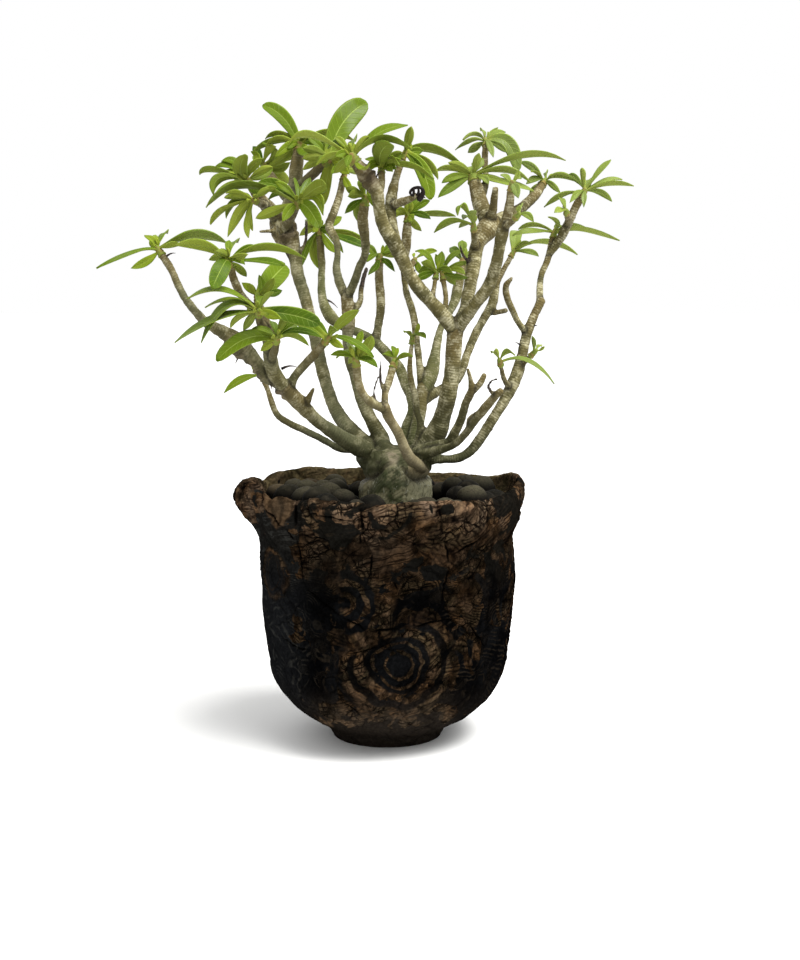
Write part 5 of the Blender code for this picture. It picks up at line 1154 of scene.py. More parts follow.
# Knots in the clay where the marbling runs round a centre: centre, reach, the side that the rings
# show on, how far past the centre they show on the other side, and how brown at each radius
Eye = namedtuple("Eye", "centre reach towards past rings")
EYES = (
    Eye((3.7, -38.0, 32.3), 20.0, (0.35, 0.0, -0.94), 0.42,
        ((0.0, 0.0), (3.3, 0.0), (3.6, 1.0), (4.2, 1.0), (4.5, 0.0), (6.3, 0.0), (6.7, 0.8), (7.3, 0.7),
         (7.7, 0.0), (9.1, 0.05), (9.6, 0.95), (12.2, 1.0), (12.8, 0.05), (14.6, 0.05), (15.2, 0.95),
         (18.0, 0.9), (18.8, 0.0), (20.0, 0.1))),
    Eye((-12.6, -37.8, 51.2), 16.5, (1.0, 0.0, 0.1), -0.02,
        ((0.0, 0.0), (1.8, 0.0), (2.3, 0.95), (3.3, 0.9), (3.8, 0.0), (5.6, 0.0), (6.0, 1.0), (7.4, 0.9),
         (7.9, 0.0), (9.6, 0.0), (10.2, 1.0), (15.4, 1.0), (16.5, 0.6))),
    Eye((-34.0, -21.5, 57.0), 9.0, (0.0, 0.0, 1.0), 9.0,
        ((0.0, 0.0), (4.0, 0.0), (4.4, 0.3), (4.9, 0.0), (9.0, 0.05))),
    Eye((32.0, 22.0, 40.0), 15.0, (0.0, 0.0, -1.0), 0.6,
        ((0.0, 0.0), (3.2, 0.0), (4.2, 1.0), (5.2, 0.0), (8.0, 0.1), (9.4, 1.0), (10.6, 0.1), (13.0, 0.2),
         (14.0, 1.0))),
    Eye((-14.0, 37.5, 33.0), 17.0, (-0.7, 0.0, -0.7), 0.5,
        ((0.0, 0.1), (3.6, 0.0), (4.4, 0.9), (5.6, 0.1), (7.6, 0.0), (9.2, 1.0), (11.0, 0.6), (12.0, 0.0),
         (14.4, 0.9), (16.0, 0.3))),
    Eye((-37.5, 12.0, 26.0), 11.0, (0.0, 0.0, 1.0), 9.0,
        ((0.0, 0.0), (2.6, 0.0), (3.3, 0.9), (4.2, 0.1), (6.4, 0.0), (7.6, 0.95), (9.4, 0.3), (11.0, 0.1))),
)
# Browner and darker areas of the front: x, z, half width, half height, how much browner
PATCHES = (
    (-13.8, 72.6, 6.5, 3.2, -0.7), (-32.6, 54.5, 5.5, 20.0, -0.6), (-26.7, 28.1, 6.0, 8.5, -0.9),
    (-13.8, 27.5, 3.2, 9.0, -0.55), (13.3, 60.5, 4.0, 2.6, -0.9), (10.9, 52.7, 5.6, 2.4, -0.9),
    (8.0, 41.4, 6.5, 2.4, -0.9), (-22.0, 50.9, 5.5, 9.0, -0.5), (33.5, 45.0, 5.0, 22.0, -0.4),
    (18.3, 80.1, 2.1, 1.8, -0.9), (36.0, 80.4, 3.3, 3.8, -0.9), (-42.0, 80.0, 6.0, 8.0, 0.7),
    (15.5, 71.5, 14.0, 8.5, 0.55), (-6.0, 66.0, 12.0, 3.4, 0.45), (-15.5, 58.1, 3.3, 2.4, 0.6),
    (-1.4, 60.5, 2.2, 3.2, 0.5), (5.9, 58.7, 3.2, 2.4, 0.5), (10.9, 47.4, 6.3, 2.0, 0.9),
    (22.0, 52.1, 4.5, 5.5, 0.6), (-14.7, 40.4, 2.8, 2.4, 0.6), (-7.3, 29.9, 2.5, 6.0, 0.8),
    (-2.6, 19.1, 4.6, 5.8, 0.8), (-21.7, 29.9, 1.2, 4.0, 0.9), (12.7, 16.7, 8.0, 1.8, 0.6),
    (-37.6, 74.0, 3.2, 3.0, -1.0), (-31.5, 69.6, 5.0, 2.2, -1.0), (-25.6, 75.5, 1.4, 3.6, -0.7),
    (-17.5, 64.0, 5.5, 3.4, 0.5),
)
# The smooth tan lobe of the rim, a shield that narrows downwards: middle x, top z, half width, height
SHELL = (-32.6, 84.0, 6.4, 11.6)
# Deep crevices of the front: x and z of both ends, half width
CREVICES = (
    (-7.3, 81.5, -5.9, 72.0, 0.75), (-24.4, 78.3, -7.3, 76.6, 0.45), (-13.2, 46.7, -5.9, 43.2, 0.55),
    (-5.9, 43.2, 5.0, 44.2, 0.6), (5.0, 44.2, 22.7, 46.4, 0.55), (-4.4, 67.8, -4.1, 58.1, 0.4),
    (0.9, 58.1, 3.8, 54.8, 0.45), (3.8, 54.8, 16.5, 56.9, 0.45), (17.4, 70.2, 18.5, 63.0, 0.5),
    (18.5, 64.0, 16.8, 49.7, 0.45), (29.1, 70.2, 18.5, 65.0, 0.55), (-25.0, 54.5, -12.6, 46.7, 0.5),
    (-12.6, 35.8, 0.9, 38.9, 0.35), (-34.4, 37.1, -22.0, 34.4, 0.4), (-27.3, 72.0, -24.4, 54.5, 0.4),
    (25.0, 44.9, 30.3, 33.5, 0.4), (-15.0, 22.1, -6.7, 15.5, 0.4), (-26.6, 82.5, -27.8, 72.5, 0.7),
    (-38.5, 82.5, -38.2, 78.2, 0.4), (-38.3, 78.8, -30.6, 72.3, 0.5), (-30.8, 72.8, -27.4, 69.2, 0.4),
    (16.0, 82.0, 16.6, 76.5, 0.45), (31.0, 82.5, 30.0, 73.0, 0.6), (-27.0, 71.5, -16.0, 69.5, 0.4),
)


def ring_ramp(tree, away, eye):
    """How brown the clay is at this distance from an eye's centre."""
    ramp = tree.node("ShaderNodeValToRGB", tree.times(away, 1 / eye.reach))
    ramp.color_ramp.interpolation = "EASE"
    stops = ramp.color_ramp.elements
    for index, (radius, amount) in enumerate(eye.rings):
        place = radius / eye.reach
        stop = stops[index] if index < 1 else stops.new(place)
        stop.position = place
        stop.color = (amount, amount, amount, 1.0)
    stops.remove(stops[len(stops) - 1])
    return ramp.outputs[0]


def patch_share(tree, spot, patch):
    """How far a place on the front is inside one of the patches, times what the patch adds."""
    x, z, half_width, half_height, amount = patch
    off = tree.vector("SUBTRACT", spot, (x, 0.0, z))
    reach = tree.vector("MULTIPLY", off, (1 / half_width, 0.0, 1 / half_height))
    return tree.step(tree.vector("LENGTH", reach), 0.65, 1.25, amount, 0.0)


def crevice_share(tree, spot, crevice):
    """1 at the middle of a crevice of the front and 0 outside it; it narrows to its ends."""
    x, z, end_x, end_z, half_width = crevice
    half = Vector((end_x - x, 0.0, end_z - z)) / 2
    along = half / half.length_squared
    across = Vector((half.z, 0.0, -half.x)) / (half.length * half_width)
    off = tree.vector("SUBTRACT", spot, (x + half.x, 0.0, z + half.z))
    flat = tree.node("ShaderNodeCombineXYZ", tree.times(tree.vector("DOT_PRODUCT", off, tuple(along)), 0.85),
                     tree.vector("DOT_PRODUCT", off, tuple(across)), 0.0).outputs[0]
    return tree.step(tree.vector("LENGTH", flat), 0.35, 1.0, 1.0, 0.0)


def largest(tree, values):
    found = values[0]
    for value in values[1:]:
        found = tree.math("MAXIMUM", found, value)
    return found


def shell_fields(tree, spot):
    """1 on the rim's smooth shield-shaped lobe and 0 off it, and the grooves that fan out up the lobe."""
    x, top, half_width, height = SHELL
    across, _, up = tree.parts(spot)
    aside = tree.times(tree.add(across, -x), 1 / half_width)
    down = tree.times(tree.add(tree.times(up, -1.0), top), 1 / height)
    narrowing = tree.times(down, down, 0.85)
    share = tree.step(tree.add(tree.math("ABSOLUTE", aside), narrowing), 0.8, 1.0, 1.0, 0.0)
    fan = tree.math("DIVIDE", aside, tree.add(1.05, tree.times(narrowing, -1.0)))
    return share, tree.math("SINE", tree.add(tree.times(fan, 11.0), tree.times(tree.noise(spot, 3.0), 5.0)))


def eye_share(tree, near, eye):
    """How far a place is inside an eye, and how brown it is there."""
    away = tree.vector("DISTANCE", near, eye.centre)
    uneven = tree.add(away, tree.times(tree.add(tree.noise(near, 6.5, 2.0), -0.5), 4.2))
    inside = tree.step(away, eye.reach * 0.8, eye.reach, 1.0, 0.0)
    facing = tree.vector("DOT_PRODUCT", tree.vector("SUBTRACT", near, eye.centre), eye.towards)
    shown = tree.step(tree.times(facing, 1 / eye.reach), -eye.past - 0.16, -eye.past)
    inside = tree.times(inside, tree.lerp(shown, 0.5, 1.0))
    return inside, tree.times(ring_ramp(tree, uneven, eye), shown)


def clay_flows(tree, place):
    """The place pushed about in four ways: for broad runs, for curls, for the front's forms, for grain."""
    flow = tree.warped(place, 26.0, 7.0)
    curl = tree.warped(flow, 8.0, 2.4, 2.0)
    return {"flow": flow, "curl": curl,
            "near": tree.warped(tree.warped(place, 9.0, 1.6), 2.6, 0.6, 2.0),
            "grain": tree.warped(curl, 2.6, 0.6, 2.0)}


def clay_regions(tree, place):
    """Where a place is on the pot, each from 0 to 1, and its x, y and z."""
    x, y, z = tree.parts(place)
    return {"x": x, "y": y, "z": z,
            "rim": tree.step(z, 58.0, 72.0),
            "left": tree.step(x, -36.0, -20.0, 1.0, 0.0),
            "front": tree.step(y, -12.0, 4.0, 1.0, 0.0),
            "rear_rim": tree.times(tree.step(y, 3.0, 14.0), tree.step(z, 74.0, 78.0)),
            "aside": tree.step(tree.math("ABSOLUTE", tree.add(x, 1.0)), 17.0, 26.0)}


def marbling(tree, fields, slab_tone):
    """How brown the clay is, the ragged islands in it, and how far a place is inside an eye."""
    bands = tree.math("SINE", tree.times(tree.noise(fields["flow"], 24.0, 1.0), 60.0))
    patches = tree.noise(fields["curl"], 12.0, 4.0, 0.6)
    foot = tree.step(fields["z"], 5.0, 13.0, 1.0, 0.0)
    low_side = tree.times(fields["aside"], tree.step(fields["z"], 18.0, 32.0, 1.0, 0.0))
    painted = tree.add(*(patch_share(tree, fields["near"], patch) for patch in PATCHES))
    amount = tree.add(patches, tree.times(bands, 0.09), tree.times(fields["rim"], 0.09),
                      tree.times(fields["left"], -0.1), tree.times(fields["rear_rim"], 0.3),
                      tree.times(slab_tone, 0.2), tree.times(foot, -0.3),
                      tree.times(painted, fields["front"], 0.33), tree.times(low_side, -0.24))
    islands = tree.noise(fields["grain"], 3.4, 3.0, 0.55)
    ragged = tree.times(tree.add(islands, -0.5), tree.lerp(fields["left"], 0.32, 0.5))
    brown = tree.step(tree.add(amount, ragged), 0.5, 0.54)
    torn = tree.step(islands, 0.36, 0.42)
    glow = 0.0
    for eye in EYES:
        inside, rings = eye_share(tree, fields["near"], eye)
        brown = tree.lerp(inside, brown, tree.times(rings, torn))
        glow = tree.math("MAXIMUM", inside, glow)
    return brown, islands, glow


def clay_cracks(tree, fields, layered):
    """The wide, middle and fine cracks; the finer two lie mostly in the brown parts."""
    place, near, rear_rim, brown = (fields[name] for name in ("place", "near", "rear_rim", "brown"))
    width = tree.noise(place, 3.0, 1.0)
    crevices = largest(tree, [crevice_share(tree, near, crevice) for crevice in CREVICES])
    cobbles = tree.step(tree.cells(near, SLAB_SIZE), 0.08, tree.lerp(width, 0.2, 0.8), 1.0, 0.0)
    cobbles = tree.times(cobbles, tree.step(tree.noise(place, 13.0, 1.0), 0.42, 0.56),
                         tree.lerp(rear_rim, 1.0, 0.2))
    wide = tree.math("MAXIMUM", tree.times(crevices, fields["front"]),
                     tree.times(cobbles, tree.lerp(fields["front"], 1.0, 0.45)))
    blocks = tree.warped(tree.vector("MULTIPLY", layered, (0.8, 0.8, 1.25)), 3.0, 0.6)
    middle = tree.step(tree.cells(blocks, 4.8), 0.03, tree.lerp(width, 0.12, 0.72), 1.0, 0.0)
    crumbs = tree.warped(near, 1.2, 0.3)
    fine = tree.step(tree.cells(crumbs, 2.3), 0.02, tree.lerp(width, 0.34, 0.1), 1.0, 0.0)
    broken = tree.step(tree.noise(place, 9.0, 2.0), 0.46, 0.57)
    plain = tree.times(tree.add(1.0, tree.times(fields["shell"], -0.9)),
                       tree.add(1.0, tree.times(rear_rim, -0.75)))
    middle = tree.times(middle, tree.lerp(brown, 0.2, 1.0), tree.lerp(broken, 0.5, 1.0), plain)
    fine = tree.times(fine, tree.lerp(brown, 0.05, 0.9), tree.lerp(broken, 0.2, 1.0), plain)
    return {"wide": wide, "middle": middle, "fine": fine}


def clay_strata(tree, fields, slab, layered):
    """A wave from -1 to 1 across the clay's layers, which lean another way in each slab."""
    layers = tree.noise(tree.vector("MULTIPLY", layered, (0.14, 0.14, 1.3)), 4.0, 3.0)
    contour = tree.noise(fields["grain"], 20.0, 2.0)
    lean = tree.vector("MULTIPLY", slab, (0.8, 0.8, 2.0))
    slab_layers = tree.add(tree.times(tree.vector("DOT_PRODUCT", lean, fields["near"]), 7.0),
                           tree.times(tree.noise(fields["place"], 5.0, 3.0), 9.0))
    swirled = tree.times(tree.step(tree.noise(fields["flow"], 15.0), 0.5, 0.58),
                         tree.add(1.0, tree.times(fields["rim"], -1.0)))
    under_rim = tree.times(tree.step(fields["z"], 50.0, 60.0),
                           tree.step(tree.noise(fields["flow"], 20.0), 0.42, 0.5))
    turns = tree.lerp(swirled, slab_layers, tree.times(contour, 150.0))
    return tree.math("SINE", tree.lerp(under_rim, turns, tree.times(layers, 44.0)))


def clay_fields(tree, place):
    """The clay's marbling and cracks at a place in millimetres, the same for shape and for colour."""
    fields = {"place": place, **clay_flows(tree, place), **clay_regions(tree, place)}
    slab = tree.vector("SUBTRACT", tree.cell_colour(fields["near"], SLAB_SIZE), (0.5, 0.5, 0.5))
    brown, fields["islands"], fields["glow"] = marbling(tree, fields, tree.parts(slab)[0])
    shell, fields["fan"] = shell_fields(tree, fields["near"])
    fields["shell"] = tree.times(shell, fields["front"])
    fields["brown"] = tree.math("MAXIMUM", brown, fields["shell"])
    tipped = tree.node("ShaderNodeCombineXYZ", 0.0, 0.0, fields["x"]).outputs[0]
    layered = tree.vector("ADD", fields["near"], tree.scaled(tipped, -0.22))
    fields.update(clay_cracks(tree, fields, layered))
    fields["strata"] = clay_strata(tree, fields, slab, layered)
    return fields


def clay_height(tree, fields):
    """How far the clay's surface stands out or in, in millimetres."""
    edge = tree.math("MAXIMUM", fields["wide"], tree.times(fields["middle"], 0.5))
    swell = tree.times(tree.add(tree.noise(fields["flow"], 9.0, 2.0), -0.5), 1.2)
    ridges = tree.times(fields["strata"], tree.lerp(fields["brown"], 0.03, 0.08))
    return tree.add(tree.times(edge, -0.85), tree.times(fields["fine"], -0.16), ridges,
                    tree.times(fields["fan"], fields["shell"], 0.12),
                    tree.times(fields["brown"], 0.22), tree.times(fields["islands"], 0.5), swell)


def relief_modifier(piece):
    """Push the pot's surface in and out by the same fields that colour it."""
    group = bpy.data.node_groups.new("clay_relief", "GeometryNodeTree")
    group.interface.new_socket("Geometry", in_out="INPUT", socket_type="NodeSocketGeometry")
    group.interface.new_socket("Geometry", in_out="OUTPUT", socket_type="NodeSocketGeometry")
    tree = Tree(group)
    source = tree.node("NodeGroupInput")
    place = tree.scaled(tree.node("GeometryNodeInputPosition").outputs[0], 1 / METRES_PER_MM)
    keep = tree.node("GeometryNodeStoreNamedAttribute", data_type="FLOAT_VECTOR", domain="POINT")
    tree.feed(keep.inputs["Geometry"], source.outputs[0])
    keep.inputs["Name"].default_value = "rest"
    tree.feed(keep.inputs["Value"], place)
    share = tree.node("GeometryNodeInputNamedAttribute", data_type="FLOAT")
    share.inputs["Name"].default_value = "relief"
    height = tree.times(clay_height(tree, clay_fields(tree, place)), share.outputs[0], METRES_PER_MM)
    push = tree.scaled(tree.node("GeometryNodeInputNormal").outputs[0], height)
    move = tree.node("GeometryNodeSetPosition")
    tree.feed(move.inputs["Geometry"], keep.outputs[0])
    tree.feed(move.inputs["Offset"], push)
    end = tree.node("NodeGroupOutput")
    tree.feed(end.inputs[0], move.outputs[0])
    piece.modifiers.new("relief", "NODES").node_group = group


# The clay's colours: pairs are the two ends that noise mixes
CLAY_DARK = (rgb(0.018, 0.0105, 0.0055), rgb(0.021, 0.0155, 0.009))
CLAY_LIGHT = (rgb(0.115, 0.062, 0.028), rgb(0.088, 0.06, 0.032))
# The rim's lighter brown: partly dust, partly painted light from above
CLAY_RIM = rgb(0.136, 0.094, 0.062)
CLAY_REAR = (rgb(0.05, 0.042, 0.02), rgb(0.1, 0.078, 0.038))
CLAY_ISLAND = rgb(0.15, 0.092, 0.053)
CLAY_LAYER = rgb(0.01, 0.006, 0.004)
# The brown's lighter colour near the foot
CLAY_FOOT = rgb(0.062, 0.049, 0.035)
CLAY_CRACK = rgb(0.0007, 0.0006, 0.0006)
SHELL_TAN = (rgb(0.028, 0.017, 0.009), rgb(0.07, 0.043, 0.023))
SHELL_STAIN = rgb(0.026, 0.02, 0.013)
SLATE = (rgb(0.0009, 0.0009, 0.001), rgb(0.0036, 0.0037, 0.004))
SLATE_LEFT = rgb(0.0086, 0.009, 0.0098)
SLATE_HIGH = rgb(0.0082, 0.0074, 0.0056)
# The black's lighter colour near the foot
SLATE_FOOT = rgb(0.0165, 0.013, 0.0102)
# Lines along the layers: grey painted highlights on the ridges at the left, brown colour elsewhere
SLATE_LINES = (rgb(0.021, 0.0212, 0.0195), rgb(0.0125, 0.0095, 0.0064))


def shell_colour(tree, fields):
    """The smooth lobe's tan, grooved like a fan and stained in its middle."""
    middle = tree.step(tree.vector("DISTANCE", fields["place"], SHELL_MIDDLE), 1.5, 7.0, 1.0, 0.0)
    tan = tree.mix(tree.step(fields["fan"], -0.9, 0.6), *SHELL_TAN)
    return tree.mix(tree.times(middle, 0.6), tan, SHELL_STAIN)


def brown_clay(tree, fields, foot_band):
    """The colour of the brown parts: layered, greenish at the back, with painted light at the rim, partly
    dust there, and painted shade on the body below, lifted near the foot and in the eyes.
    """
    tone = tree.step(tree.noise(fields["curl"], 5.0, 4.0, 0.6), 0.36, 0.68)
    hue = tree.step(tree.noise(fields["flow"], 9.0, 2.0), 0.4, 0.6)
    colour = tree.mix(tone, tree.mix(hue, *CLAY_DARK), tree.mix(hue, *CLAY_LIGHT))
    # Lighter brown at the rim: partly dust, partly painted light from above
    rim_share = tree.times(fields["rim"], tree.step(tree.noise(fields["flow"], 15.0), 0.42, 0.62), 0.75)
    colour = tree.mix(rim_share, colour, CLAY_RIM)
    layer = tree.step(fields["strata"], -0.9, 0.3, 1.0, 0.0)
    colour = tree.mix(tree.times(layer, 0.88), colour, CLAY_LAYER)
    colour = tree.mix(tree.times(tree.step(fields["islands"], 0.5, 0.66), 0.4), colour, CLAY_ISLAND)
    colour = tree.mix(fields["shell"], colour, shell_colour(tree, fields))
    rear = tree.times(tree.step(fields["y"], 3.0, 14.0), fields["rim"], tree.lerp(tone, 0.8, 0.5))
    colour = tree.mix(rear, colour, tree.mix(hue, *CLAY_REAR))
    colour = tree.mix(tree.times(foot_band, 0.5), colour, CLAY_FOOT)
    # Painted light and shade: brightest at the rim, painted shade on the body below it, lifted near the foot
    # and inside the eyes
    lit = largest(tree, [tree.step(fields["z"], 69.0, 78.0, 0.34, 1.03), tree.times(foot_band, 0.82),
                         tree.times(fields["glow"], 0.62)])
    return tree.shade(colour, lit)


def black_clay(tree, fields, foot_band):
    """The colour of the black parts, with grey lines at the left, painted highlights along its layers'
    ridges, and brown lines elsewhere.
    """
    colour = tree.mix(tree.step(tree.noise(fields["flow"], 12.0, 3.0), 0.4, 0.68), *SLATE)
    colour = tree.mix(tree.step(fields["x"], -32.0, -20.0, 0.55, 0.0), colour, SLATE_LEFT)
    colour = tree.mix(tree.step(fields["z"], 50.0, 70.0, 0.0, 0.6), colour, SLATE_HIGH)
    colour = tree.mix(tree.times(foot_band, 0.8), colour, SLATE_FOOT)
    # Lines on the layers' ridges: at the left grey painted highlights, elsewhere the clay's brown colour
    streaks = tree.times(tree.step(fields["strata"], 0.2, 0.9),
                         tree.step(tree.noise(fields["place"], 6.0, 2.0), 0.4, 0.6))
    streaks = tree.times(streaks, tree.add(1.0, tree.times(fields["glow"], -1.0)), 0.7)
    return tree.mix(streaks, colour, tree.mix(tree.step(fields["x"], -34.0, -18.0), *SLATE_LINES))


def clay_material():
    """Black and brown marbled clay, matt, its brown parts cracked and layered like bark."""
    material, tree, shader = shader_tree("marbled_clay")
    place = tree.attribute("rest").outputs["Vector"]
    fields = clay_fields(tree, place)
    brown, middle, fine = (fields[name] for name in ("brown", "middle", "fine"))
    # Lighter near the foot, more at the front and back than at the sides
    foot_band = tree.times(tree.step(fields["z"], 12.0, 26.0, 1.0, 0.0), tree.lerp(fields["aside"], 1.0, 0.25))
    colour = tree.mix(brown, black_clay(tree, fields, foot_band), brown_clay(tree, fields, foot_band))
    colour = tree.mix(tree.times(largest(tree, [fields["wide"], middle, fine]), 0.96), colour, CLAY_CRACK)
    colour = tree.shade(colour, tree.step(tree.noise(place, 0.9, 3.0), 0.35, 0.7, 0.7, 1.18))
    tree.feed(shader.inputs["Base Color"], colour)
    rough = tree.lerp(brown, tree.lerp(tree.noise(place, 5.0), 0.46, 0.68), 0.82)
    tree.feed(shader.inputs["Roughness"], rough)
    height = tree.add(tree.times(fine, -0.8), tree.times(middle, -0.8),
                      tree.times(fields["strata"], tree.lerp(brown, 0.1, 0.3)),
                      tree.times(tree.noise(place, 0.8, 3.0), 0.6))
    tree.feed(shader.inputs["Normal"], tree.bump(height, 0.3, 1.0))
    shader.inputs["Specular IOR Level"].default_value = 0.0
    return material


# The clay balls' and the growing medium's colours
BALL_GREY = (rgb(0.0045, 0.0043, 0.003), rgb(0.047, 0.0425, 0.0262))
BALL_BROWN = rgb(0.06, 0.041, 0.022)
BALL_DUST = rgb(0.048, 0.04, 0.027)
BALL_CRACK = rgb(0.006, 0.005, 0.004)
BALL_PORE = rgb(0.008, 0.007, 0.005)
# The colour of the balls' painted shade
BALL_SHADE = rgb(0.0018, 0.0015, 0.0012)
SOIL_BROWN = (rgb(0.008, 0.006, 0.004), rgb(0.04, 0.029, 0.019))
SOIL_GAP_SHADE = rgb(0.006, 0.004, 0.003)


def ball_material():
    """Baked clay balls: each its own tone, with dusty blotches and pores, and painted shade darkening each
    ball towards its underside.
    """
    material, tree, shader = shader_tree("baked_clay")
    place = tree.object_place()
    tone = tree.number("tone")
    painted_shade = tree.number("painted_shade")
    cool = tree.mix(tree.step(tone, 0.15, 0.75), *BALL_GREY)
    base = tree.mix(tree.step(tone, 0.8, 0.95), cool, BALL_BROWN)
    blotch = tree.step(tree.noise(place, 2.6, 4.0, 0.6), 0.42, 0.66)
    base = tree.mix(tree.times(blotch, 0.4), base, BALL_DUST)
    veins = tree.step(tree.cells(tree.warped(place, 2.0, 0.7), 3.4), 0.02, 0.16, 1.0, 0.0)
    base = tree.mix(tree.times(veins, 0.3), base, BALL_CRACK)
    pits = tree.step(tree.noise(place, 0.55, 3.0), 0.5, 0.64)
    base = tree.mix(tree.times(pits, 0.4), base, BALL_PORE)
    # Painted shade: darker towards each ball's underside, and over the sunk and lower balls
    base = tree.mix(tree.times(painted_shade, 0.94), base, BALL_SHADE)
    tree.feed(shader.inputs["Base Color"], base)
    shader.inputs["Roughness"].default_value = 0.85
    shader.inputs["Specular IOR Level"].default_value = 0.05
    height = tree.add(tree.times(tree.noise(place, 0.5, 3.0), 0.8), tree.noise(place, 1.8, 2.0))
    tree.feed(shader.inputs["Normal"], tree.bump(height, 0.2, 0.8))
    return material


def soil_material():
    """Dark crumbs with painted shade in the gaps between them."""
    material, tree, shader = shader_tree("growing_medium")
    place = tree.object_place()
    crumbs = tree.cells(tree.warped(place, 2.0, 0.5), 2.2)
    tone = tree.mix(tree.noise(place, 4.0, 4.0, 0.6), *SOIL_BROWN)
    # Painted shade in the gaps between crumbs
    colour = tree.mix(tree.step(crumbs, 0.02, 0.35, 0.8, 0.0), tone, SOIL_GAP_SHADE)
    tree.feed(shader.inputs["Base Color"], colour)
    shader.inputs["Roughness"].default_value = 0.95
    tree.feed(shader.inputs["Normal"], tree.bump(crumbs, 0.8, 0.8))
    return material


# The bark's colours: pairs are the two ends that noise mixes
TAN_BARK = (rgb(0.092, 0.079, 0.028), rgb(0.178, 0.157, 0.071))
OLIVE_BARK = (rgb(0.04, 0.041, 0.017), rgb(0.085, 0.081, 0.038))
SHADED_BARK = rgb(0.034, 0.029, 0.008)
HIGH_BARK = rgb(0.04, 0.029, 0.011)
SMOOTH_BARK = rgb(0.096, 0.102, 0.054)
GREEN_BARK = rgb(0.12, 0.132, 0.05)
YOUNG_BARK = rgb(0.12, 0.088, 0.032)
PALE_SCAR = rgb(0.44, 0.41, 0.27)
DARK_SCAR = rgb(0.04, 0.032, 0.014)
BARK_PIT = rgb(0.04, 0.032, 0.015)
BARK_UNDERSIDE_SHADE = rgb(0.028, 0.025, 0.008)
MOSSY_BARK = rgb(0.028, 0.031, 0.012)
PALE_WOOD = rgb(0.23, 0.19, 0.115)
BARE_WOOD = rgb(0.185, 0.153, 0.104)
SKIN = (rgb(0.158, 0.147, 0.082), rgb(0.037, 0.043, 0.016))
SKIN_RIGHT = rgb(0.19, 0.185, 0.118)
SKIN_LEFT = rgb(0.085, 0.072, 0.042)
SKIN_PEEL = rgb(0.34, 0.335, 0.25)
SKIN_GRIME = rgb(0.03, 0.032, 0.014)
SKIN_CREASE_SHADE = rgb(0.022, 0.018, 0.01)
HOLLOW_SHADE = rgb(0.014, 0.012, 0.006)
HUSK = (rgb(0.022, 0.015, 0.01), rgb(0.1, 0.075, 0.048))
TWIG = (rgb(0.012, 0.009, 0.008), rgb(0.05, 0.036, 0.028))
Marks = namedtuple("Marks", "ring fleck blotch pale dark")


def bark_marks(tree, place):
    """The bark's ring scars, flecks and blotches, and how pale and how dark they leave it."""
    wander = tree.times(tree.add(tree.noise(place, 3.0, 3.0), -0.5), 9.0)
    ring = tree.math("SINE", tree.add(tree.times(tree.number("along"), 2 * math.pi / SCAR_PITCH), wander))
    fleck = tree.noise(place, 0.8, 3.0, 0.6)
    blotch = tree.noise(place, 3.6, 4.0, 0.6)
    broken = tree.step(tree.noise(place, 1.6, 2.0), 0.4, 0.6)
    paleness = tree.add(tree.times(ring, 0.022), tree.times(fleck, 0.5), tree.times(blotch, 0.7))
    dark = tree.times(tree.step(ring, -0.95, -0.3, 1.0, 0.0), broken)
    return Marks(ring, fleck, blotch, tree.step(paleness, 0.56, 0.8), dark)


def plain_bark(tree, place, blotch, low):
    """Olive bark low down and tan bark above, darker in parts, and where it is smooth and grey-green."""
    x, _, z = tree.parts(place)
    tan = tree.mix(tree.step(blotch, 0.4, 0.62), *TAN_BARK)
    olive = tree.mix(tree.step(blotch, 0.42, 0.6), *OLIVE_BARK)
    spots = tree.step(tree.noise(place, 9.0, 3.0, 0.6), 0.5, 0.6, 0.0, 0.5)
    lowness = tree.times(low, tree.lerp(tree.number("pale"), 0.85, 0.1))
    colour = tree.mix(tree.math("MAXIMUM", lowness, spots), tan, olive)
    shaded = tree.step(tree.noise(place, 11.0, 3.0, 0.6), 0.5, 0.62)
    colour = tree.mix(tree.times(shaded, 0.56), colour, SHADED_BARK)
    high = tree.times(tree.step(z, 152.0, 172.0), tree.step(x, -12.0, -2.0, 1.0, 0.0))
    colour = tree.mix(tree.times(high, 0.34), colour, HIGH_BARK)
    smooth = tree.times(tree.step(x, -14.0, 6.0, 1.0, 0.0),
                        tree.step(tree.noise(place, 22.0, 1.0), 0.42, 0.56))
    colour = tree.mix(tree.times(smooth, 0.5), colour, SMOOTH_BARK)
    colour = tree.mix(tree.times(tree.number("green"), 0.5), colour, GREEN_BARK)
    young = tree.step(tree.number("youth"), 0.45, 1.0)
    return tree.mix(tree.times(young, 0.6), colour, YOUNG_BARK), smooth


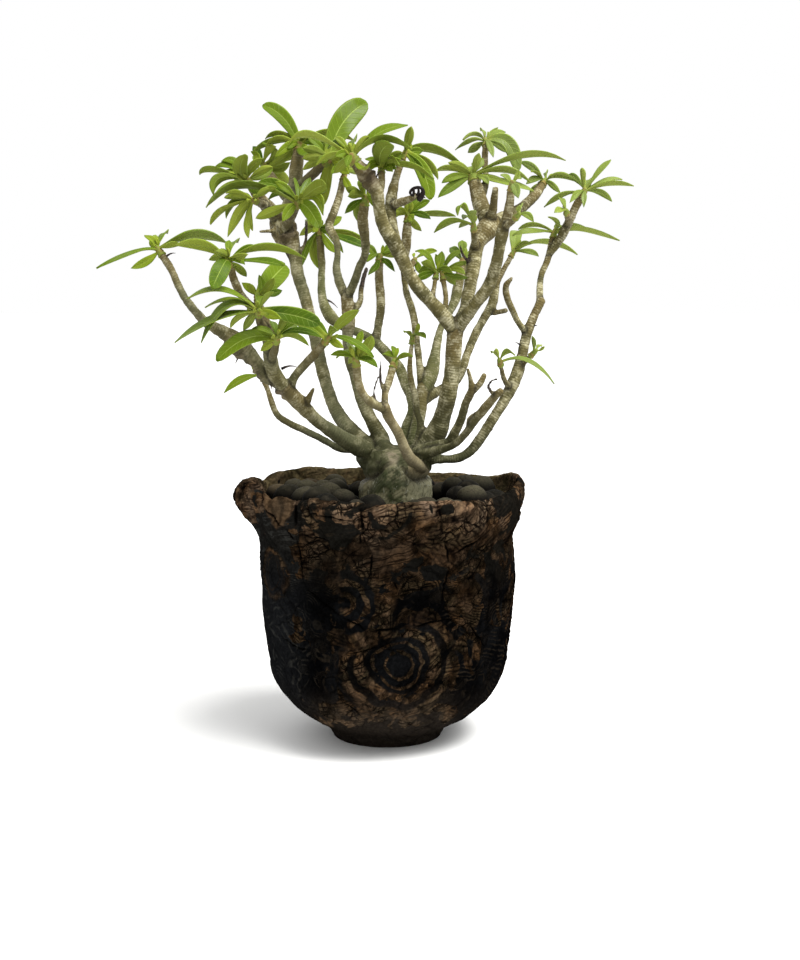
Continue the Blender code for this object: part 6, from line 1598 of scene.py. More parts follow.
def branch_colour(tree, place, marks):
    """The branches' bark with its scars and pits, painted shade on its undersides, and mossy near the foot.
    """
    x, _, z = tree.parts(place)
    uneven = tree.times(tree.add(tree.noise(place, 15.0, 2.0), -0.5), 44.0)
    low = tree.step(tree.add(z, uneven), 92.0, 124.0, 1.0, 0.0)
    colour, smooth = plain_bark(tree, place, marks.blotch, low)
    pale = tree.times(marks.pale, tree.lerp(low, 0.72, 0.36), tree.lerp(smooth, 1.0, 0.35))
    colour = tree.mix(pale, colour, PALE_SCAR)
    scarred = tree.step(tree.add(x, tree.times(marks.blotch, 24.0)), 14.0, 44.0, 0.14, 0.26)
    colour = tree.mix(tree.times(marks.dark, scarred), colour, DARK_SCAR)
    colour = tree.mix(tree.times(tree.step(marks.fleck, 0.26, 0.38, 1.0, 0.0), 0.5), colour, BARK_PIT)
    # Painted shade: darker where the surface faces down
    facing = tree.parts(tree.node("ShaderNodeNewGeometry").outputs["Normal"])[2]
    colour = tree.mix(tree.step(facing, -0.8, 0.3, 0.56, 0.0), colour, BARK_UNDERSIDE_SHADE)
    pale_run = tree.number("pale")
    mossy = tree.times(tree.step(z, 88.0, 101.0, 1.0, 0.0), tree.step(marks.blotch, 0.36, 0.56, 0.9, 0.64))
    colour = tree.mix(tree.times(mossy, tree.lerp(pale_run, 1.0, 0.2)), colour, MOSSY_BARK)
    return tree.mix(tree.times(pale_run, low, 0.5), colour, PALE_WOOD)


def caudex_skin(tree, place, ribs):
    """The caudex's grey-green skin, mossy at the front, where it peels, and with painted shade in its crease
    under the branches' feet.
    """
    x = tree.parts(place)[0]
    from_moss = tree.vector("MULTIPLY", tree.vector("SUBTRACT", place, MOSS_CENTRE), MOSS_SPREAD)
    mossy = tree.step(tree.vector("LENGTH", from_moss), 0.4, 1.3, 0.1, -0.06)
    moss = tree.step(tree.add(tree.noise(tree.warped(place, 5.0, 1.5), 4.6, 4.0, 0.62), mossy), 0.42, 0.6)
    skin = tree.mix(moss, *SKIN)
    skin = tree.mix(tree.step(x, 3.0, 12.0, 0.0, 0.55), skin, SKIN_RIGHT)
    skin = tree.mix(tree.step(x, -7.0, -1.0, 0.5, 0.0), skin, SKIN_LEFT)
    edge = tree.math("ABSOLUTE", tree.add(tree.noise(tree.warped(ribs, 2.0, 0.9), 2.6, 3.0), -0.5))
    peeling = tree.times(tree.step(edge, 0.0, 0.022, 1.0, 0.0),
                         tree.step(tree.noise(place, 3.5, 2.0), 0.45, 0.58))
    skin = tree.mix(tree.times(peeling, tree.step(x, 0.0, 9.0, 0.6, 0.8)), skin, SKIN_PEEL)
    grime = tree.step(tree.noise(ribs, 1.2, 4.0, 0.65), 0.36, 0.5, 1.0, 0.0)
    skin = tree.mix(tree.times(grime, 0.6), skin, SKIN_GRIME)
    # Painted shade in the crease between the caudex and the branches' feet
    return tree.mix(tree.times(tree.number("crease_shade"), 0.85), skin, SKIN_CREASE_SHADE), peeling


def bare_patch(tree, place):
    """Where the wood above the moss is bare and tan."""
    off = tree.vector("MULTIPLY", tree.vector("SUBTRACT", place, TAN_PATCH), TAN_SPREAD)
    return tree.times(tree.step(tree.vector("LENGTH", off), 0.3, 1.2, 1.0, 0.0),
                      tree.step(tree.noise(place, 2.2, 3.0), 0.36, 0.58, 0.15, 0.75),
                      tree.lerp(tree.number("pale"), 1.0, 0.0))


def with_hollow_shade_and_dead_parts(tree, colour, marks):
    """The colour with painted shade in the hollows between branches and in the nicks, and with dead knobs and
    dead twigs laid over it.
    """
    # Painted shade in the hollows between branches and in the nicks
    colour = tree.mix(tree.times(tree.number("hollow_shade"), 0.8), colour, HOLLOW_SHADE)
    husk = tree.mix(tree.step(marks.blotch, 0.42, 0.6), *HUSK)
    colour = tree.mix(tree.times(tree.number("knob"), 0.85), colour, husk)
    return tree.mix(tree.number("dead"), colour, tree.mix(tree.step(marks.fleck, 0.4, 0.6), *TWIG))


def bark_material():
    """Grey-brown bark with broken pale ring scars, grey-green and mossy below, peeling on the caudex."""
    material, tree, shader = shader_tree("bark")
    place = tree.object_place()
    caudex = tree.number("caudex")
    marks = bark_marks(tree, place)
    ribs = tree.vector("MULTIPLY", tree.warped(place, 4.0, 1.3), (1.0, 1.0, 0.4))
    skin, peeling = caudex_skin(tree, place, ribs)
    colour = tree.mix(caudex, branch_colour(tree, place, marks), skin)
    colour = tree.mix(bare_patch(tree, place), colour, BARE_WOOD)
    tree.feed(shader.inputs["Base Color"], with_hollow_shade_and_dead_parts(tree, colour, marks))
    tree.feed(shader.inputs["Roughness"], tree.lerp(caudex, 0.78, 0.55))
    shader.inputs["Specular IOR Level"].default_value = 0.14
    height = tree.add(tree.times(marks.ring, 0.14), tree.times(marks.fleck, 0.7),
                      tree.times(marks.dark, -0.3), tree.times(peeling, caudex, 0.8),
                      tree.times(tree.noise(ribs, 1.4, 3.0), caudex, 1.2))
    tree.feed(shader.inputs["Normal"], tree.bump(height, 0.2, 1.0))
    return material


# The leaves' colours: pairs are the two ends that the tone or noise mixes
UPPER_GREEN = (rgb(0.02, 0.048, 0.003), rgb(0.088, 0.13, 0.008))
UPPER_LIGHT = rgb(0.18, 0.22, 0.016)
UPPER_CLOUD = rgb(0.078, 0.122, 0.009)
LEAF_EDGE = rgb(0.21, 0.26, 0.045)
LOWER_GREEN = (rgb(0.088, 0.12, 0.016), rgb(0.185, 0.215, 0.026))
RIGHT_GREEN = rgb(0.2, 0.24, 0.062)
LEAF_VEIN = rgb(0.2, 0.29, 0.035)
LEAF_RIB = rgb(0.26, 0.33, 0.07)
LEAF_BASE = rgb(0.26, 0.27, 0.04)
SHOOT = (rgb(0.13, 0.165, 0.03), rgb(0.17, 0.125, 0.04))
CAPSULE_BLACK = (rgb(0.0025, 0.002, 0.002), rgb(0.012, 0.008, 0.007))


def blade_colour(tree, place, spread):
    """The blade's green above and below, lighter at its edge, and at the plant's right."""
    tone = tree.number("tone")
    upper = tree.mix(tree.step(tone, 0.0, 0.6), *UPPER_GREEN)
    upper = tree.mix(tree.step(tone, 0.55, 1.0), upper, UPPER_LIGHT)
    cloudy = tree.step(tree.noise(place, 5.0, 3.0), 0.35, 0.68)
    upper = tree.mix(tree.times(cloudy, 0.35), upper, UPPER_CLOUD)
    upper = tree.mix(tree.times(tree.step(spread, 0.82, 1.0), 0.55), upper, LEAF_EDGE)
    blade = tree.mix(tree.number("under"), upper, tree.mix(tone, *LOWER_GREEN))
    return tree.mix(tree.step(tree.parts(place)[0], 12.0, 34.0, 0.0, 0.45), blade, RIGHT_GREEN)


def leaf_material():
    """Glossy blades with a pale midrib and fine veins, duller beneath, on soft shoots."""
    material, tree, shader = shader_tree("leaf")
    place = tree.object_place()
    along, under, stem = (tree.number(name) for name in ("along", "under", "stem"))
    spread = tree.math("ABSOLUTE", tree.number("side"))
    blade = blade_colour(tree, place, spread)
    slant = tree.times(tree.add(along, tree.times(spread, -0.13)), 62.0)
    veins = tree.times(tree.step(tree.math("SINE", slant), 0.72, 1.0), tree.step(spread, 0.9, 0.98, 1.0, 0.0))
    blade = tree.mix(tree.times(veins, 0.16), blade, LEAF_VEIN)
    rib = tree.step(spread, 0.015, 0.08, 1.0, 0.0)
    blade = tree.mix(tree.times(rib, tree.step(along, 0.8, 1.0, 0.55, 0.1)), blade, LEAF_RIB)
    blade = tree.mix(tree.times(tree.step(along, 0.0, 0.2, 1.0, 0.0), 0.55), blade, LEAF_BASE)
    shoot = tree.mix(tree.step(tree.noise(place, 1.6, 3.0), 0.4, 0.62), *SHOOT)
    tree.feed(shader.inputs["Base Color"], tree.mix(stem, blade, shoot))
    tree.feed(shader.inputs["Roughness"], tree.lerp(tree.math("MAXIMUM", under, stem), 0.42, 0.65))
    tree.feed(shader.inputs["Specular IOR Level"], tree.step(tree.noise(place, 14.0), 0.5, 0.64, 0.03, 0.18))
    shader.inputs["Subsurface Weight"].default_value = 0.08
    shader.inputs["Subsurface Radius"].default_value = (0.6, 1.0, 0.2)
    shader.inputs["Subsurface Scale"].default_value = 0.0012
    height = tree.add(tree.times(veins, 0.7), tree.times(rib, -0.9),
                      tree.times(tree.noise(place, 1.2, 3.0), 0.5))
    tree.feed(shader.inputs["Normal"], tree.bump(height, 0.14, 0.7))
    return material


def capsule_material():
    """Nearly black, glossy dried husk."""
    material, tree, shader = shader_tree("dried_capsule")
    place = tree.object_place()
    streak = tree.noise(tree.warped(place, 1.5, 0.6), 0.8, 3.0)
    tree.feed(shader.inputs["Base Color"], tree.mix(streak, *CAPSULE_BLACK))
    shader.inputs["Roughness"].default_value = 0.3
    shader.inputs["Specular IOR Level"].default_value = 0.1
    tree.feed(shader.inputs["Normal"], tree.bump(streak, 0.2, 0.7))
    return material


def floor_material():
    material, _, shader = shader_tree("pale_floor")
    shader.inputs["Base Color"].default_value = rgb(0.82, 0.82, 0.81)
    shader.inputs["Roughness"].default_value = 0.75
    return material


def rim_drop(azimuth):
    """How much lower the rim is at this azimuth, besides its wave."""
    return sum(drop * math.exp(-(turn_from(azimuth, middle) / half_width) ** 4)
               for middle, half_width, drop in RIM_DROPS)


def pot_section():
    """The pot's smooth section from the foot over the rim and down inside: radius, z, lumpiness, relief."""
    outside = [(FOOT_RADIUS, 0.0, 0.0, 0.0)]
    outside += [(radius, z, 1.0, min(1.0, z / FOOT_SHARE_UNTIL)) for z, radius in POT_OUTSIDE]
    (edge_z, edge_radius), (lip_z, lip_radius) = POT_CREST
    crest = [(edge_radius, edge_z, 1.0, 1.0), (lip_radius, lip_z, 0.4, 0.8)]
    inside = [(radius, z, 0.0, 0.4 if z > BED_TOP else 0.0) for z, radius in POT_INSIDE]
    seen = smooth_through(outside + crest + inside[:2], POT_PITCH, 2)
    return seen + inside[2:]


def fine_pot():
    """The pot's wall as a close grid round its section, cracked and swollen, with its drain holes."""
    points, rings, reliefs = [], [], []
    for radius, z, lumpiness, relief in pot_section():
        rings.append(len(points))
        rim_share = max(0.0, z - RIM_WAVE_FROM) / (POT_CREST[0][0] - RIM_WAVE_FROM)
        for column in range(POT_COLUMNS):
            azimuth = 360 * column / POT_COLUMNS
            turn = math.radians(azimuth)
            out = radius + lumpiness * (lump_height(azimuth, z) + swellings(azimuth, z, RIM_DETAILS))
            rise = rim_share * (rim_wave(azimuth) - rim_drop(azimuth))
            points.append((out * math.cos(turn), out * math.sin(turn), z + rise))
            reliefs.append(relief)
    faces = bridge_rings(rings, POT_COLUMNS)
    faces.append(tuple(range(POT_COLUMNS)))
    faces.append(tuple(range(rings[-1], rings[-1] + POT_COLUMNS)))
    pot = new_object("marbled_pot", points, faces)
    face_outwards(pot)
    store(pot, "relief", reliefs)
    relief_modifier(pot)
    freeze(pot)
    drill_drain_holes(pot)
    return pot


def drill_drain_holes(pot):
    """Cut the holes in the foot with one Boolean."""
    verts, faces = [], []
    for k in range(DRAIN_HOLES):
        turn = 2 * math.pi * (k + 0.5) / DRAIN_HOLES
        place = Vector((DRAIN_RING_RADIUS * math.cos(turn), DRAIN_RING_RADIUS * math.sin(turn), 0))
        ends = [place - Vector((0, 0, 2)), place + Vector((0, 0, FLOOR_Z + 2))]
        join(verts, faces, tube_mesh(ends, [DRAIN_RADIUS, DRAIN_RADIUS], DRAIN_SIDES))
    drill = new_object("drain_drill", verts, faces)
    face_outwards(drill)
    cut = pot.modifiers.new("drain_holes", "BOOLEAN")
    cut.operation = "DIFFERENCE"
    cut.solver = "EXACT"
    cut.object = drill
    freeze(pot)
    bpy.data.objects.remove(drill)


def ball_into(shape, layers, place, radius, tone, painted_shade):
    """Add one lumpy ball to a bmesh, with its tone, and its painted shade, which deepens towards its
    underside.
    """
    made = bmesh.ops.create_icosphere(shape, subdivisions=BALL_SUBDIVISIONS, radius=1.0)
    centre = Vector(place)
    squash = Vector((1.0 + 0.06 * math.sin(5 * centre.x), 1.0 + 0.06 * math.cos(7 * centre.y), 0.97))
    for vert in made["verts"]:
        out = vert.co.normalized()
        lump = 1 + BALL_NOISE * noise.noise(out * 1.3 + centre) + 0.05 * noise.noise(out * 4.0 + centre)
        spot = centre + Vector(out[i] * squash[i] for i in range(3)) * (radius * lump)
        vert.co = spot * METRES_PER_MM
        vert[layers[0]] = tone
        # Painted shade: the given share at least, and more towards the ball's underside
        vert[layers[1]] = max(painted_shade, 1 - eased(out.z, 0.2, 1.0))


def fine_balls():
    """The top dressing: clay balls lying two deep on the growing medium, lower at the back."""
    draw = random.Random(TONE_SEED)
    shape = bmesh.new()
    layers = [shape.verts.layers.float.new(name) for name in ("tone", "painted_shade")]
    half_x, half_y = (half + LOWER_BALL_RADIUS for half in caudex_radii(80))
    for x, y, z, radius in pebble_places():
        before_caudex = eased(x, -14.0, -6.0) * (1 - eased(x, 12.0, 20.0)) * (1 - eased(y, -14.0, -8.0))
        drop = BALL_DROP * eased(y, -8.0, 20.0) * (1 - 0.7 * eased(x, 4.0, 16.0))
        sunk = draw.random() < SUNK_BALLS and not (x < OPEN_LEFT and y < OPEN_FRONT)
        drop = max(drop + draw.uniform(*(SUNK_DROPS if sunk else LEVEL_DROPS)), FRONT_DROP * before_caudex)
        size = radius * draw.uniform(*BALL_SIZES)
        ball_into(shape, layers, (x, y, z - drop), size, draw.random(), SUNK_SHADE if sunk else 0.0)
        lower_x = x + PEBBLE_SPACING / 2
        lower_y = y + PEBBLE_SPACING / (2 * math.sqrt(3))
        beside = math.hypot((lower_x - CAUDEX_X) / half_x, (lower_y - CAUDEX_Y) / half_y)
        if beside > 1 and math.hypot(lower_x, lower_y) < PEBBLE_LIMIT_RADIUS - LOWER_BALL_RADIUS:
            lower = (lower_x, lower_y, z - drop - LOWER_BALL_DROP)
            ball_into(shape, layers, lower, LOWER_BALL_RADIUS, draw.random(), LOWER_BALL_SHADE)
    mesh = bpy.data.meshes.new("baked_clay_balls")
    shape.to_mesh(mesh)
    shape.free()
    return link_new("baked_clay_balls", mesh)


def wood_skeleton(paths):
    """Each run as close points in space: its name, points, radii and distances from its tip."""
    runs = []
    stubs = {}
    for name, (run, x, z, tip_x, tip_z, radius) in STUBS.items():
        depth = nearest_on_run(paths[run], x, z)[2]
        stubs[name] = [(x, z, depth, radius), (tip_x, tip_z, depth - SPUR_LEAN, 0.9 * radius)]
    for name, path in {**paths, **stubs}.items():
        replaced, root = ROOTS.get(name, (0, ()))
        path = [*root, *path[replaced:]]
        fine = smooth_through(path, WOOD_STEP, 3)
        fine = fine[:len(fine) - CAPSULE_TRIM] if name == "capsule_stalk" else fine
        points, radii = [], []
        for x, z, depth, radius in fine:
            point, scale = sight(x, z, depth)
            points.append(point)
            radii.append(radius * scale)
        left = [0.0]
        for point, after in zip(reversed(points[:-1]), reversed(points)):
            left.append(left[-1] + (after - point).length)
        left.reverse()
        runs.append((name, points, radii, left))
    return runs


def rounded_end(points, radii):
    """The run with a domed tip in place of its flat end."""
    tip, radius = points[-1], radii[-1]
    direction = (tip - points[-2]).normalized()
    dome = [tip + direction * (radius * share) for share, _ in TIP_DOME]
    return points + dome, radii + [radius * width for _, width in TIP_DOME]


def caudex_mesh():
    """The swollen base as a smooth stack of rings, with low ribs down its sides."""
    knots = [(half_x * CAUDEX_SLIMMING, half_y, z)
             for z, half_x, half_y in CAUDEX_RINGS if z < CAUDEX_SKIN_TOP] + CAUDEX_SHOULDER
    verts, rings = [], []
    for half_x, half_y, z in smooth_through(knots, CAUDEX_PITCH, 3):
        rings.append(len(verts))
        for k in range(CAUDEX_SIDES):
            turn = 2 * math.pi * k / CAUDEX_SIDES
            rib = 1 + 0.035 * math.sin(5 * turn + z / 9) + 0.02 * math.sin(11 * turn - z / 6)
            x = CAUDEX_X + half_x * rib * math.cos(turn)
            verts.append((x, CAUDEX_Y + half_y * rib * math.sin(turn), z))
    faces = bridge_rings(rings, CAUDEX_SIDES)
    faces.append(tuple(range(CAUDEX_SIDES)))
    faces.append(tuple(range(rings[-1], rings[-1] + CAUDEX_SIDES)))
    return verts, faces


def fine_wood(paths):
    """Caudex and branches as one skin, with ring scars, and numbers on it for the bark's material."""
    skeleton = wood_skeleton(paths)
    verts, faces = caudex_mesh()
    for _, points, radii, _ in skeleton:
        join(verts, faces, tube_mesh(*rounded_end(points, radii), WOOD_TUBE_SIDES))
    wood = new_object("bark_covered_wood", verts, faces)
    face_outwards(wood)
    remesh = wood.modifiers.new("one_skin", "REMESH")
    remesh.mode = "VOXEL"
    remesh.voxel_size = WOOD_VOXEL * METRES_PER_MM
    soften = wood.modifiers.new("soften", "SMOOTH")
    soften.factor = 0.5
    soften.iterations = WOOD_SMOOTHING
    freeze(wood)
    score_bark(wood, skeleton)
    return wood


def crease_height(azimuth):
    """The height of the fold between the caudex and the branches' feet at this azimuth in radians."""
    rise = CREASE_RISE * math.exp(-((math.degrees(azimuth) + 92) / 25) ** 2)
    return CREASE_Z + rise + 0.7 * math.sin(3 * azimuth + 1.0)


# A point on a run's path, with its radius, its distance from the tip, and the run's points and name
WoodPoint = namedtuple("WoodPoint", "point radius left points index name")


def hollow_share(spot, hits, places, own):
    """How deep a place lies between its own run of wood and another that leans away from it."""
    share = 0.0
    for _, index, away in hits:
        other = places[index]
        if other.name != own.name:
            apart = (spot - own.point).normalized().dot((spot - other.point).normalized())
            beside = 1 - eased(away - other.radius, 0.0, HOLLOW_REACH)
            share = max(share, beside * (1 - eased(apart, 0.25, 0.8)))
    return share


def caudex_shares(spot):
    """How much a place belongs to the caudex, its crease and the branches' foot, and its height."""
    half_x, half_y = caudex_radii(spot.z)
    off_x, off_y = spot.x - CAUDEX_X, spot.y - CAUDEX_Y
    beside = math.hypot(off_x / half_x, off_y / half_y)
    azimuth = math.atan2(off_y, off_x)
    above = spot.z - crease_height(azimuth)
    fold = math.exp(-(above / 0.9) ** 2) * (1 - eased(beside, 1.15, 1.4))
    fold *= 1 - 0.8 * math.exp(-((math.degrees(azimuth) + 86) / 20) ** 2)
    base = (1 - eased(above, 0.0, 2.0)) * (1 - eased(beside, 1.1, 1.35))
    foot = (1 - eased(spot.z, 92.0, 98.0)) * (1 - base) * (1 - eased(beside, 1.1, 1.5))
    return base, fold, foot, above


def bark_relief(spot, run_left, own, foot):
    """How far the bark stands out: ring scars, swellings along the run, lumps, and furrows near the foot."""
    ring = noise.noise(Vector((run_left, 0.0, 0.0)) / SCAR_PITCH * 1.3 + spot * 0.12)
    swell = noise.noise(Vector((run_left / 5.0, 0.5, len(own.points))))
    bark = SCAR_DEPTH * ring + 0.08 * own.radius * swell
    bark += 0.14 * noise.noise(spot / 2.4)
    bark += 0.05 * noise.noise(spot / 0.9)
    return bark + foot * 0.6 * (0.45 - abs(noise.noise(spot / 3.4)) * 2)


def skin_relief(spot, above):
    """How far the caudex's skin stands out: upright ribs, small lumps, and a roll below the crease."""
    skin = 0.5 * noise.noise(Vector((spot.x, spot.y, spot.z * 0.4)) / 3.2) + 0.3 * noise.noise(spot / 1.4)
    return skin + 0.3 * math.exp(-((above + 5.0) / 3.4) ** 2)


def knob_share(spot, run):
    """How far a place is inside one of its run's knobs."""
    return sum(mound(spot.x - x, spot.z - z, half_width, half_height)
               for x, z, half_width, half_height, knob_run in KNOBS if knob_run == run)


def nick_share(spot, run):
    """How deep a place lies in one of the front's nicks, which leave the pale runs out."""
    nick = sum(mound(spot.x - x, spot.z - z, half_width, half_height)
               for x, z, half_width, half_height in NICKS)
    return 0.0 if run in PALE_RUNS else nick * (1 - eased(spot.y, -6.0, -3.0))


def score_bark(wood, skeleton):
    """Move the skin in and out by scars, folds, knobs and nicks, and store what the bark's material reads."""
    places = [WoodPoint(point, radii[i], left[i], points, i, name)
              for name, points, radii, left in skeleton for i, point in enumerate(points)]
    tree = KDTree(len(places))
    for index, place in enumerate(places):
        tree.insert(place.point, index)
    tree.balance()
    moved, marks = [], []
    for vert in wood.data.vertices:
        spot = vert.co / METRES_PER_MM
        hits = tree.find_n(spot, BARK_NEIGHBOURS)
        own = places[min(hits, key=lambda hit: hit[2] - places[hit[1]].radius)[1]]
        ahead = own.points[min(own.index + 1, len(own.points) - 1)] - own.points[max(own.index - 1, 0)]
        run_left = own.left - (spot - own.point).dot(ahead.normalized())
        base, fold, foot, above = caudex_shares(spot)
        knob = knob_share(spot, own.name)
        nick = nick_share(spot, own.name)
        slender = min(1.0, own.radius / 1.5)
        push = (1 - base) * slender * bark_relief(spot, run_left, own, foot)
        push += base * skin_relief(spot, above)
        push -= CREASE_DEPTH * fold
        push += knob * (KNOB_RISE + KNOB_LUMPS * noise.noise(spot / 1.8))
        waist = WAIST_DEPTH * math.exp(-((spot.z - WAIST_Z) / 3.2) ** 2) * eased(-spot.x, 4.0, 8.0)
        push -= NICK_DEPTH * nick + waist
        moved.append(spot + vert.normal * push)
        marks.append({
            "along": run_left, "youth": 1 - eased(run_left, 2.0, YOUNG_LENGTH), "caudex": base,
            "dead": 0.95 * (1 - eased(run_left, 6.0, 9.0)) if own.name in DEAD_RUNS else 0.0,
            # Painted shade in the crease, for the material
            "crease_shade": fold, "knob": min(1.0, knob),
            # Painted shade for the material: deep in a nick or between two runs of wood
            "hollow_shade": max(nick, hollow_share(spot, hits, places, own) * (1 - base)),
            "pale": float(own.name in PALE_RUNS), "green": float(own.name in GREEN_RUNS),
        })
    wood.data.vertices.foreach_set("co", [value * METRES_PER_MM for spot in moved for value in spot])
    wood.data.update()
    for name in marks[0]:
        store(wood, name, [mark[name] for mark in marks])


def slimming(aim):
    """How much slimmer than its CAD blade a leaf is drawn."""
    root, _, tip, _, seen_width = aim
    if tip.x < FAR_TIP or tip.x > LOW_TIP_FROM and tip.z < LOW_TIP_UNTIL:
        return FAR_SLIMMING
    if seen_width > BROAD_LEAF or (tip - root).length < SMALL_LEAF:
        return 1.0
    return RIGHT_SLIMMING if tip.x > RIGHT_FROM else LEAF_SLIMMING


def fine_blade(aim, draw):
    """A smooth glossy blade for one aimed leaf: points, faces, and (along, side, under) of each point."""
    root, middle, tip, width, seen_width = aim
    side = blade_side(aim)
    slimness = slimming(aim)
    fullness = BROAD_FULLNESS if seen_width > BROAD_LEAF else 1.0
    ripple_turn = draw.uniform(0, 2 * math.pi)
    ripple = draw.uniform(0.1, 0.35)
    verts, marks, rows = [], [], []
    for station in range(BLADE_STATIONS + 1):
        u = station / BLADE_STATIONS
        u = u * (1.25 - 0.25 * u)
        centre, tangent = blade_curve(root, middle, tip, min(1.0, u))
        across = (side - tangent * side.dot(tangent)).normalized()
        face = across.cross(tangent)
        half_width = between(LEAF_OUTLINE, u) ** fullness * width * slimness / 2
        thick = LEAF_THICKNESS / 2 * (0.55 + 0.45 * (1 - u))
        row = []
        for layer in (1, -1):
            columns = range(-BLADE_COLUMNS, BLADE_COLUMNS + 1)
            for column in columns if layer == 1 else list(reversed(columns))[1:-1]:
                s = column / BLADE_COLUMNS
                s = math.copysign(abs(s) ** 0.85, s)
                curl = LEAF_FOLD * abs(s) ** 1.3 * half_width
                phase = 5.5 * u + ripple_turn + (1.4 if s > 0 else 0.0)
                wave = ripple * s * s * math.sin(phase) * eased(u, 0.1, 0.4)
                rib = math.exp(-(s / 0.12) ** 2)
                groove = 0.14 if layer == 1 else 0.3
                skin = layer * thick * (1 - 0.8 * s ** 4) - groove * rib * (1 - 0.6 * u)
                row.append(len(verts))
                verts.append(centre + across * (s * half_width) + face * (curl + wave + skin))
                marks.append((u, s, 0.0 if layer == 1 else 1.0))
        rows.append(row)
    size = len(rows[0])
    faces = bridge_rings([row[0] for row in rows], size)
    faces.append(tuple(reversed(rows[0])))
    faces.append(tuple(rows[-1]))
    return verts, faces, marks


def fine_shoot(foot, direction, length, radius):
    """The soft tip that carries the leaves, with low rings along it and a rounded end."""
    points, radii = [], []
    for step in range(FINE_SHOOT_STEPS + 1):
        share = step / FINE_SHOOT_STEPS
        points.append(foot + direction * (length * (share * 1.12 - 0.06)))
        swell = 1 + 0.07 * math.sin(share * 22)
        taper = 1.08 - 0.42 * share
        dome = math.sqrt(max(0.02, 1 - eased(share, 0.82, 1.0) ** 2))
        radii.append(radius * taper * swell * dome)
    return tube_mesh(points, radii, FINE_SHOOT_SIDES)


def bud_leaves(foot, direction, length, count, draw):
    """Small young leaves standing round the shoot's bud."""
    aims = []
    top = foot + direction * length
    out = direction.orthogonal().normalized()
    other = direction.cross(out)
    start = draw.uniform(0, 2 * math.pi)
    for k in range(count):
        turn = start + k * BUD_TURN
        lean = out * math.cos(turn) + other * math.sin(turn)
        reach = draw.uniform(2.2, 3.6)
        root = top - direction * 0.8 + lean * 0.3
        tip = top + direction * reach + lean * (reach * 0.45)
        middle = (root + tip) / 2 + lean * 0.35
        aims.append((root, middle, tip, reach * 0.42, reach * 0.42))
    return aims


def young_leaves(rosette, draw):
    """Rows for the small leaves drawn round a full rosette's heart, in the terms of its other leaves."""
    x, z = rosette.heart
    rows = []
    for _ in range(EXTRA_YOUNG if len(rosette.leaves) > 3 and YOUNG_FROM < x < YOUNG_UNTIL else 0):
        turn = draw.uniform(0, 2 * math.pi)
        reach = draw.uniform(*YOUNG_LEAVES)
        tip = (x + reach * math.cos(turn), z + reach * (0.55 * math.sin(turn) + 0.35))
        rows.append((*tip, draw.uniform(*YOUNG_WIDTHS), draw.choice((-1, 1))))
    return rows


def extra_aims(paths, placed):
    """More leaves for each rosette than its CAD node has, none of them through wood."""
    branch_trees = wood_trees(paths)
    draw = random.Random(EXTRA_SEED)
    extras = []
    for rosette, ((foot, direction, length, _), _) in zip(ROSETTES, placed):
        depth = paths[rosette.run][-1][2]
        tasks = [(leaf, 1.0) for leaf in EXTRA_LEAVES.get(rosette.run, ())]
        tasks += [(leaf, YOUNG_SWING) for leaf in young_leaves(rosette, draw)]
        found = []
        for leaf, swing_share in tasks:
            root = foot + direction * (length * draw.uniform(0.55, 0.95))
            tries = (aim_leaf(root, depth, rosette.heart, leaf, swing * swing_share, 0.0) for swing in SWINGS)
            aim = first_clear(tries, branch_trees)
            if aim:
                found.append(aim)
        extras.append(found)
    return extras


def rosette_leaves(frame, aims, more, draw):
    """Each leaf's aim with its tone: plain and mid green where it is high or far, pale in the bud."""
    foot, direction, length, _ = frame
    leaves = []
    for aim in aims:
        plain = aim[2].z > HIGH_LEAF or aim[2].x < FAR_TIP
        leaves.append((aim, PLAIN_TONE if plain else draw.uniform(0.1, 0.85)))
    leaves += [(aim, draw.uniform(0.25, 0.95)) for aim in more]
    count = BUD_LEAVES if len(aims) > 3 and foot.x < RIGHT_FROM else 1
    buds = bud_leaves(foot, direction, length, count, draw)
    return leaves + [(aim, draw.uniform(0.8, 1.0)) for aim in buds]


def fine_rosettes(paths, material):
    """One piece for each leafy tip: its shoot, its leaves and its bud."""
    draw = random.Random(TONE_SEED)
    placed = place_leaves(paths)
    for number, ((frame, aims), more) in enumerate(zip(placed, extra_aims(paths, placed)), start=1):
        verts, faces = fine_shoot(*frame)
        marks = [(0.0, 0.0, 0.0, 0.5, 1.0)] * len(verts)
        for aim, tone in rosette_leaves(frame, aims, more, draw):
            blade_verts, blade_faces, blade_marks = fine_blade(aim, draw)
            join(verts, faces, (blade_verts, blade_faces))
            marks += [(*mark, tone, 0.0) for mark in blade_marks]
        piece = new_object(f"leafy_tip_{number:02d}", verts, faces)
        face_outwards(piece)
        for index, layer in enumerate(("along", "side", "under", "tone", "stem")):
            store(piece, layer, [mark[index] for mark in marks])
        finish_piece(piece, material, "leaf", f"leaf_rosette_{number:02d}")


def dried_capsule(paths):
    """The dried seed capsule at the end of its stalk, split into glossy curled strips."""
    x, z, depth, _ = paths["capsule_stalk"][-1]
    verts, faces = [], []
    for number, strip in enumerate(CAPSULE_STRIPS):
        knots = []
        for off_x, off_z, radius in strip:
            spot, _ = sight(x + off_x, z + off_z, depth - CAPSULE_STEP * number)
            knots.append((*spot, radius))
        points, radii = [], []
        for *spot, radius in smooth_through(knots, CAPSULE_PITCH, 3):
            points.append(Vector(spot))
            radii.append(radius)
        join(verts, faces, tube_mesh(points, radii, CAPSULE_SIDES))
    piece = new_object("dried_seed_capsule", verts, faces)
    face_outwards(piece)
    finish_piece(piece, capsule_material(), "bark", "caudex_and_branches")


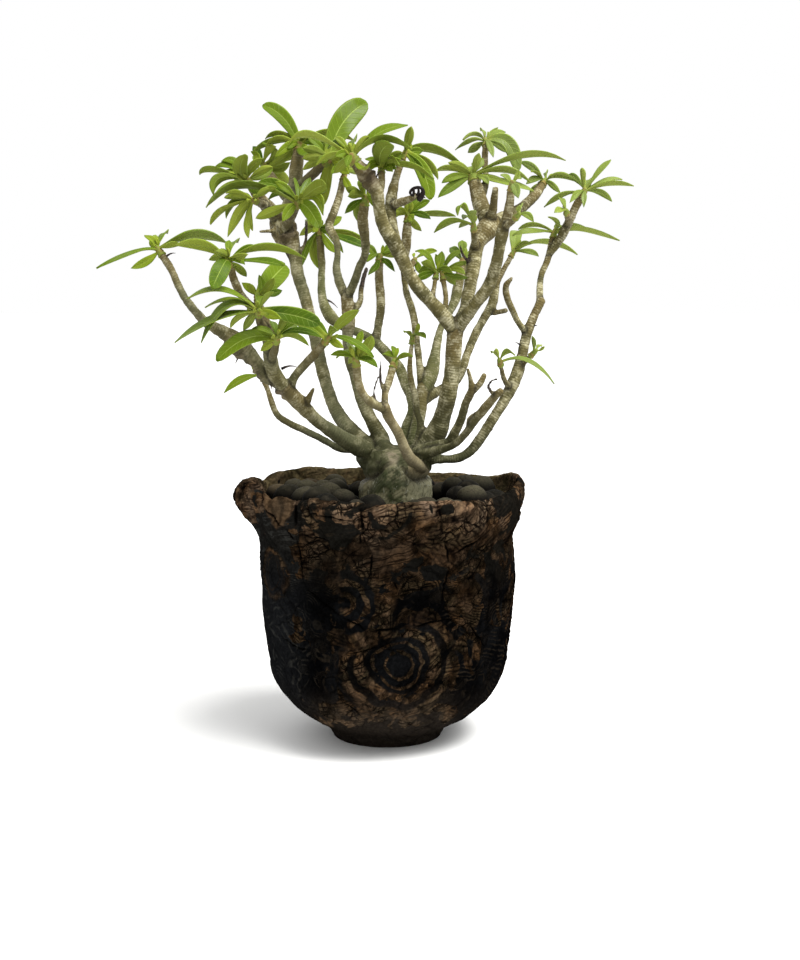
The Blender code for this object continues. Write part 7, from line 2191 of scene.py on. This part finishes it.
def dead_spurs(paths, material):
    """Short dark thorns: the dried stalks of fallen leaves and flowers."""
    verts, faces = [], []
    for run, x, z, tip_x, tip_z, radius in SPURS:
        depth = nearest_on_run(paths[run], x, z)[2]
        root, _ = sight(x, z, depth)
        tip, _ = sight(tip_x, tip_z, depth - SPUR_LEAN)
        bend = Vector((0.0, 0.0, SPUR_BEND * (tip - root).length))
        points = [root.lerp(tip, share) + bend * math.sin(math.pi * share) for share in SPUR_STEPS]
        radii = [radius * (1.15 - share) for share in SPUR_STEPS]
        join(verts, faces, tube_mesh(points, radii, SPUR_SIDES))
    piece = new_object("dead_spurs", verts, faces)
    face_outwards(piece)
    store(piece, "dead", [1.0] * len(verts))
    finish_piece(piece, material, "bark", "caudex_and_branches")


def make_camera():
    """The photograph's eye point, tilt and lens."""
    camera = link_new("camera", bpy.data.cameras.new("camera"))
    camera.location = EYE * METRES_PER_MM
    camera.rotation_euler = (math.pi / 2 - EYE_PITCH, 0.0, 0.0)
    camera.data.sensor_fit = "VERTICAL"
    camera.data.sensor_height = SENSOR_HEIGHT
    camera.data.lens = LENS
    camera.data.clip_start = CLIP_NEAR
    bpy.context.scene.camera = camera


def area_light(name, place, aim, size, power, colour):
    lamp = bpy.data.lights.new(name, "AREA")
    lamp.shape = "DISK"
    lamp.size = size
    lamp.energy = power
    lamp.color = colour
    light = link_new(name, lamp)
    light.location = place
    light.rotation_euler = (Vector(aim) - Vector(place)).to_track_quat("-Z", "Y").to_euler()


def make_studio():
    """A pale floor, an even white surround, a soft lamp from above and soft daylight."""
    bpy.ops.mesh.primitive_plane_add(size=FLOOR_SIZE)
    floor = bpy.context.object
    floor.name = "floor"
    floor.data.materials.append(floor_material())
    world = bpy.data.worlds.new("surround")
    bpy.context.scene.world = world
    world.use_nodes = True
    backdrop = world.node_tree.nodes["Background"]
    backdrop.inputs["Color"].default_value = rgb(1.0, 1.0, 1.0)
    backdrop.inputs["Strength"].default_value = 1.0
    area_light("top_panel", LAMP_PLACE, LAMP_AIM, LAMP_SIZE, LAMP_POWER, (1.0, 0.99, 0.97))
    sun = bpy.data.lights.new("soft_daylight", "SUN")
    sun.energy = DAYLIGHT
    sun.angle = DAYLIGHT_SPREAD
    daylight = link_new("soft_daylight", sun)
    daylight.rotation_euler = DAYLIGHT_TURN
    bpy.context.scene.view_settings.view_transform = "Standard"


def make_object_pieces(frame):
    """Every piece that stands for CAD nodes, and the growing medium's own material."""
    paths = trace_runs()
    finish_piece(fine_pot(), clay_material(), "marbled_clay", "pot")
    finish_piece(fine_balls(), ball_material(), "baked_clay", "clay_pebbles")
    bark = bark_material()
    finish_piece(fine_wood(paths), bark, "bark", "caudex_and_branches")
    dead_spurs(paths, bark)
    fine_rosettes(paths, leaf_material())
    dried_capsule(paths)
    soil = frame["nodes"]["substrate"]
    soil.data.materials.clear()
    soil.data.materials.append(soil_material())


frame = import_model()
make_camera()
make_studio()
make_object_pieces(frame)
